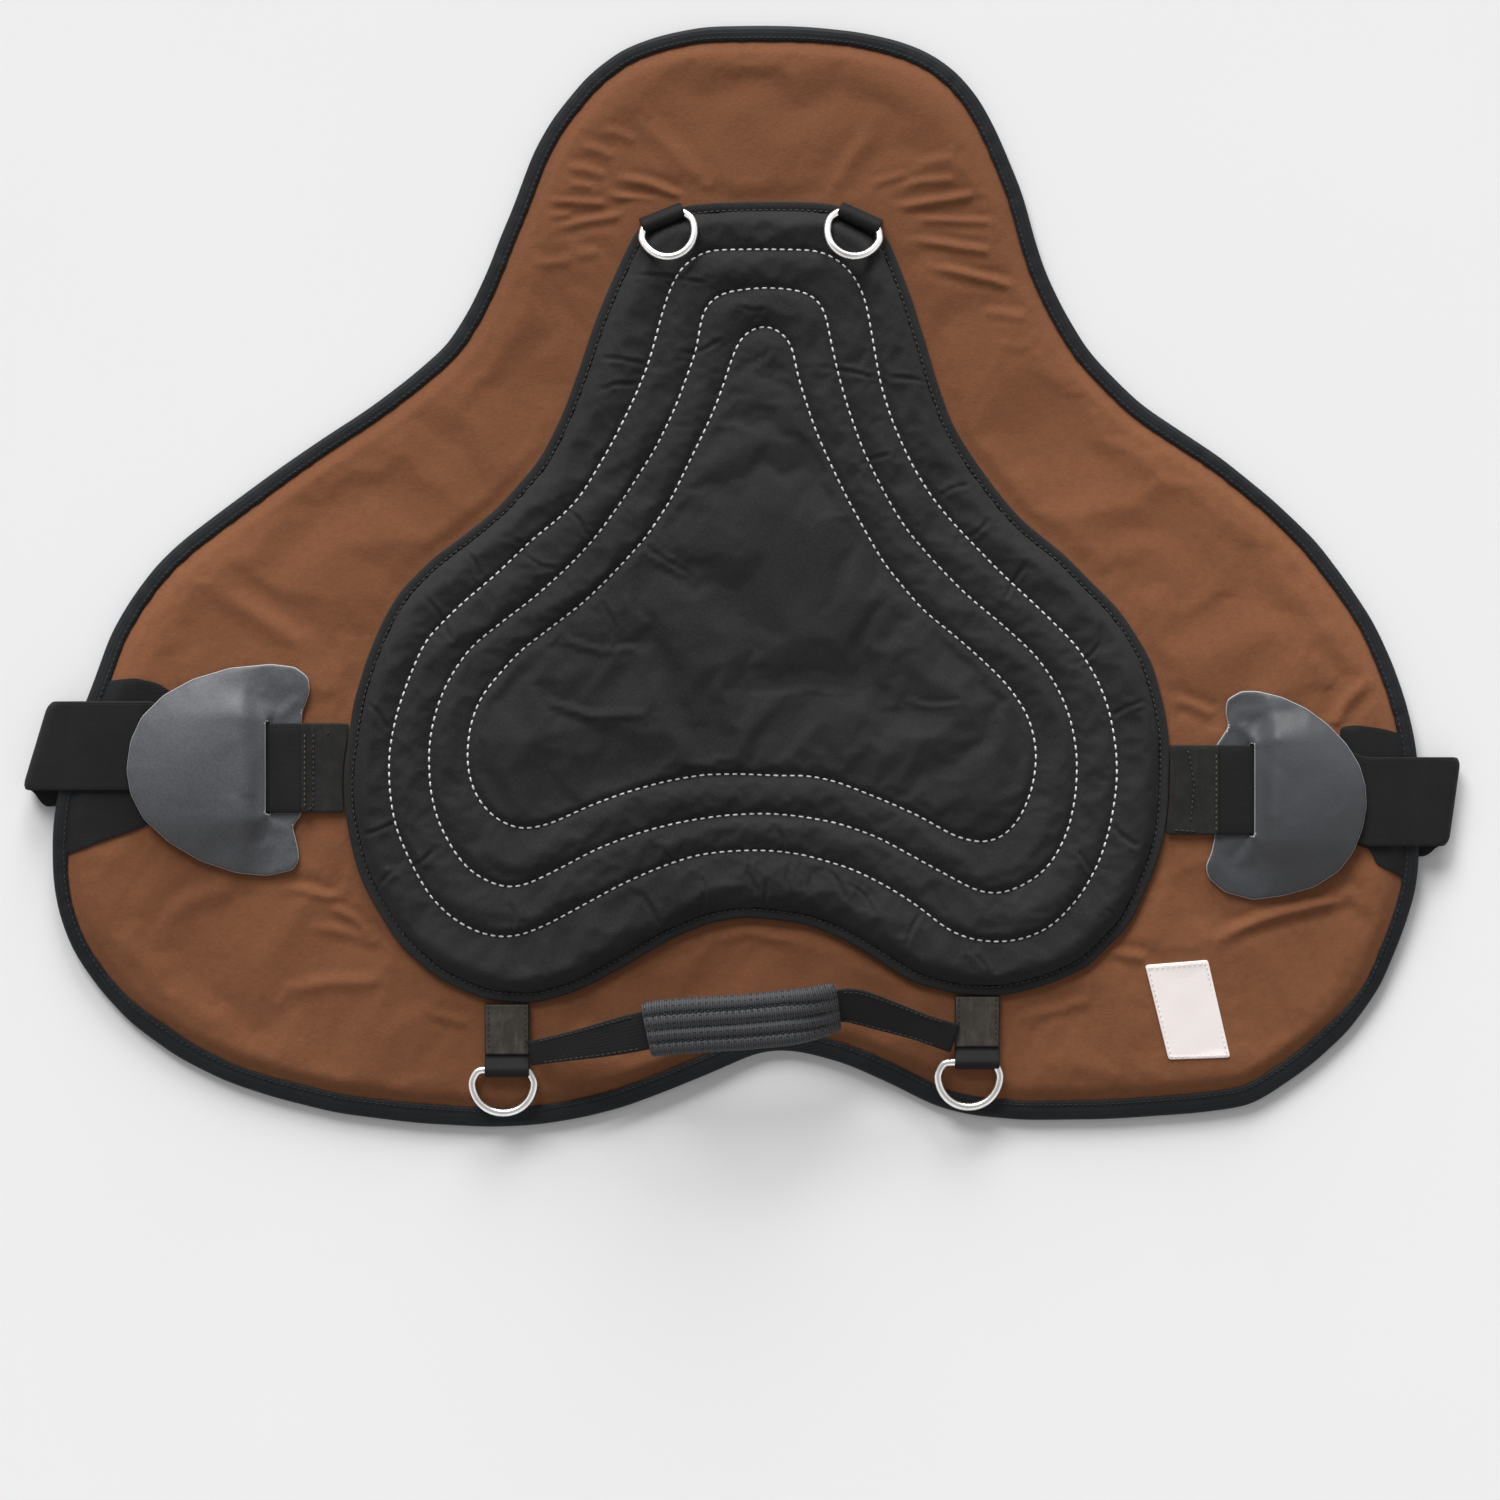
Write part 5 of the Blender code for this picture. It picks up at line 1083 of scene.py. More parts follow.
def sleeve_cloth():
    colour = (0.046, 0.047, 0.050)
    made = Recipe("Ribbed Sleeve", colour, 0.62, sheen=0.03, gloss=0.25)
    ribs = made.bands(0.0013, direction="X")
    dots = made.sums(made.bands(0.0036, direction="X"), made.bands(0.0031, direction="Y"), "MULTIPLY")
    spots_only = made.ranged(dots, 0.72, 0.9)
    # Painted light and shade: the ribs are lighter on their crests and darker between them.
    tone = made.blend(made.ranged(ribs, 0.2, 0.9), shade(colour, 0.55), shade(colour, 1.25))
    tone = made.blend(made.ranged(spots_only, 0.0, 1.0, 0.0, 0.85), tone, shade(colour, 0.22))
    made.coloured(tone)
    made.bumped(ribs, 0.55, 0.0004)
    made.bumped(spots_only, 0.8, 0.0005)
    return made.material


def nickel():
    colour = (0.86, 0.85, 0.83)
    made = Recipe("Bright Nickel", colour, 0.28, metallic=1.0)
    wear = made.noise(90.0, 5.0, 0.7)
    scratch = made.noise(500.0, 4.0, 0.8, made.stretched((1.0, 8.0, 1.0), turn=0.7))
    made.coloured(made.blend(made.ranged(wear, 0.35, 0.7), shade(colour, 0.82), shade(colour, 1.05)))
    made.roughened(made.ranged(scratch, 0.35, 0.75, 0.23, 0.33))
    made.bumped(scratch, 0.005, 0.0002)
    return made.material


def worn_cloth(name, colour, roughness=0.70):
    """Smooth coated cloth, rubbed pale in streaks along the strip."""
    made = Recipe(name, colour, roughness, sheen=0.03, gloss=0.2)
    streaks = made.noise(260.0, 4.0, 0.7, made.stretched((1.0, 0.16, 1.0)))
    rubbed = made.ranged(made.noise(120.0, 4.0, 0.6), 0.42, 0.70)
    tone = made.blend(rubbed, shade(colour, 0.72), shade(colour, 1.25))
    made.coloured(made.blend(made.ranged(streaks, 0.52, 0.78, 0.0, 0.5), tone, shade(colour, 2.2)))
    made.bumped(made.noise(900.0, 3.0, 0.7), 0.25, 0.0003)
    made.bumped(streaks, 0.15, 0.0004)
    return made.material


def thread(name, colour):
    made = Recipe(name, colour, 0.55, sheen=0.05, gloss=0.3)
    twist = made.bands(0.0009, made.stretched((1.0, 1.0, 1.0), turn=0.8), "DIAGONAL")
    # Painted light and shade along the twist: the plies lighter, the grooves between them darker.
    made.coloured(made.blend(twist, shade(colour, 0.82), shade(colour, 1.08)))
    made.bumped(twist, 0.4, 0.0003)
    return made.material


def label_cloth():
    colour = (0.87, 0.80, 0.78)
    made = Recipe("White Label", colour, 0.75, gloss=0.12)
    weave = made.sums(
        made.bands(0.0007, made.places.outputs["Object"], "X"),
        made.bands(0.0007, made.places.outputs["Object"], "Y"), "MULTIPLY",
    )
    made.coloured(made.blend(made.ranged(made.noise(60.0, 3.0), 0.3, 0.7), shade(colour, 0.96), colour))
    made.bumped(weave, 0.15, 0.0002)
    return made.material


def felt():
    colour = (0.030, 0.031, 0.033)
    made = Recipe("Felt Lining", colour, 0.95, sheen=0.12, gloss=0.1)
    fibres = made.noise(600.0, 6.0, 0.8, made.stretched((1.0, 3.0, 1.0), turn=1.1))
    tone = made.blend(made.ranged(made.noise(20.0, 4.0), 0.35, 0.65), shade(colour, 0.8), shade(colour, 1.25))
    made.coloured(made.blend(made.ranged(fibres, 0.5, 0.75, 0.0, 0.5), tone, shade(colour, 2.4)))
    made.bumped(fibres, 0.6, 0.0006)
    made.bumped(made.noise(120.0, 4.0), 0.4, 0.001)
    return made.material


FINISHES = {}
MAKERS = {
    "suede": suede,
    "nubuck": nubuck,
    "leather": leather,
    "cut_edge_and_highlight": cut_edge_and_highlight,
    "nickel": nickel,
    "label": label_cloth,
    "felt": felt,
    "sleeve": sleeve_cloth,
    "binding": lambda: woven(
        "Bound Edge Tape", (0.0105, 0.0122, 0.0145), 0.0021, 0.0007, 0.60, 0.01, 0.25, 0.16),
    "webbing": lambda: woven("Black Webbing", (0.0112, 0.0112, 0.0114), 0.0012, 0.0008, 0.66, 0.02, 0.35),
    "tab_cloth": lambda: worn_cloth("Brown Black Tab", (0.0130, 0.0126, 0.0116)),
    "ring_tab_cloth": lambda: worn_cloth("Worn Ring Tab", (0.0500, 0.0440, 0.0370)),
    "white_thread": lambda: thread("White Thread", (0.72, 0.72, 0.71)),
    "dark_thread": lambda: thread("Black Thread", (0.026, 0.026, 0.027)),
    "edge_thread": lambda: thread("Edge Thread", (0.015, 0.017, 0.019)),
    "olive_thread": lambda: thread("Olive Thread", (0.056, 0.051, 0.034)),
}


def finish(name):
    if name not in FINISHES:
        FINISHES[name] = MAKERS[name]()
    return FINISHES[name]


def put(piece, body="pad", nodes=()):
    """Join a finished piece to its body and the nodes that it stands for."""
    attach(piece, body)
    if nodes:
        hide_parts(*nodes)
    return piece


UP = np.array([0.0, 0.0, 1.0])
BACKWARD = np.array([0.0, 1.0, 0.0])


def upright(count):
    return np.repeat(UP[None], count, axis=0)


def sew(name, line, thread_finish, body="pad", ups=None, nodes=(), **how):
    """Stitches along a line, joined to their body."""
    ups = upright(len(line)) if ups is None else ups
    return put(stitches(name, line, ups, finish(thread_finish), **how), body, nodes)


def rounded_path(path, pitch, reach):
    """A path of webbing in even steps, its turns eased."""
    path = np.array(path)
    return soften(evenly(path, round(length_of(path, False) / pitch), closed=False), reach, closed=False)


# Body of the pad

def build_cover():
    """The brown cover, slack enough to fold a little between the binding, the seat and the fittings."""
    rim = PAD_LOOP.moved_in(0.0026)
    frames = settings().settling_frames
    if frames:
        under_seat = SEAT_LOOP.moved_in(0.010)
        places, triangles, _ = plan_mesh([rim, under_seat], 0.0046)
        loose = smooth((PAD_LOOP.depth(places) - 0.010) / 0.012)
        loose *= smooth(-SEAT_LOOP.depth(places) / 0.008) * smooth(away_from(places, FITTINGS) / 0.012)
        loose *= smooth(-LABEL_LOOP.depth(places) / 0.010)
        held = 1.0 - 0.975 * loose
        moves = settle("cover_settling", places, triangles, cover_shape(places), held,
                       settings().cover_slack, 0.02, 0.6, frames)
        moves[:, :2] = 0.0
        moves *= (loose ** 0.5)[:, None]
        FIELDS["cover"] = Spread(places, np.clip(moves, -0.004, 0.004), 0.0028)
    piece = slab(
        "cover", [rim], cover_level, lambda places: rise(places) + CORE_BOTTOM + 0.0001, 0.0026,
        [finish("suede")], within=SEAT_LOOP.moved_in(0.012), within_pitch=0.010, coarse=0.014,
        fine=near_folds, fine_pitch=0.0012,
    )
    put(piece, nodes=("top_cover", "foam_core"))


def build_lining():
    """The layer that lies on the horse, tucked up a little under the binding."""
    rim = PAD_LOOP.moved_in(0.0024)

    def under(places):
        tucked = 0.0014 * (1 - smooth((PAD_LOOP.depth(places) - 0.007) / 0.008))
        return rise(places) + tucked + 0.00012 * ripple(places, 0.05, 11)

    piece = slab(
        "lining", [rim], lambda places: rise(places) + 0.0036, lambda places: under(places).clip(0.0), 0.006,
        [finish("felt")],
    )
    put(piece, nodes=("lining",))


def build_binding():
    """Tape folded over the edge, a little puckered by its stitches."""
    line = PAD_LOOP.every(0.0014)
    inward = turned_in(line)
    runs = np.arange(len(line)) * 0.0014
    random = np.random.default_rng(21)
    pucker = np.zeros(len(line))
    for _ in range(16):
        turns = round(length_of(line) / random.uniform(0.006, 0.018))
        pucker += np.sin(2 * np.pi * (turns * runs / runs[-1] + random.uniform()))
    pucker /= 4.0
    slow = np.interp(runs, np.linspace(0, runs[-1], 60), random.uniform(-1, 1, 60), period=runs[-1])
    width = binding_width(line) + 0.00035 * slow + 0.00008 * pucker
    base = rise(line)
    step = cover_level(line + inward * width[:, None]) - base
    tip = np.clip(step - 0.0052, 0.0, 0.003) + 0.0054
    outline = [
        (1.0, tip), (1.0, tip + 0.0009), (0.86, tip + 0.0011), (0.55, 0.0067), (0.30, 0.0068), (0.11, 0.0059),
        (0.02, 0.0046), (0.0, 0.0033), (0.02, 0.0020), (0.11, 0.0008), (0.30, 0.0001), (0.9, 0.0002),
        (1.0, 0.0005), (1.0, 0.0012), (0.3, 0.0013), (0.14, 0.0033), (0.3, 0.0052), (0.8, 0.0053),
    ]
    puckered = (0.0, 1.0, 1.0, 1.0, 0.6, 0.6)
    profile = np.zeros((len(line), len(outline), 2))
    for column, (across, level) in enumerate(outline):
        profile[:, column, 0] = width * across
        profile[:, column, 1] = level
        if 0 < column < len(puckered):
            profile[:, column, 1] += 0.00010 * pucker * puckered[column]
    profile[:, :, 1] = np.maximum(profile[:, :, 1], 0.0)
    centres = np.column_stack([line, base])
    sides = np.column_stack([inward, np.zeros(len(line))])
    piece = sweep("binding", centres, sides, upright(len(line)), profile, [finish("binding")], closed=True)
    put(piece, nodes=("edge_binding",))
    row = line + inward * (width * 0.80)[:, None]
    level = base + (profile[:, 2, 1] * 0.7 + profile[:, 3, 1] * 0.3) + 0.0002
    sew("binding_stitches", np.column_stack([row, level]), "edge_thread", radius=0.00026)


# Seat

FULLNESS = 0.62


def channel(share):
    """How high a stuffed channel stands between its two rows of stitches."""
    return np.sin(np.pi * np.clip(share, 0.0, 1.0)) ** FULLNESS


def seat_shape(places):
    """The top of the quilted seat before it puckers."""
    edge = SEAT_LOOP.depth(places)
    outer, middle, inner = (ROW_LOOPS[name].depth(places) for name in ("outer", "middle", "inner"))
    valley, crown, crest = 0.0045, 0.0086, 0.0096
    puff = settings().seat_puff
    run = np.clip(edge - 0.0058, 0.0, None)
    share = run / (run + np.clip(-outer, 0.0, None) + 1e-9)
    rising = np.sin(np.pi / 2 * np.clip(share / 0.45, 0, 1)) ** FULLNESS * crown * puff
    falling = np.cos(np.pi / 2 * np.clip((share - 0.45) / 0.55, 0, 1)) ** FULLNESS
    level = np.where(share < 0.45, rising, valley + (crown * puff - valley) * falling)
    for before, after in ((outer, middle), (middle, inner)):
        share = before / (before - after + 1e-9)
        between = (before > 0) & (after <= 0)
        level = np.where(between, valley + (crown * puff - valley) * channel(share), level)
    middle_fill = (1 - np.exp(-np.maximum(inner, 0.0) / 0.011)) ** FULLNESS
    level = np.where(inner > 0, valley + (crest * puff - valley) * middle_fill, level)
    nearest = np.minimum(np.minimum(np.abs(outer), np.abs(middle)), np.abs(inner))
    free = smooth(nearest / 0.010) * smooth((edge - 0.006) / 0.008)
    wander = 0.00035 * ripple(places, 0.050, 31) + 0.00014 * ripple(places, 0.020, 32)
    tight = np.exp(-((nearest - 0.0045) / 0.004) ** 2) * smooth((edge - 0.005) / 0.005)
    wrinkle = np.abs(ripple(places, 0.0085, 33, 24)) * 0.00022 * tight
    level = level + wander * free + wrinkle
    level = level + crests(places, SEAT_CREASES) * settings().fold_height * smooth((edge - 0.004) / 0.006)
    panel = np.where(edge > 0.0058, 0.0018, HEM_THICKNESS)
    return cover_base(places) + LAY_GAP + panel + np.maximum(level, 0.0)


def seat_level(places):
    level = seat_shape(places)
    if "seat" in FIELDS:
        level = level + FIELDS["seat"].at(places)[:, 2]
    return level


def build_seat():
    """The padded seat: held down along three rows of quilting, and puckered between them."""
    rim = SEAT_LOOP.moved_in(0.0012)
    frames = settings().settling_frames
    if frames:
        places, triangles, _ = plan_mesh([rim], 0.0034, [loop.every(0.0034) for loop in ROW_LOOPS.values()])
        nearest = np.min([np.abs(loop.depth(places)) for loop in ROW_LOOPS.values()], axis=0)
        loose = smooth((nearest - 0.0004) / 0.004) * smooth((SEAT_LOOP.depth(places) - 0.0055) / 0.005)
        held = 1.0 - 0.985 * loose
        moves = settle("seat_settling", places, triangles, seat_shape(places), held,
                       settings().seat_slack, 0.05, 0.35, frames)
        moves[:, :2] = 0.0
        FIELDS["seat"] = Spread(places, np.clip(moves, -0.003, 0.003), 0.0020)
    piece = slab(
        "seat", [rim], seat_level, lambda places: cover_level(places) + 0.0002, 0.0019,
        [finish("nubuck")], lines=[loop.every(0.0019) for loop in ROW_LOOPS.values()], coarse=0.012,
        fine=near_creases, fine_pitch=0.0010,
    )
    put(piece, nodes=("seat_panel", "seat_foam"))


def build_hem():
    """The folded rim of the seat, sewn down along its inner side."""
    line = SEAT_LOOP.every(0.0018)
    inward = turned_in(line)
    random = np.random.default_rng(41)
    steps = np.linspace(0, len(line), 90)
    slow = np.interp(np.arange(len(line)), steps, random.uniform(-1, 1, 90), period=len(line))
    profile = np.array([
        (-0.0028, -0.0022), (-0.0029, -0.0006), (-0.0026, 0.0000), (-0.0019, 0.0003), (0.0, 0.0004),
        (0.0019, 0.0001), (0.0025, -0.0002), (0.0026, -0.0005), (0.0022, -0.0007), (-0.0020, -0.0007),
        (-0.0021, -0.0022),
    ])
    profile = np.repeat(profile[None], len(line), axis=0)
    profile[:, 3:6, 1] += (0.00012 * slow)[:, None]
    places = line + inward * (0.0030 + 0.0002 * slow)[:, None]
    level = cover_base(places) + LAY_GAP + HEM_THICKNESS + 0.0009
    centres = np.column_stack([places, level])
    sides = np.column_stack([inward, np.zeros(len(line))])
    piece = sweep("seat_hem", centres, sides, upright(len(line)), profile, [finish("nubuck")], closed=True)
    put(piece, nodes=("seat_hem",))
    row = line + inward * 0.0050
    level = cover_base(row) + LAY_GAP + HEM_THICKNESS + 0.0009 + 0.0001
    sew("hem_stitches", np.column_stack([row, level]), "dark_thread", radius=0.00038)


def build_quilting():
    """The three pale rows of stitches, in the valleys of the seat."""
    for name, loop in ROW_LOOPS.items():
        row = loop.every(0.0010)
        level = seat_level(row) + 0.00025
        centres = np.column_stack([row, soften(level[:, None], 2)[:, 0]])
        sew(f"quilting_{name}", centres, "white_thread", nodes=(f"quilt_thread_{name}",),
            pitch=0.0046, share=0.70, radius=0.00048, sink=0.0004)


# Rings and their tabs

TAB_WEBBING = 0.0015
TAB_WIDTH = 0.025
RING_WIRE = 0.0022
RING_SLIDES = {"front_left_ring": -0.0045, "front_right_ring": -0.0024}

# Heading in the plan, tilt in degrees, width, depth, and the length of the webbing behind the bar
RINGS = {
    "front_left_ring": ((0.0, -1.0), -8.14, 0.040, 0.030, 0.0370),
    "front_right_ring": ((0.0, -1.0), -7.98, 0.040, 0.029, 0.0370),
    "rear_left_ring": ((-0.40674, -0.91355), 24.25, 0.035, 0.029, 0.0100),
    "rear_right_ring": ((0.37461, -0.92718), 22.25, 0.035, 0.029, 0.0100),
}


def ring_path(reach, half):
    """A D with rounded shoulders: a straight bar, then an arc."""
    shoulder = 0.0036
    points = [(0.0, share * (half - shoulder)) for share in np.linspace(-1, 1, 30)]
    for angle in np.linspace(85, -85, 90):
        run = max(0.0, math.cos(math.radians(angle))) ** 0.8
        points.append((reach * (0.14 + 0.86 * run), half * math.sin(math.radians(angle))))
    even = evenly(np.array(points), 200)
    return soften(even, 4.0)


def build_rings():
    """The four bright rings, each leaning on what lies below it."""
    for name, (heading, tilt, width, depth, _) in RINGS.items():
        bar = np.array(JOINTS[f"{name}_swing"]["pos_m"])
        outward = np.array([*heading, 0.0])
        across = np.array([-heading[1], heading[0], 0.0])
        lean = math.radians(tilt)
        forward = outward * math.cos(lean) + UP * math.sin(lean)
        flat = ring_path(depth - RING_WIRE * 2, width / 2 - RING_WIRE)
        slide = np.array([RING_SLIDES.get(name, 0.0), 0.0, 0.0])
        path = bar + slide + flat[:, :1] * forward + flat[:, 1:] * across
        piece = tube(name + "_wire", path, RING_WIRE, finish("nickel"), 18, np.cross(forward, across))
        put(piece, name, (name,))


def tab_path(bar, heading, length):
    """A doubled strip: out from its sewn end, round the bar and back. A short one stands up from its seam."""
    radius = RING_WIRE + 0.0003 + TAB_WEBBING / 2
    if length < 0.02:
        foot = -radius - 0.0017
        level = cover_level((bar[:2] + foot * np.array(heading))[None])[0] - bar[2] + 0.0003
        upper = np.array([(foot, level), (foot, -0.0032), (foot + 0.0003, -0.0012), (foot + 0.0009, 0.0004)])
        lower = np.zeros((0, 2))
        angles = np.radians(np.linspace(140, -140, 34))
    else:
        distances = np.linspace(-length, -0.0070, 14)
        across = np.array([-heading[1], heading[0]])
        levels = [
            cover_level(bar[:2] + distances[:, None] * np.array(heading) + across * offset)
            for offset in (-0.0115, 0.0, 0.0115)
        ]
        ground = np.max(levels, axis=0) - bar[2]
        upper = np.column_stack([distances, ground + 0.0006 + TAB_WEBBING * 1.5 + 0.0002])
        lower = np.column_stack([distances, ground + 0.0004 + TAB_WEBBING / 2])
        angles = np.radians(np.linspace(105, -90, 26))
    loop = np.stack([np.cos(angles), np.sin(angles)], axis=1) * radius
    return np.vstack([upper, loop, lower[::-1]])


def lifted(path, bar, heading):
    """A side view (outward, height) set in its place beside the ring's bar."""
    outward = np.array([*heading, 0.0])
    return np.asarray(bar) + path[:, :1] * outward + path[:, 1:] * UP


def build_tabs():
    """The webbing loops that hold the rings; the two in front have a panel sewn on."""
    for name, (heading, _, _, _, length) in RINGS.items():
        bar = np.array(JOINTS[f"{name}_swing"]["pos_m"])
        path = tab_path(bar, heading, length)
        across = np.array([-heading[1], heading[0], 0.0])
        place = lifted(rounded_path(path, 0.0005, 1.6), bar, heading)
        piece = strap(name + "_loop", place, across, TAB_WIDTH, TAB_WEBBING, finish("webbing"))
        put(piece, nodes=(name + "_tab",))
        if length < 0.02:
            continue
        upper = path[:14]
        panel = evenly(upper[upper[:, 0] < -0.0085] + [0.0004, TAB_WEBBING / 2 + 0.0005], 40, closed=False)
        piece = strap(name + "_tab_panel", lifted(panel, bar, heading), across, 0.0240, 0.0008,
                      finish("ring_tab_cloth"))
        put(piece)
        for number, offset in enumerate((-0.0104, 0.0104)):
            line = lifted(evenly(panel, 36, closed=False) + [0.0, 0.0004], bar, heading) + across * offset
            sew(f"{name}_tab_stitch_{number}", line, "dark_thread", closed=False, pitch=0.0030)


# Grab handle

HANDLE_START = np.array(JOINTS["handle_swing"]["pos_m"])
HANDLE_SPAN = np.array(JOINTS["handle_swing"]["axis"]) * 0.2374
HANDLE_RISE = 0.024
SLEEVE_LENGTH = 0.106
SLEEVE_HALF = 0.0155

# Course of the handle in the plan: share of its length, and how far it bows back there
HANDLE_COURSE = np.array([
    (0.0, 0.0010), (0.02, 0.0018), (0.15, 0.0078), (0.26, 0.0134), (0.30, 0.0154), (0.40, 0.0168),
    (0.50, 0.0178), (0.60, 0.0196), (0.66, 0.0216), (0.70, 0.0240), (0.735, 0.0272), (0.77, 0.0252),
    (0.88, 0.0158), (1.0, 0.0050),
])


def handle_at(share):
    """The middle of the handle's webbing: a standing arch, with its course in plan."""
    share = np.asarray(share, dtype=float)
    bump = 1 - np.abs(2 * share - 1) ** 3
    dense = np.linspace(0.0, 1.0, 201)
    course = soften(np.interp(dense, *HANDLE_COURSE.T)[:, None], 4, closed=False)[:, 0]
    raised = np.stack([bump * 0, np.interp(share, dense, course), bump * HANDLE_RISE], axis=1)
    return HANDLE_START + HANDLE_SPAN * share[:, None] + raised


def handle_frame(share, twist):
    """Middle, width direction and thickness direction."""
    step = 0.004
    along = unit(handle_at(np.minimum(1.0, share + step)) - handle_at(np.maximum(0.0, share - step)))
    flat = along.copy()
    flat[:, 1] = 0.0
    ups = unit(np.stack([-flat[:, 2], flat[:, 1], flat[:, 0]], axis=1))
    sides = unit(np.cross(ups, along))
    ups = unit(np.cross(along, sides))
    turn = np.radians(twist)[:, None]
    cos, sin = np.cos(turn), np.sin(turn)
    return handle_at(share), sides * cos + ups * sin, ups * cos - sides * sin


def hang(piece, half):
    """Bakes a handle piece's placement into its mesh."""
    fixed, free = (0.02, 0.10) if half == "right" else (0.98, 0.90)
    ends = handle_at(np.array([fixed, free]))
    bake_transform(piece)


def build_handle():
    """The webbing of the grab handle in two halves, the ribbed sleeve over both, and their stitches."""
    sleeve_share = SLEEVE_LENGTH / np.linalg.norm(HANDLE_SPAN)
    start = (1 - sleeve_share) / 2
    shares = np.linspace(0.0, 1.0, 131)
    near = smooth(np.minimum(shares, 1 - shares) / start)
    lean = np.interp(shares, [0.0, 0.6, 0.72, 0.78, 1.0], [6.0, 2.0, 30.0, 22.0, 10.0])
    centres, sides, ups = handle_frame(shares, lean)
    width = 0.0140 + 0.0025 * smooth((shares - 0.9) / 0.1) + 0.0075 * near
    profile = np.stack([tape_profile(wide, 0.0018, 10) for wide in width])
    for half, rows in (("right", slice(0, 66)), ("left", slice(65, 131))):
        piece = sweep(f"handle_webbing_{half}", centres[rows], sides[rows], ups[rows], profile[rows],
                      [finish("webbing")])
        hang(piece, half)
        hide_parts("handle_strap")
    for number, offset in enumerate((-0.42, 0.42)):
        for half, low, high in (("right", 0.03, start - 0.012), ("left", 1 - start + 0.012, 0.97)):
            part = np.linspace(low, high, 70)
            middle, side, up = handle_frame(part, np.interp(part, shares, lean))
            reach = np.interp(part, shares, width) * offset
            line = middle + side * reach[:, None] + up * 0.0010
            piece = stitches(f"handle_stitch_{half}_{number}", line, up, finish("edge_thread"),
                             closed=False, pitch=0.0032)
            hang(piece, half)

    part = np.linspace(start, 1 - start, 150)
    middle, side, up = handle_frame(part, np.interp(part, shares, lean))
    angles = np.linspace(0, 2 * math.pi, 96, endpoint=False)
    cos, sin = np.cos(angles), np.sin(angles)
    across = np.sign(cos) * np.abs(cos) ** 0.72
    thick = np.sign(sin) * np.abs(sin) ** 0.62
    outer = np.zeros((len(part), len(angles), 2))
    inner = np.zeros((len(part), len(angles), 2))
    run = (part - start) / sleeve_share
    ends = np.exp(-np.minimum(run, 1 - run) / 0.035)
    ribs = 0.5 + 0.5 * np.cos(2 * np.pi * run * SLEEVE_LENGTH / 0.0021)
    taper = 1.0 - 0.07 * np.exp(-np.minimum(run, 1 - run) / 0.012)
    welts = np.abs(np.sin(across * np.pi * 2.0)) ** 0.6
    for row in range(len(part)):
        lift = 0.0020 * welts * (1 - 0.5 * ends[row]) + 0.00045 * ribs[row] * (0.3 + 0.7 * ends[row]) - 0.0008
        outer[row, :, 0] = across * SLEEVE_HALF * taper[row]
        outer[row, :, 1] = thick * (0.0038 * taper[row] + lift)
    inner[:, :, 0] = np.clip(across * 0.0150, -0.0120, 0.0120)
    inner[:, :, 1] = thick * 0.0016
    order = np.concatenate([np.arange(len(part)), np.arange(len(part))[::-1]])
    piece = sweep(
        "handle_grip", middle[order], side[order], up[order], np.concatenate([outer, inner[::-1]]),
        [finish("sleeve")], closed=True,
    )
    put(piece, "handle", ("handle_sleeve",))
    for number, offset in enumerate((-0.5, 0.0, 0.5)):
        line = middle[6:-6] + side[6:-6] * SLEEVE_HALF * offset + up[6:-6] * 0.0034
        sew(f"sleeve_stitch_{number}", line, "edge_thread", "handle", up[6:-6], closed=False, share=0.55,
            radius=0.00055, sink=0.0004)


# Label

def with_ones(places):
    return np.column_stack([places, np.ones(len(places))])


def build_label():
    """The bare label, stiffer than the cover below it."""
    around = LABEL_LOOP.moved_in(-0.002).every(0.002)
    tilt = np.linalg.lstsq(with_ones(around), cover_level(around), rcond=None)[0]

    def flat(places):
        """The even slope under the label, or the cover where that stands above it."""
        return np.maximum(with_ones(places) @ tilt, cover_level(places) - 0.0002)

    piece = slab(
        "sewn_label", [LABEL_LOOP], lambda places: flat(places) + 0.0010,
        lambda places: np.minimum(flat(places) - 0.0002, cover_level(places) - 0.0001), 0.0016,
        [finish("label")], rounding=0.0004,
    )
    put(piece, nodes=("label",))
    row = LABEL_LOOP.moved_in(0.0016).every(0.001)
    line = np.column_stack([row, cover_level(row) + 0.0014])
    sew("label_stitches", line, "label", pitch=0.0030, radius=0.00018)


# Guards, buckles and girth webbing

WEBBING = 0.0016
GIRTH_HALF = 0.025
LIP_DEPTH = 0.022
BAR_BEND = 0.00285
BUCKLE_WIRE = 0.00172
SLOT_RADIUS = 0.0011
SLOT_HALF = 0.0247


def along_girth(girth, distances):
    """The highest cover across the webbing at distances outward from the seat."""
    distances = np.asarray(distances, dtype=float)
    best = np.full(len(distances), -1.0)
    for offset in (-0.023, -0.012, 0.0, 0.012, 0.023):
        level = np.full(len(distances), girth["y"] + offset)
        places = np.column_stack([girth["start"] + girth["side"] * distances, level])
        best = np.maximum(best, cover_level(places))
    return best


def girth_distances(girth):
    """How far the slot, the buckle's bar, its roller and the pad's edge are from the seat."""
    places = (girth["slot"], girth["bar"][0], girth["roller"][0], edge_at(girth["side"], girth["y"]))
    return [abs(place - girth["start"]) for place in places]


def bend(start, stop, radius, centre, steps):
    """Points of an arc from one heading to another, in degrees."""
    angles = np.radians(np.linspace(start, stop, steps))
    return [(centre[0] + radius * math.cos(angle), centre[1] + radius * math.sin(angle)) for angle in angles]


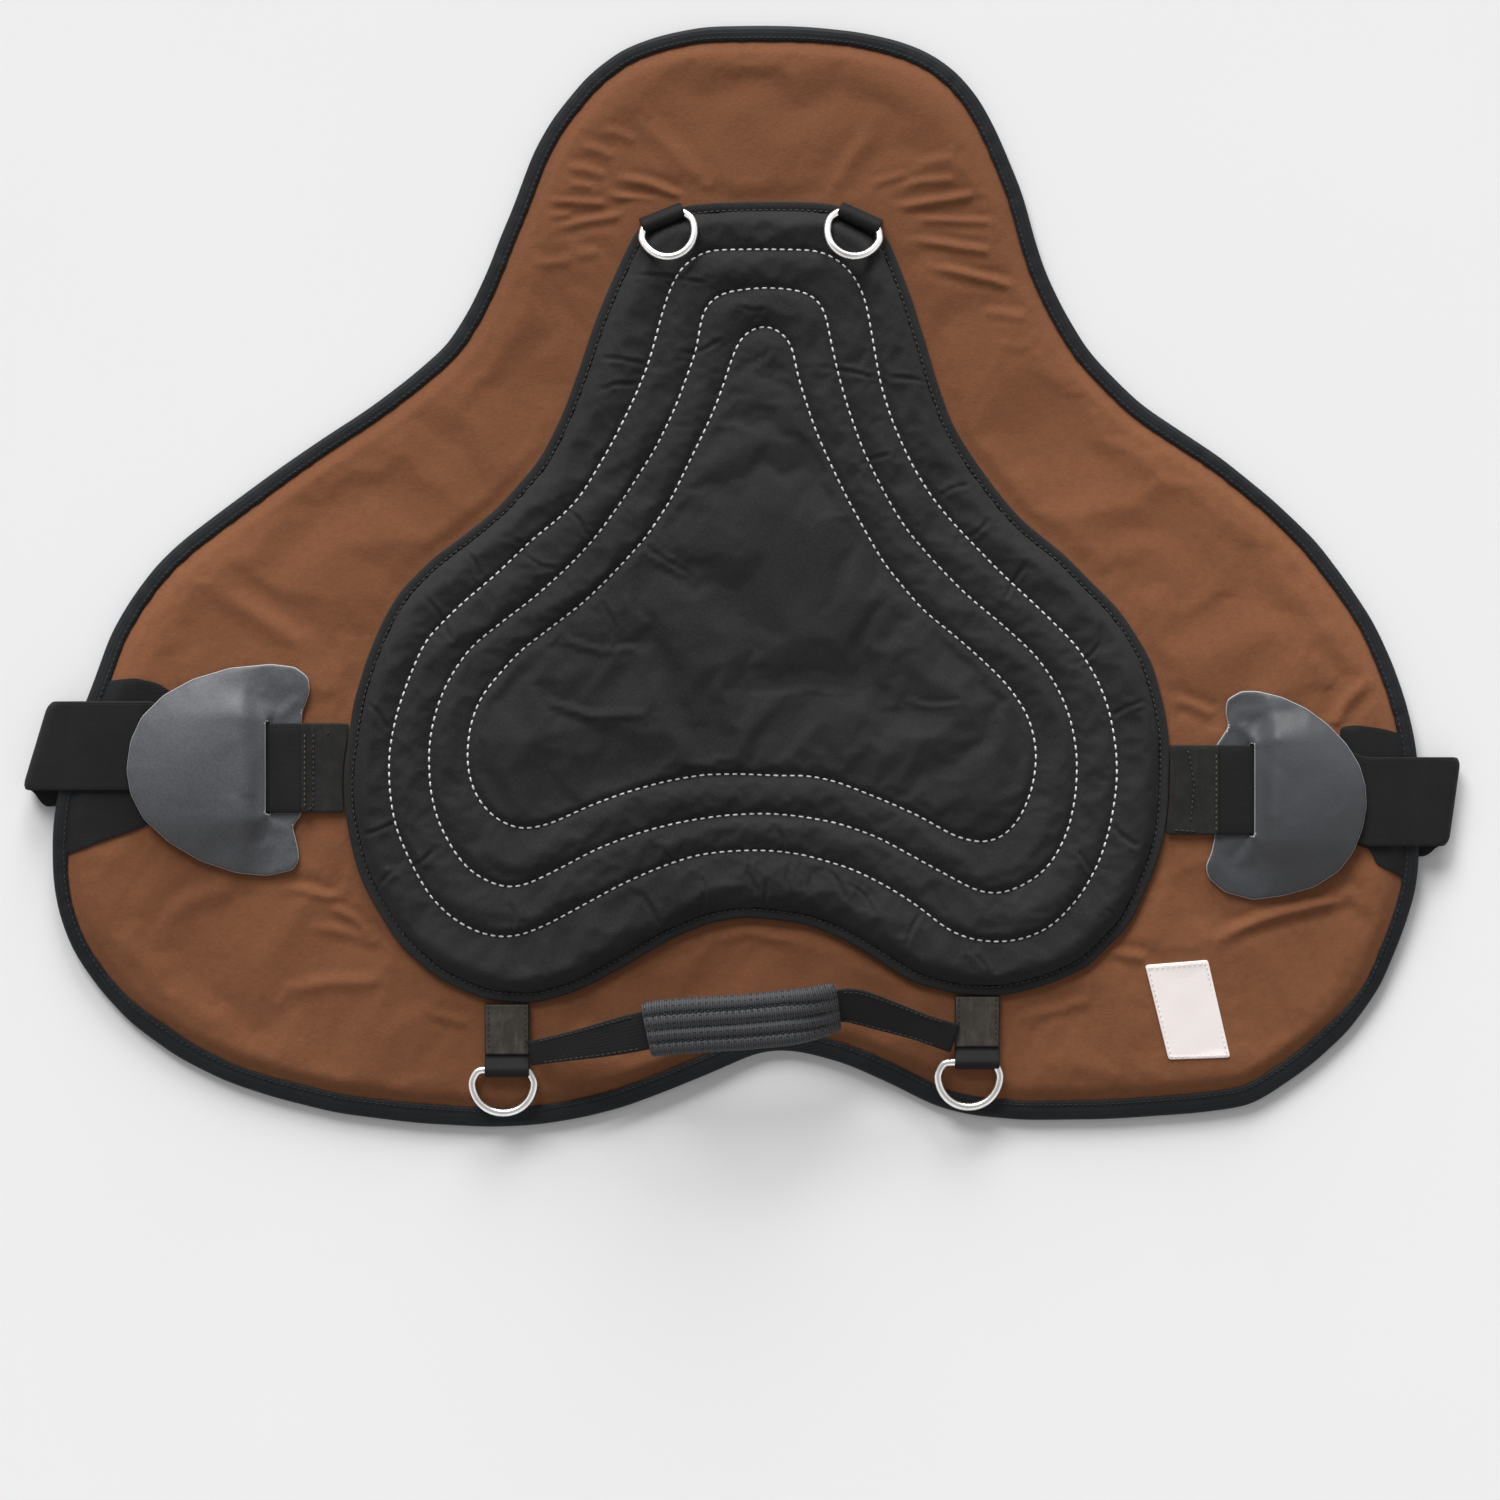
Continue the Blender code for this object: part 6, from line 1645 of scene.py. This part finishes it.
def build_girth_tab(name):
    """Webbing sewn at the seat: over the guard's lip, down through its slot and round the buckle's bar."""
    girth = GIRTHS[name]
    slot, bar, _, _ = girth_distances(girth)
    lip = slot - LIP_DEPTH
    lay, lap = LAY_GAP + WEBBING / 2, LAY_GAP + GUARD_THICKNESS + 0.0004 + WEBBING / 2
    distances = [
        0.0008, lip * 0.3, lip * 0.6, lip - 0.004, lip + 0.0012, lip + 0.006, lip + 0.012,
        slot - 0.001, slot + 0.0015,
    ]
    lifts = [lay, lay, lay, lay + 0.0002, lap, lap, lap, lap, lap]
    path = [(d, g + h) for d, g, h in zip(distances, along_girth(girth, distances), lifts)]
    path += bend(110, -110, BAR_BEND, (bar, girth["bar"][2]), 20)
    back = bar - 0.0075
    path.append((back, along_girth(girth, [back])[0] + lay))
    rounded = rounded_path(path, 0.0005, 2.0)
    place = np.column_stack([
        girth["start"] + girth["side"] * rounded[:, 0], np.full(len(rounded), girth["y"]), rounded[:, 1]
    ])
    piece = strap(f"{name}_girth_tab_web", place, BACKWARD, GIRTH_HALF * 2, WEBBING, finish("webbing"))
    put(piece, nodes=(f"{name}_girth_tab",))

    levels = girth["y"] + np.linspace(-0.0248, 0.0248, 40)
    outline = SEAT_LOOP.points[SEAT_LOOP.points[:, 0] * girth["side"] > 0]
    corners = []
    for level in levels:
        nearest = np.abs(outline[:, 1] - level).argsort()[:3]
        corners.append((outline[nearest, 0].mean() + girth["side"] * 0.0004, level))
    far = girth["start"] + girth["side"] * (lip + 0.0035)
    corners += [(far, levels[-1]), (far, levels[0])]
    base = Loop(soften(evenly(np.array(corners), 400), 2), 0.0015)
    over = np.array([0.0, lip - 0.006, lip - 0.001, lip + 0.003, lip + 0.006])
    top = along_girth(girth, over) + np.array([lay, lay, lay + 0.0008, lap, lap]) + WEBBING / 2

    def bottom(places):
        return np.interp(girth["side"] * (places[:, 0] - girth["start"]), over, top) + 0.0001

    piece = slab(
        f"{name}_tab_base", [base], lambda places: bottom(places) + 0.0010, bottom, 0.002,
        [finish("tab_cloth")], rounding=0.0004,
    )
    put(piece)
    return bottom


def build_tab_stitches(name, bottom):
    """Rows of stitches that hold the girth tab; the first is olive."""
    girth = GIRTHS[name]
    lip = girth_distances(girth)[0] - LIP_DEPTH
    rows = {
        "right": [
            [(lip + 0.0015, -0.022), (lip + 0.0015, 0.022)], [(lip - 0.0032, -0.022), (lip - 0.0032, 0.022)],
            [(0.008, 0.020), (0.011, 0.017)], [(lip - 0.001, -0.0235), (lip - 0.004, -0.020)],
        ],
        "left": [
            [(lip + 0.0020, -0.023), (lip + 0.0020, 0.023)],
            [(0.0105, 0.022), (0.0140, 0.003), (0.0115, -0.021)], [(0.003, -0.0225), (0.018, -0.0235)],
        ],
    }[name]
    for number, row in enumerate(rows):
        row = np.array(row, dtype=float)
        points = evenly(row, max(6, round(length_of(row, False) / 0.0008)), False)
        places = np.column_stack([girth["start"] + girth["side"] * points[:, 0], girth["y"] + points[:, 1]])
        line = np.column_stack([places, bottom(places) + 0.0012])
        sew(f"{name}_tab_stitch_{number}", line, "olive_thread" if number == 0 else "dark_thread",
            closed=False, pitch=0.0030, radius=0.00038)


def build_girth_strap(name):
    """Webbing from the buckle out over the edge, folded back twice below."""
    girth = GIRTHS[name]
    slot, bar, roller, edge = girth_distances(girth)
    over = girth["bar"][2] + BAR_BEND + WEBBING + 0.0003
    patch = slot + girth["flap_reach"] - 0.006
    lay, lap = LAY_GAP + WEBBING / 2, LAY_GAP + PATCH_THICKNESS + WEBBING / 2
    path = [(bar - 0.006, over), (bar, over + 0.0001), (bar + 0.0045, over)]
    laid = [roller - 0.0009, roller + 0.005, (roller + patch) / 2, patch - 0.006]
    path += list(zip(laid, along_girth(girth, laid) + lay))
    laid = np.linspace(patch - 0.0006, edge - 0.0115, 5)
    path += list(zip(laid, along_girth(girth, laid) + lap))
    middle = WEBBING * 1.5 + 0.0003
    top = STRAP_RISE + BINDING_TOP + LAY_GAP + WEBBING / 2
    outside = edge + girth["overhang"]
    inner = edge - 0.025
    radius = (top - middle) / 2
    path.append((edge - 0.004, top + 0.0001))
    path += bend(90, -90, radius, (outside - WEBBING / 2 - radius, middle + radius), 18)
    path.append((inner + 0.02, middle))
    small = (middle - WEBBING / 2) / 2
    path += bend(90, 270, small, (inner - small, WEBBING / 2 + small), 10)
    path += [(inner + 0.02, WEBBING / 2), (outside - 0.006, WEBBING / 2)]
    rounded = rounded_path(path, 0.0006, 1.6)

    beyond = np.clip(rounded[:, 0] - roller - 0.0025, 0, None)
    turned = np.maximum.accumulate(beyond)
    below = smooth((turned - beyond) / 0.010)
    out_here = smooth((rounded[:, 0] - edge + 0.05) / 0.06)
    shear = girth["skew"] * smooth(beyond / 0.024) + girth["fold_drop"] * below * out_here
    place = np.column_stack([
        girth["start"] + girth["side"] * rounded[:, 0], girth["y"] + shear, rounded[:, 1]
    ])
    lean = girth["fold_lean"] * smooth((rounded[:, 0] - (edge - 0.012)) / 0.02)
    sides = np.column_stack([lean, np.ones(len(lean)), np.zeros(len(lean))])
    along = unit(np.gradient(place, axis=0))
    ups = unit(np.cross(along, unit(sides)))
    profile = tape_profile(GIRTH_HALF * 2, WEBBING, 24)
    piece = sweep(f"{name}_girth_web", place, sides, ups, profile, [finish("webbing")])

    # The corners of the outer fold are drawn in a little
    corners = np.array([vertex.co for vertex in piece.data.vertices])
    reach = np.append(np.repeat(rounded[:, 0], len(profile)), rounded[[0, -1], 0])
    middle_y = np.append(np.repeat(place[:, 1], len(profile)), place[[0, -1], 1])
    corner = np.clip((np.abs(corners[:, 1] - middle_y) - 0.019) / 0.006, 0.0, 1.0)
    back = 0.0035 * (1 - np.sqrt(1 - corner ** 2)) * smooth((reach - (edge - 0.004)) / 0.012)
    corners[:, 0] -= girth["side"] * back
    piece.data.vertices.foreach_set("co", corners.ravel())
    piece.data.update()
    put(piece, nodes=(f"{name}_girth_strap",))


def build_patch(name):
    """The reinforcement between the guard and the pad's edge."""
    loop = loop_of(PATCH_PIXELS[name], 0.0015)
    piece = slab(
        f"{name}_patch", [loop], lambda places: cover_level(places) + 0.0013,
        lambda places: cover_level(places) + 0.0002, 0.002, [finish("webbing")], rounding=0.0004,
    )
    put(piece, nodes=(f"{name}_edge_patch",))


def build_buckle(name):
    """The buckle's wire frame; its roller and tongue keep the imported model's form."""
    girth = GIRTHS[name]
    bar, roller = np.array(girth["bar"]), np.array(girth["roller"])
    forward = roller - bar
    reach = np.linalg.norm(forward)
    forward /= reach
    half = GIRTH_HALF + 0.0010 + 0.00175
    corner = 0.004
    flat = []
    for x, y, start in ((corner, -half + corner, 180), (reach - corner, -half + corner, 270),
                        (reach - corner, half - corner, 0), (corner, half - corner, 90)):
        flat += bend(start, start + 90, corner, (x, y), 10)
    flat = evenly(np.array(flat), 220)
    path = bar + flat[:, :1] * forward + flat[:, 1:] * BACKWARD
    normal = np.cross(forward, BACKWARD)
    piece = tube(f"{name}_frame_wire", path, BUCKLE_WIRE, finish("nickel"), 14, normal)
    put(piece, nodes=(f"{name}_buckle_frame",))
    for node in (f"{name}_buckle_roller", f"{name}_buckle_tongue"):
        for place in frame["nodes"][node].material_slots:
            place.material = finish("nickel")


def flap_centre(name):
    girth = GIRTHS[name]
    return np.array([girth["slot"] + girth["side"] * girth["flap_reach"] * 0.48, girth["y"]])


GUARDS = {name: loop_of(pixels, 0.0014) for name, pixels in GUARD_PIXELS.items()}
GUARD_RADII = {name: radii_round(flap_centre(name), loop, 720) for name, loop in GUARDS.items()}


def guard_share(name, places):
    """How far each place is from the middle of the flap (0) to its outline (1)."""
    headings, radii = GUARD_RADII[name]
    offset = places - flap_centre(name)
    radius = np.interp(np.arctan2(offset[:, 1], offset[:, 0]), headings, radii, period=2 * math.pi)
    return np.clip(np.linalg.norm(offset, axis=1) / radius, 0, 1)


def guard_bottom(name, places):
    """The leather's lower face: on the pad inward of its slot, domed over the buckle outward of it."""
    girth = GIRTHS[name]
    out = girth["side"] * (places[:, 0] - girth["slot"])
    along = np.abs(places[:, 1] - girth["y"])
    out_share = np.clip(out / girth["flap_reach"], 0.0, 1.0)
    past = np.clip(along - 0.0256, 0.0, None)
    turn = eased_in(out / (0.0026 + past * 2.2) + 0.5)
    turn = np.where(past > 0, turn, (out > 0).astype(float))
    beyond = smooth((along - 0.0268) / (0.013 + 0.35 * np.clip(out, 0.0, None)))
    bridge = (0.0052 + (0.0026 - 0.0052) * out_share) * (1 - beyond)
    patch = PATCH_THICKNESS * smooth(out_share * 2)
    share = guard_share(name, places)
    dome = settings().guard_dome * np.clip(1 - share ** 2, 0.0, 1.0) ** 0.85 * eased_in(out / 0.0160)
    pull = 0.0016 * np.exp(-((out - 0.007) / 0.006) ** 2) * np.exp(-(along / 0.022) ** 4)
    uneven = 0.00020 * ripple(places, 0.045, 51) * smooth((1 - share) / 0.3) * turn
    creases = crests(places, GUARD_CREASES[name]) * smooth((1 - share) / 0.06) * 0.75
    return cover_level(places) + LAY_GAP + (bridge + dome + pull) * turn + patch + uneven + creases


def build_guard(name):
    """A leather guard: the lip lies on the pad, the webbing dives through the slot under the domed flap."""
    girth = GIRTHS[name]
    x, y, side = girth["slot"], girth["y"], girth["side"]
    slot = np.array([
        (SLOT_RADIUS * math.cos(angle), end * SLOT_HALF + SLOT_RADIUS * math.sin(angle))
        for end, turn in ((1, 0.0), (-1, math.pi)) for angle in np.linspace(turn, turn + math.pi, 7)
    ])
    # The rims, the slot's edges too, take the cut edge finish: a raw edge painted pale as a highlight.
    piece = slab(
        f"{name}_guard", [GUARDS[name], Loop(slot + [x, y], SLOT_RADIUS)],
        lambda places: guard_bottom(name, places) + GUARD_THICKNESS,
        lambda places: guard_bottom(name, places), 0.0016, [finish("leather")], rounding=0.0012,
        rim_finish=finish("cut_edge_and_highlight"),
    )
    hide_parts(f"{name}_guard_lip", f"{name}_guard_flap")
    level = float(cover_level(np.array([[x, y]]))[0]) + 0.005
    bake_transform(piece)


# Studio

def build_stage():
    """A pale floor seen from straight above, two soft lamps behind the pad and even light from all round."""
    scene = bpy.context.scene
    target = spot((750, 750))
    camera = bpy.data.objects.new("Photo Camera", bpy.data.cameras.new("Photo Camera"))
    camera.data.lens = 100
    camera.data.sensor_width = 36
    width = 1500 * PIXEL
    camera.location = (target[0], target[1], 0.015 + width / 2 / 0.18)
    camera.data.clip_end = 20
    scene.collection.objects.link(camera)
    scene.camera = camera

    floor_finish = Recipe("Pale Paper", (0.808, 0.808, 0.808), 1.0, gloss=0.0)
    floor_finish.coloured(floor_finish.blend(
        floor_finish.ranged(floor_finish.noise(3.0), 0.3, 0.7), (0.803, 0.803, 0.803), (0.813, 0.813, 0.813)))
    half = 12.0
    mesh = bpy.data.meshes.new("Studio Floor")
    corners = [(-half, -half), (half, -half), (half, half), (-half, half)]
    mesh.from_pydata([(x, y, -0.0004) for x, y in corners], [], [(0, 1, 2, 3)])
    mesh.materials.append(floor_finish.material)
    floor = bpy.data.objects.new("Studio Floor", mesh)
    scene.collection.objects.link(floor)

    def lamp(name, place, power):
        """A far, soft light, so that it falls evenly over the whole floor."""
        light = bpy.data.lights.new(name, "SUN")
        light.angle = math.radians(26)
        light.energy = power
        item = bpy.data.objects.new(name, light)
        item.location = place
        item.rotation_euler = (-Vector(place)).to_track_quat("-Z", "Y").to_euler()
        scene.collection.objects.link(item)
        return item

    lamps = [
        lamp("Key Softbox", (-1.0, 2.5, 1.75), settings().key_power),
        lamp("Low Softbox", (0.2, 2.5, 0.72), settings().low_power),
    ]
    world = bpy.data.worlds.new("Studio")
    world.use_nodes = True
    background = next(node for node in world.node_tree.nodes if node.type == "BACKGROUND")
    background.inputs["Color"].default_value = (1.0, 1.0, 1.0, 1.0)
    nodes, links = world.node_tree.nodes, world.node_tree.links

    def joined(operation, *values):
        made = nodes.new("ShaderNodeMath")
        made.operation = operation
        for number, value in enumerate(values):
            if isinstance(value, bpy.types.NodeSocket):
                links.new(value, made.inputs[number])
            else:
                made.inputs[number].default_value = value
        return made.outputs["Value"]

    direction = nodes.new("ShaderNodeSeparateXYZ")
    links.new(nodes.new("ShaderNodeTexCoord").outputs["Generated"], direction.inputs["Vector"])
    low = nodes.new("ShaderNodeMapRange")
    for socket, value in (("From Min", 0.35), ("From Max", 0.95), ("To Min", 0.75), ("To Max", 0.0)):
        low.inputs[socket].default_value = value
    links.new(direction.outputs["Z"], low.inputs["Value"])
    ray = nodes.new("ShaderNodeLightPath")
    cards = joined("MULTIPLY_ADD", ray.outputs["Is Glossy Ray"], low.outputs["Result"], settings().room_light)
    backdrop = joined("MULTIPLY_ADD", ray.outputs["Is Camera Ray"], 0.85 - settings().room_light, cards)
    links.new(backdrop, background.inputs["Strength"])
    scene.world = world
    scene.view_settings.view_transform = "Standard"


# Add-on

class BarebackPadSettings(bpy.types.PropertyGroup):
    cover_colour: bpy.props.FloatVectorProperty(
        name="Cover Colour", description="Colour of the brown cover", default=(0.185, 0.074, 0.035),
        subtype="COLOR", min=0.0, max=1.0)
    seat_colour: bpy.props.FloatVectorProperty(
        name="Seat Colour", description="Colour of the quilted seat", default=(0.0166, 0.0166, 0.0170),
        subtype="COLOR", min=0.0, max=1.0)
    leather_colour: bpy.props.FloatVectorProperty(
        name="Leather Colour", description="Colour of the two guards", default=(0.066, 0.068, 0.075),
        subtype="COLOR", min=0.0, max=1.0)
    fold_height: bpy.props.FloatProperty(
        name="Fold Height", description="Height of the drawn folds and creases", default=0.75, min=0.0,
        max=3.0)
    settling_frames: bpy.props.IntProperty(
        name="Settling Frames", description="Frames the fabrics settle for; none leaves them smooth",
        default=22, min=0, max=80)
    cover_slack: bpy.props.FloatProperty(
        name="Cover Slack", description="Spare cloth in the brown cover", default=0.004, min=0.0, max=0.1,
        subtype="FACTOR")
    seat_slack: bpy.props.FloatProperty(
        name="Seat Slack", description="Spare cloth between the rows of quilting", default=0.020, min=0.0,
        max=0.1, subtype="FACTOR")
    seat_puff: bpy.props.FloatProperty(
        name="Seat Fill", description="How full the quilted channels are", default=1.0, min=0.5, max=1.5,
        subtype="FACTOR")
    guard_dome: bpy.props.FloatProperty(
        name="Guard Dome", description="Height of the leather over the buckle", default=0.0092, min=0.004,
        max=0.012, unit="LENGTH")
    key_power: bpy.props.FloatProperty(
        name="Key Power", description="Strength of the main light in watts per square metre", default=2.40,
        min=0.0)
    low_power: bpy.props.FloatProperty(
        name="Low Light", description="Strength of the low lamp behind the pad", default=2.8, min=0.0)
    room_light: bpy.props.FloatProperty(
        name="Room Light", description="Strength of the even light from all round", default=0.40, min=0.0)


class Undoable:
    bl_options = {"REGISTER", "UNDO"}


class BAREBACK_OT_cover(Undoable, bpy.types.Operator):
    """Build the brown cover and settle its folds"""
    bl_idname = "bareback.cover"
    bl_label = "Cover"

    def execute(self, context):
        build_cover()
        return {"FINISHED"}


class BAREBACK_OT_lining(Undoable, bpy.types.Operator):
    """Build the felt lining"""
    bl_idname = "bareback.lining"
    bl_label = "Lining"

    def execute(self, context):
        build_lining()
        return {"FINISHED"}


class BAREBACK_OT_binding(Undoable, bpy.types.Operator):
    """Build the edge tape and its stitches"""
    bl_idname = "bareback.binding"
    bl_label = "Binding"

    def execute(self, context):
        build_binding()
        return {"FINISHED"}


class BAREBACK_OT_seat(Undoable, bpy.types.Operator):
    """Build the padded black seat"""
    bl_idname = "bareback.seat"
    bl_label = "Seat"

    def execute(self, context):
        build_seat()
        return {"FINISHED"}


class BAREBACK_OT_seat_hem(Undoable, bpy.types.Operator):
    """Build the hem round the seat"""
    bl_idname = "bareback.seat_hem"
    bl_label = "Seat Hem"

    def execute(self, context):
        build_hem()
        return {"FINISHED"}


class BAREBACK_OT_quilting(Undoable, bpy.types.Operator):
    """Sew the three pale rows"""
    bl_idname = "bareback.quilting"
    bl_label = "Quilting"

    def execute(self, context):
        build_quilting()
        return {"FINISHED"}


class BAREBACK_OT_ring_tabs(Undoable, bpy.types.Operator):
    """Build the four webbing loops"""
    bl_idname = "bareback.ring_tabs"
    bl_label = "Ring Tabs"

    def execute(self, context):
        build_tabs()
        return {"FINISHED"}


class BAREBACK_OT_rings(Undoable, bpy.types.Operator):
    """Build the four D rings"""
    bl_idname = "bareback.rings"
    bl_label = "Rings"

    def execute(self, context):
        build_rings()
        return {"FINISHED"}


class BAREBACK_OT_handle(Undoable, bpy.types.Operator):
    """Build the grab handle and its sleeve"""
    bl_idname = "bareback.handle"
    bl_label = "Handle"

    def execute(self, context):
        build_handle()
        return {"FINISHED"}


class BAREBACK_OT_label(Undoable, bpy.types.Operator):
    """Build the bare label"""
    bl_idname = "bareback.label"
    bl_label = "Label"

    def execute(self, context):
        build_label()
        return {"FINISHED"}


class BAREBACK_OT_edge_patches(Undoable, bpy.types.Operator):
    """Build the reinforcements at the side edges"""
    bl_idname = "bareback.edge_patches"
    bl_label = "Edge Patches"

    def execute(self, context):
        for name in GIRTHS:
            build_patch(name)
        return {"FINISHED"}


class BAREBACK_OT_girth_tabs(Undoable, bpy.types.Operator):
    """Build the webbing sewn at the seat"""
    bl_idname = "bareback.girth_tabs"
    bl_label = "Girth Tabs"

    def execute(self, context):
        for name in GIRTHS:
            build_tab_stitches(name, build_girth_tab(name))
        return {"FINISHED"}


class BAREBACK_OT_girth_straps(Undoable, bpy.types.Operator):
    """Build the folded girth webbing"""
    bl_idname = "bareback.girth_straps"
    bl_label = "Girth Straps"

    def execute(self, context):
        for name in GIRTHS:
            build_girth_strap(name)
        return {"FINISHED"}


class BAREBACK_OT_buckles(Undoable, bpy.types.Operator):
    """Build the buckle frames"""
    bl_idname = "bareback.buckles"
    bl_label = "Buckles"

    def execute(self, context):
        for name in GIRTHS:
            build_buckle(name)
        return {"FINISHED"}


class BAREBACK_OT_guards(Undoable, bpy.types.Operator):
    """Build the leather guards"""
    bl_idname = "bareback.guards"
    bl_label = "Guards"

    def execute(self, context):
        for name in GIRTHS:
            build_guard(name)
        return {"FINISHED"}


class BAREBACK_OT_stage(Undoable, bpy.types.Operator):
    """Build the floor, lamps and camera"""
    bl_idname = "bareback.stage"
    bl_label = "Stage"

    def execute(self, context):
        build_stage()
        return {"FINISHED"}


STEPS = [
    BAREBACK_OT_cover, BAREBACK_OT_lining, BAREBACK_OT_binding, BAREBACK_OT_seat, BAREBACK_OT_seat_hem,
    BAREBACK_OT_quilting, BAREBACK_OT_ring_tabs, BAREBACK_OT_rings, BAREBACK_OT_handle, BAREBACK_OT_label,
    BAREBACK_OT_edge_patches, BAREBACK_OT_girth_tabs, BAREBACK_OT_girth_straps, BAREBACK_OT_buckles,
    BAREBACK_OT_guards, BAREBACK_OT_stage,
]


class BAREBACK_PT_panel(bpy.types.Panel):
    bl_label = "Bareback Pad"
    bl_idname = "BAREBACK_PT_panel"
    bl_space_type = "VIEW_3D"
    bl_region_type = "UI"
    bl_category = "Bareback Pad"

    def draw(self, context):
        column = self.layout.column()
        for name in BarebackPadSettings.__annotations__:
            column.prop(context.scene.bareback_pad, name)
        for step in STEPS:
            column.operator(step.bl_idname)


CLASSES = [BarebackPadSettings, *STEPS, BAREBACK_PT_panel]


def register():
    for kind in CLASSES:
        bpy.utils.register_class(kind)
    bpy.types.Scene.bareback_pad = bpy.props.PointerProperty(type=BarebackPadSettings)


def unregister():
    del bpy.types.Scene.bareback_pad
    for kind in reversed(CLASSES):
        bpy.utils.unregister_class(kind)


def main():
    register()
    for step in STEPS:
        getattr(bpy.ops.bareback, step.bl_idname.split(".")[1])()


if __name__ == "__main__":
    main()
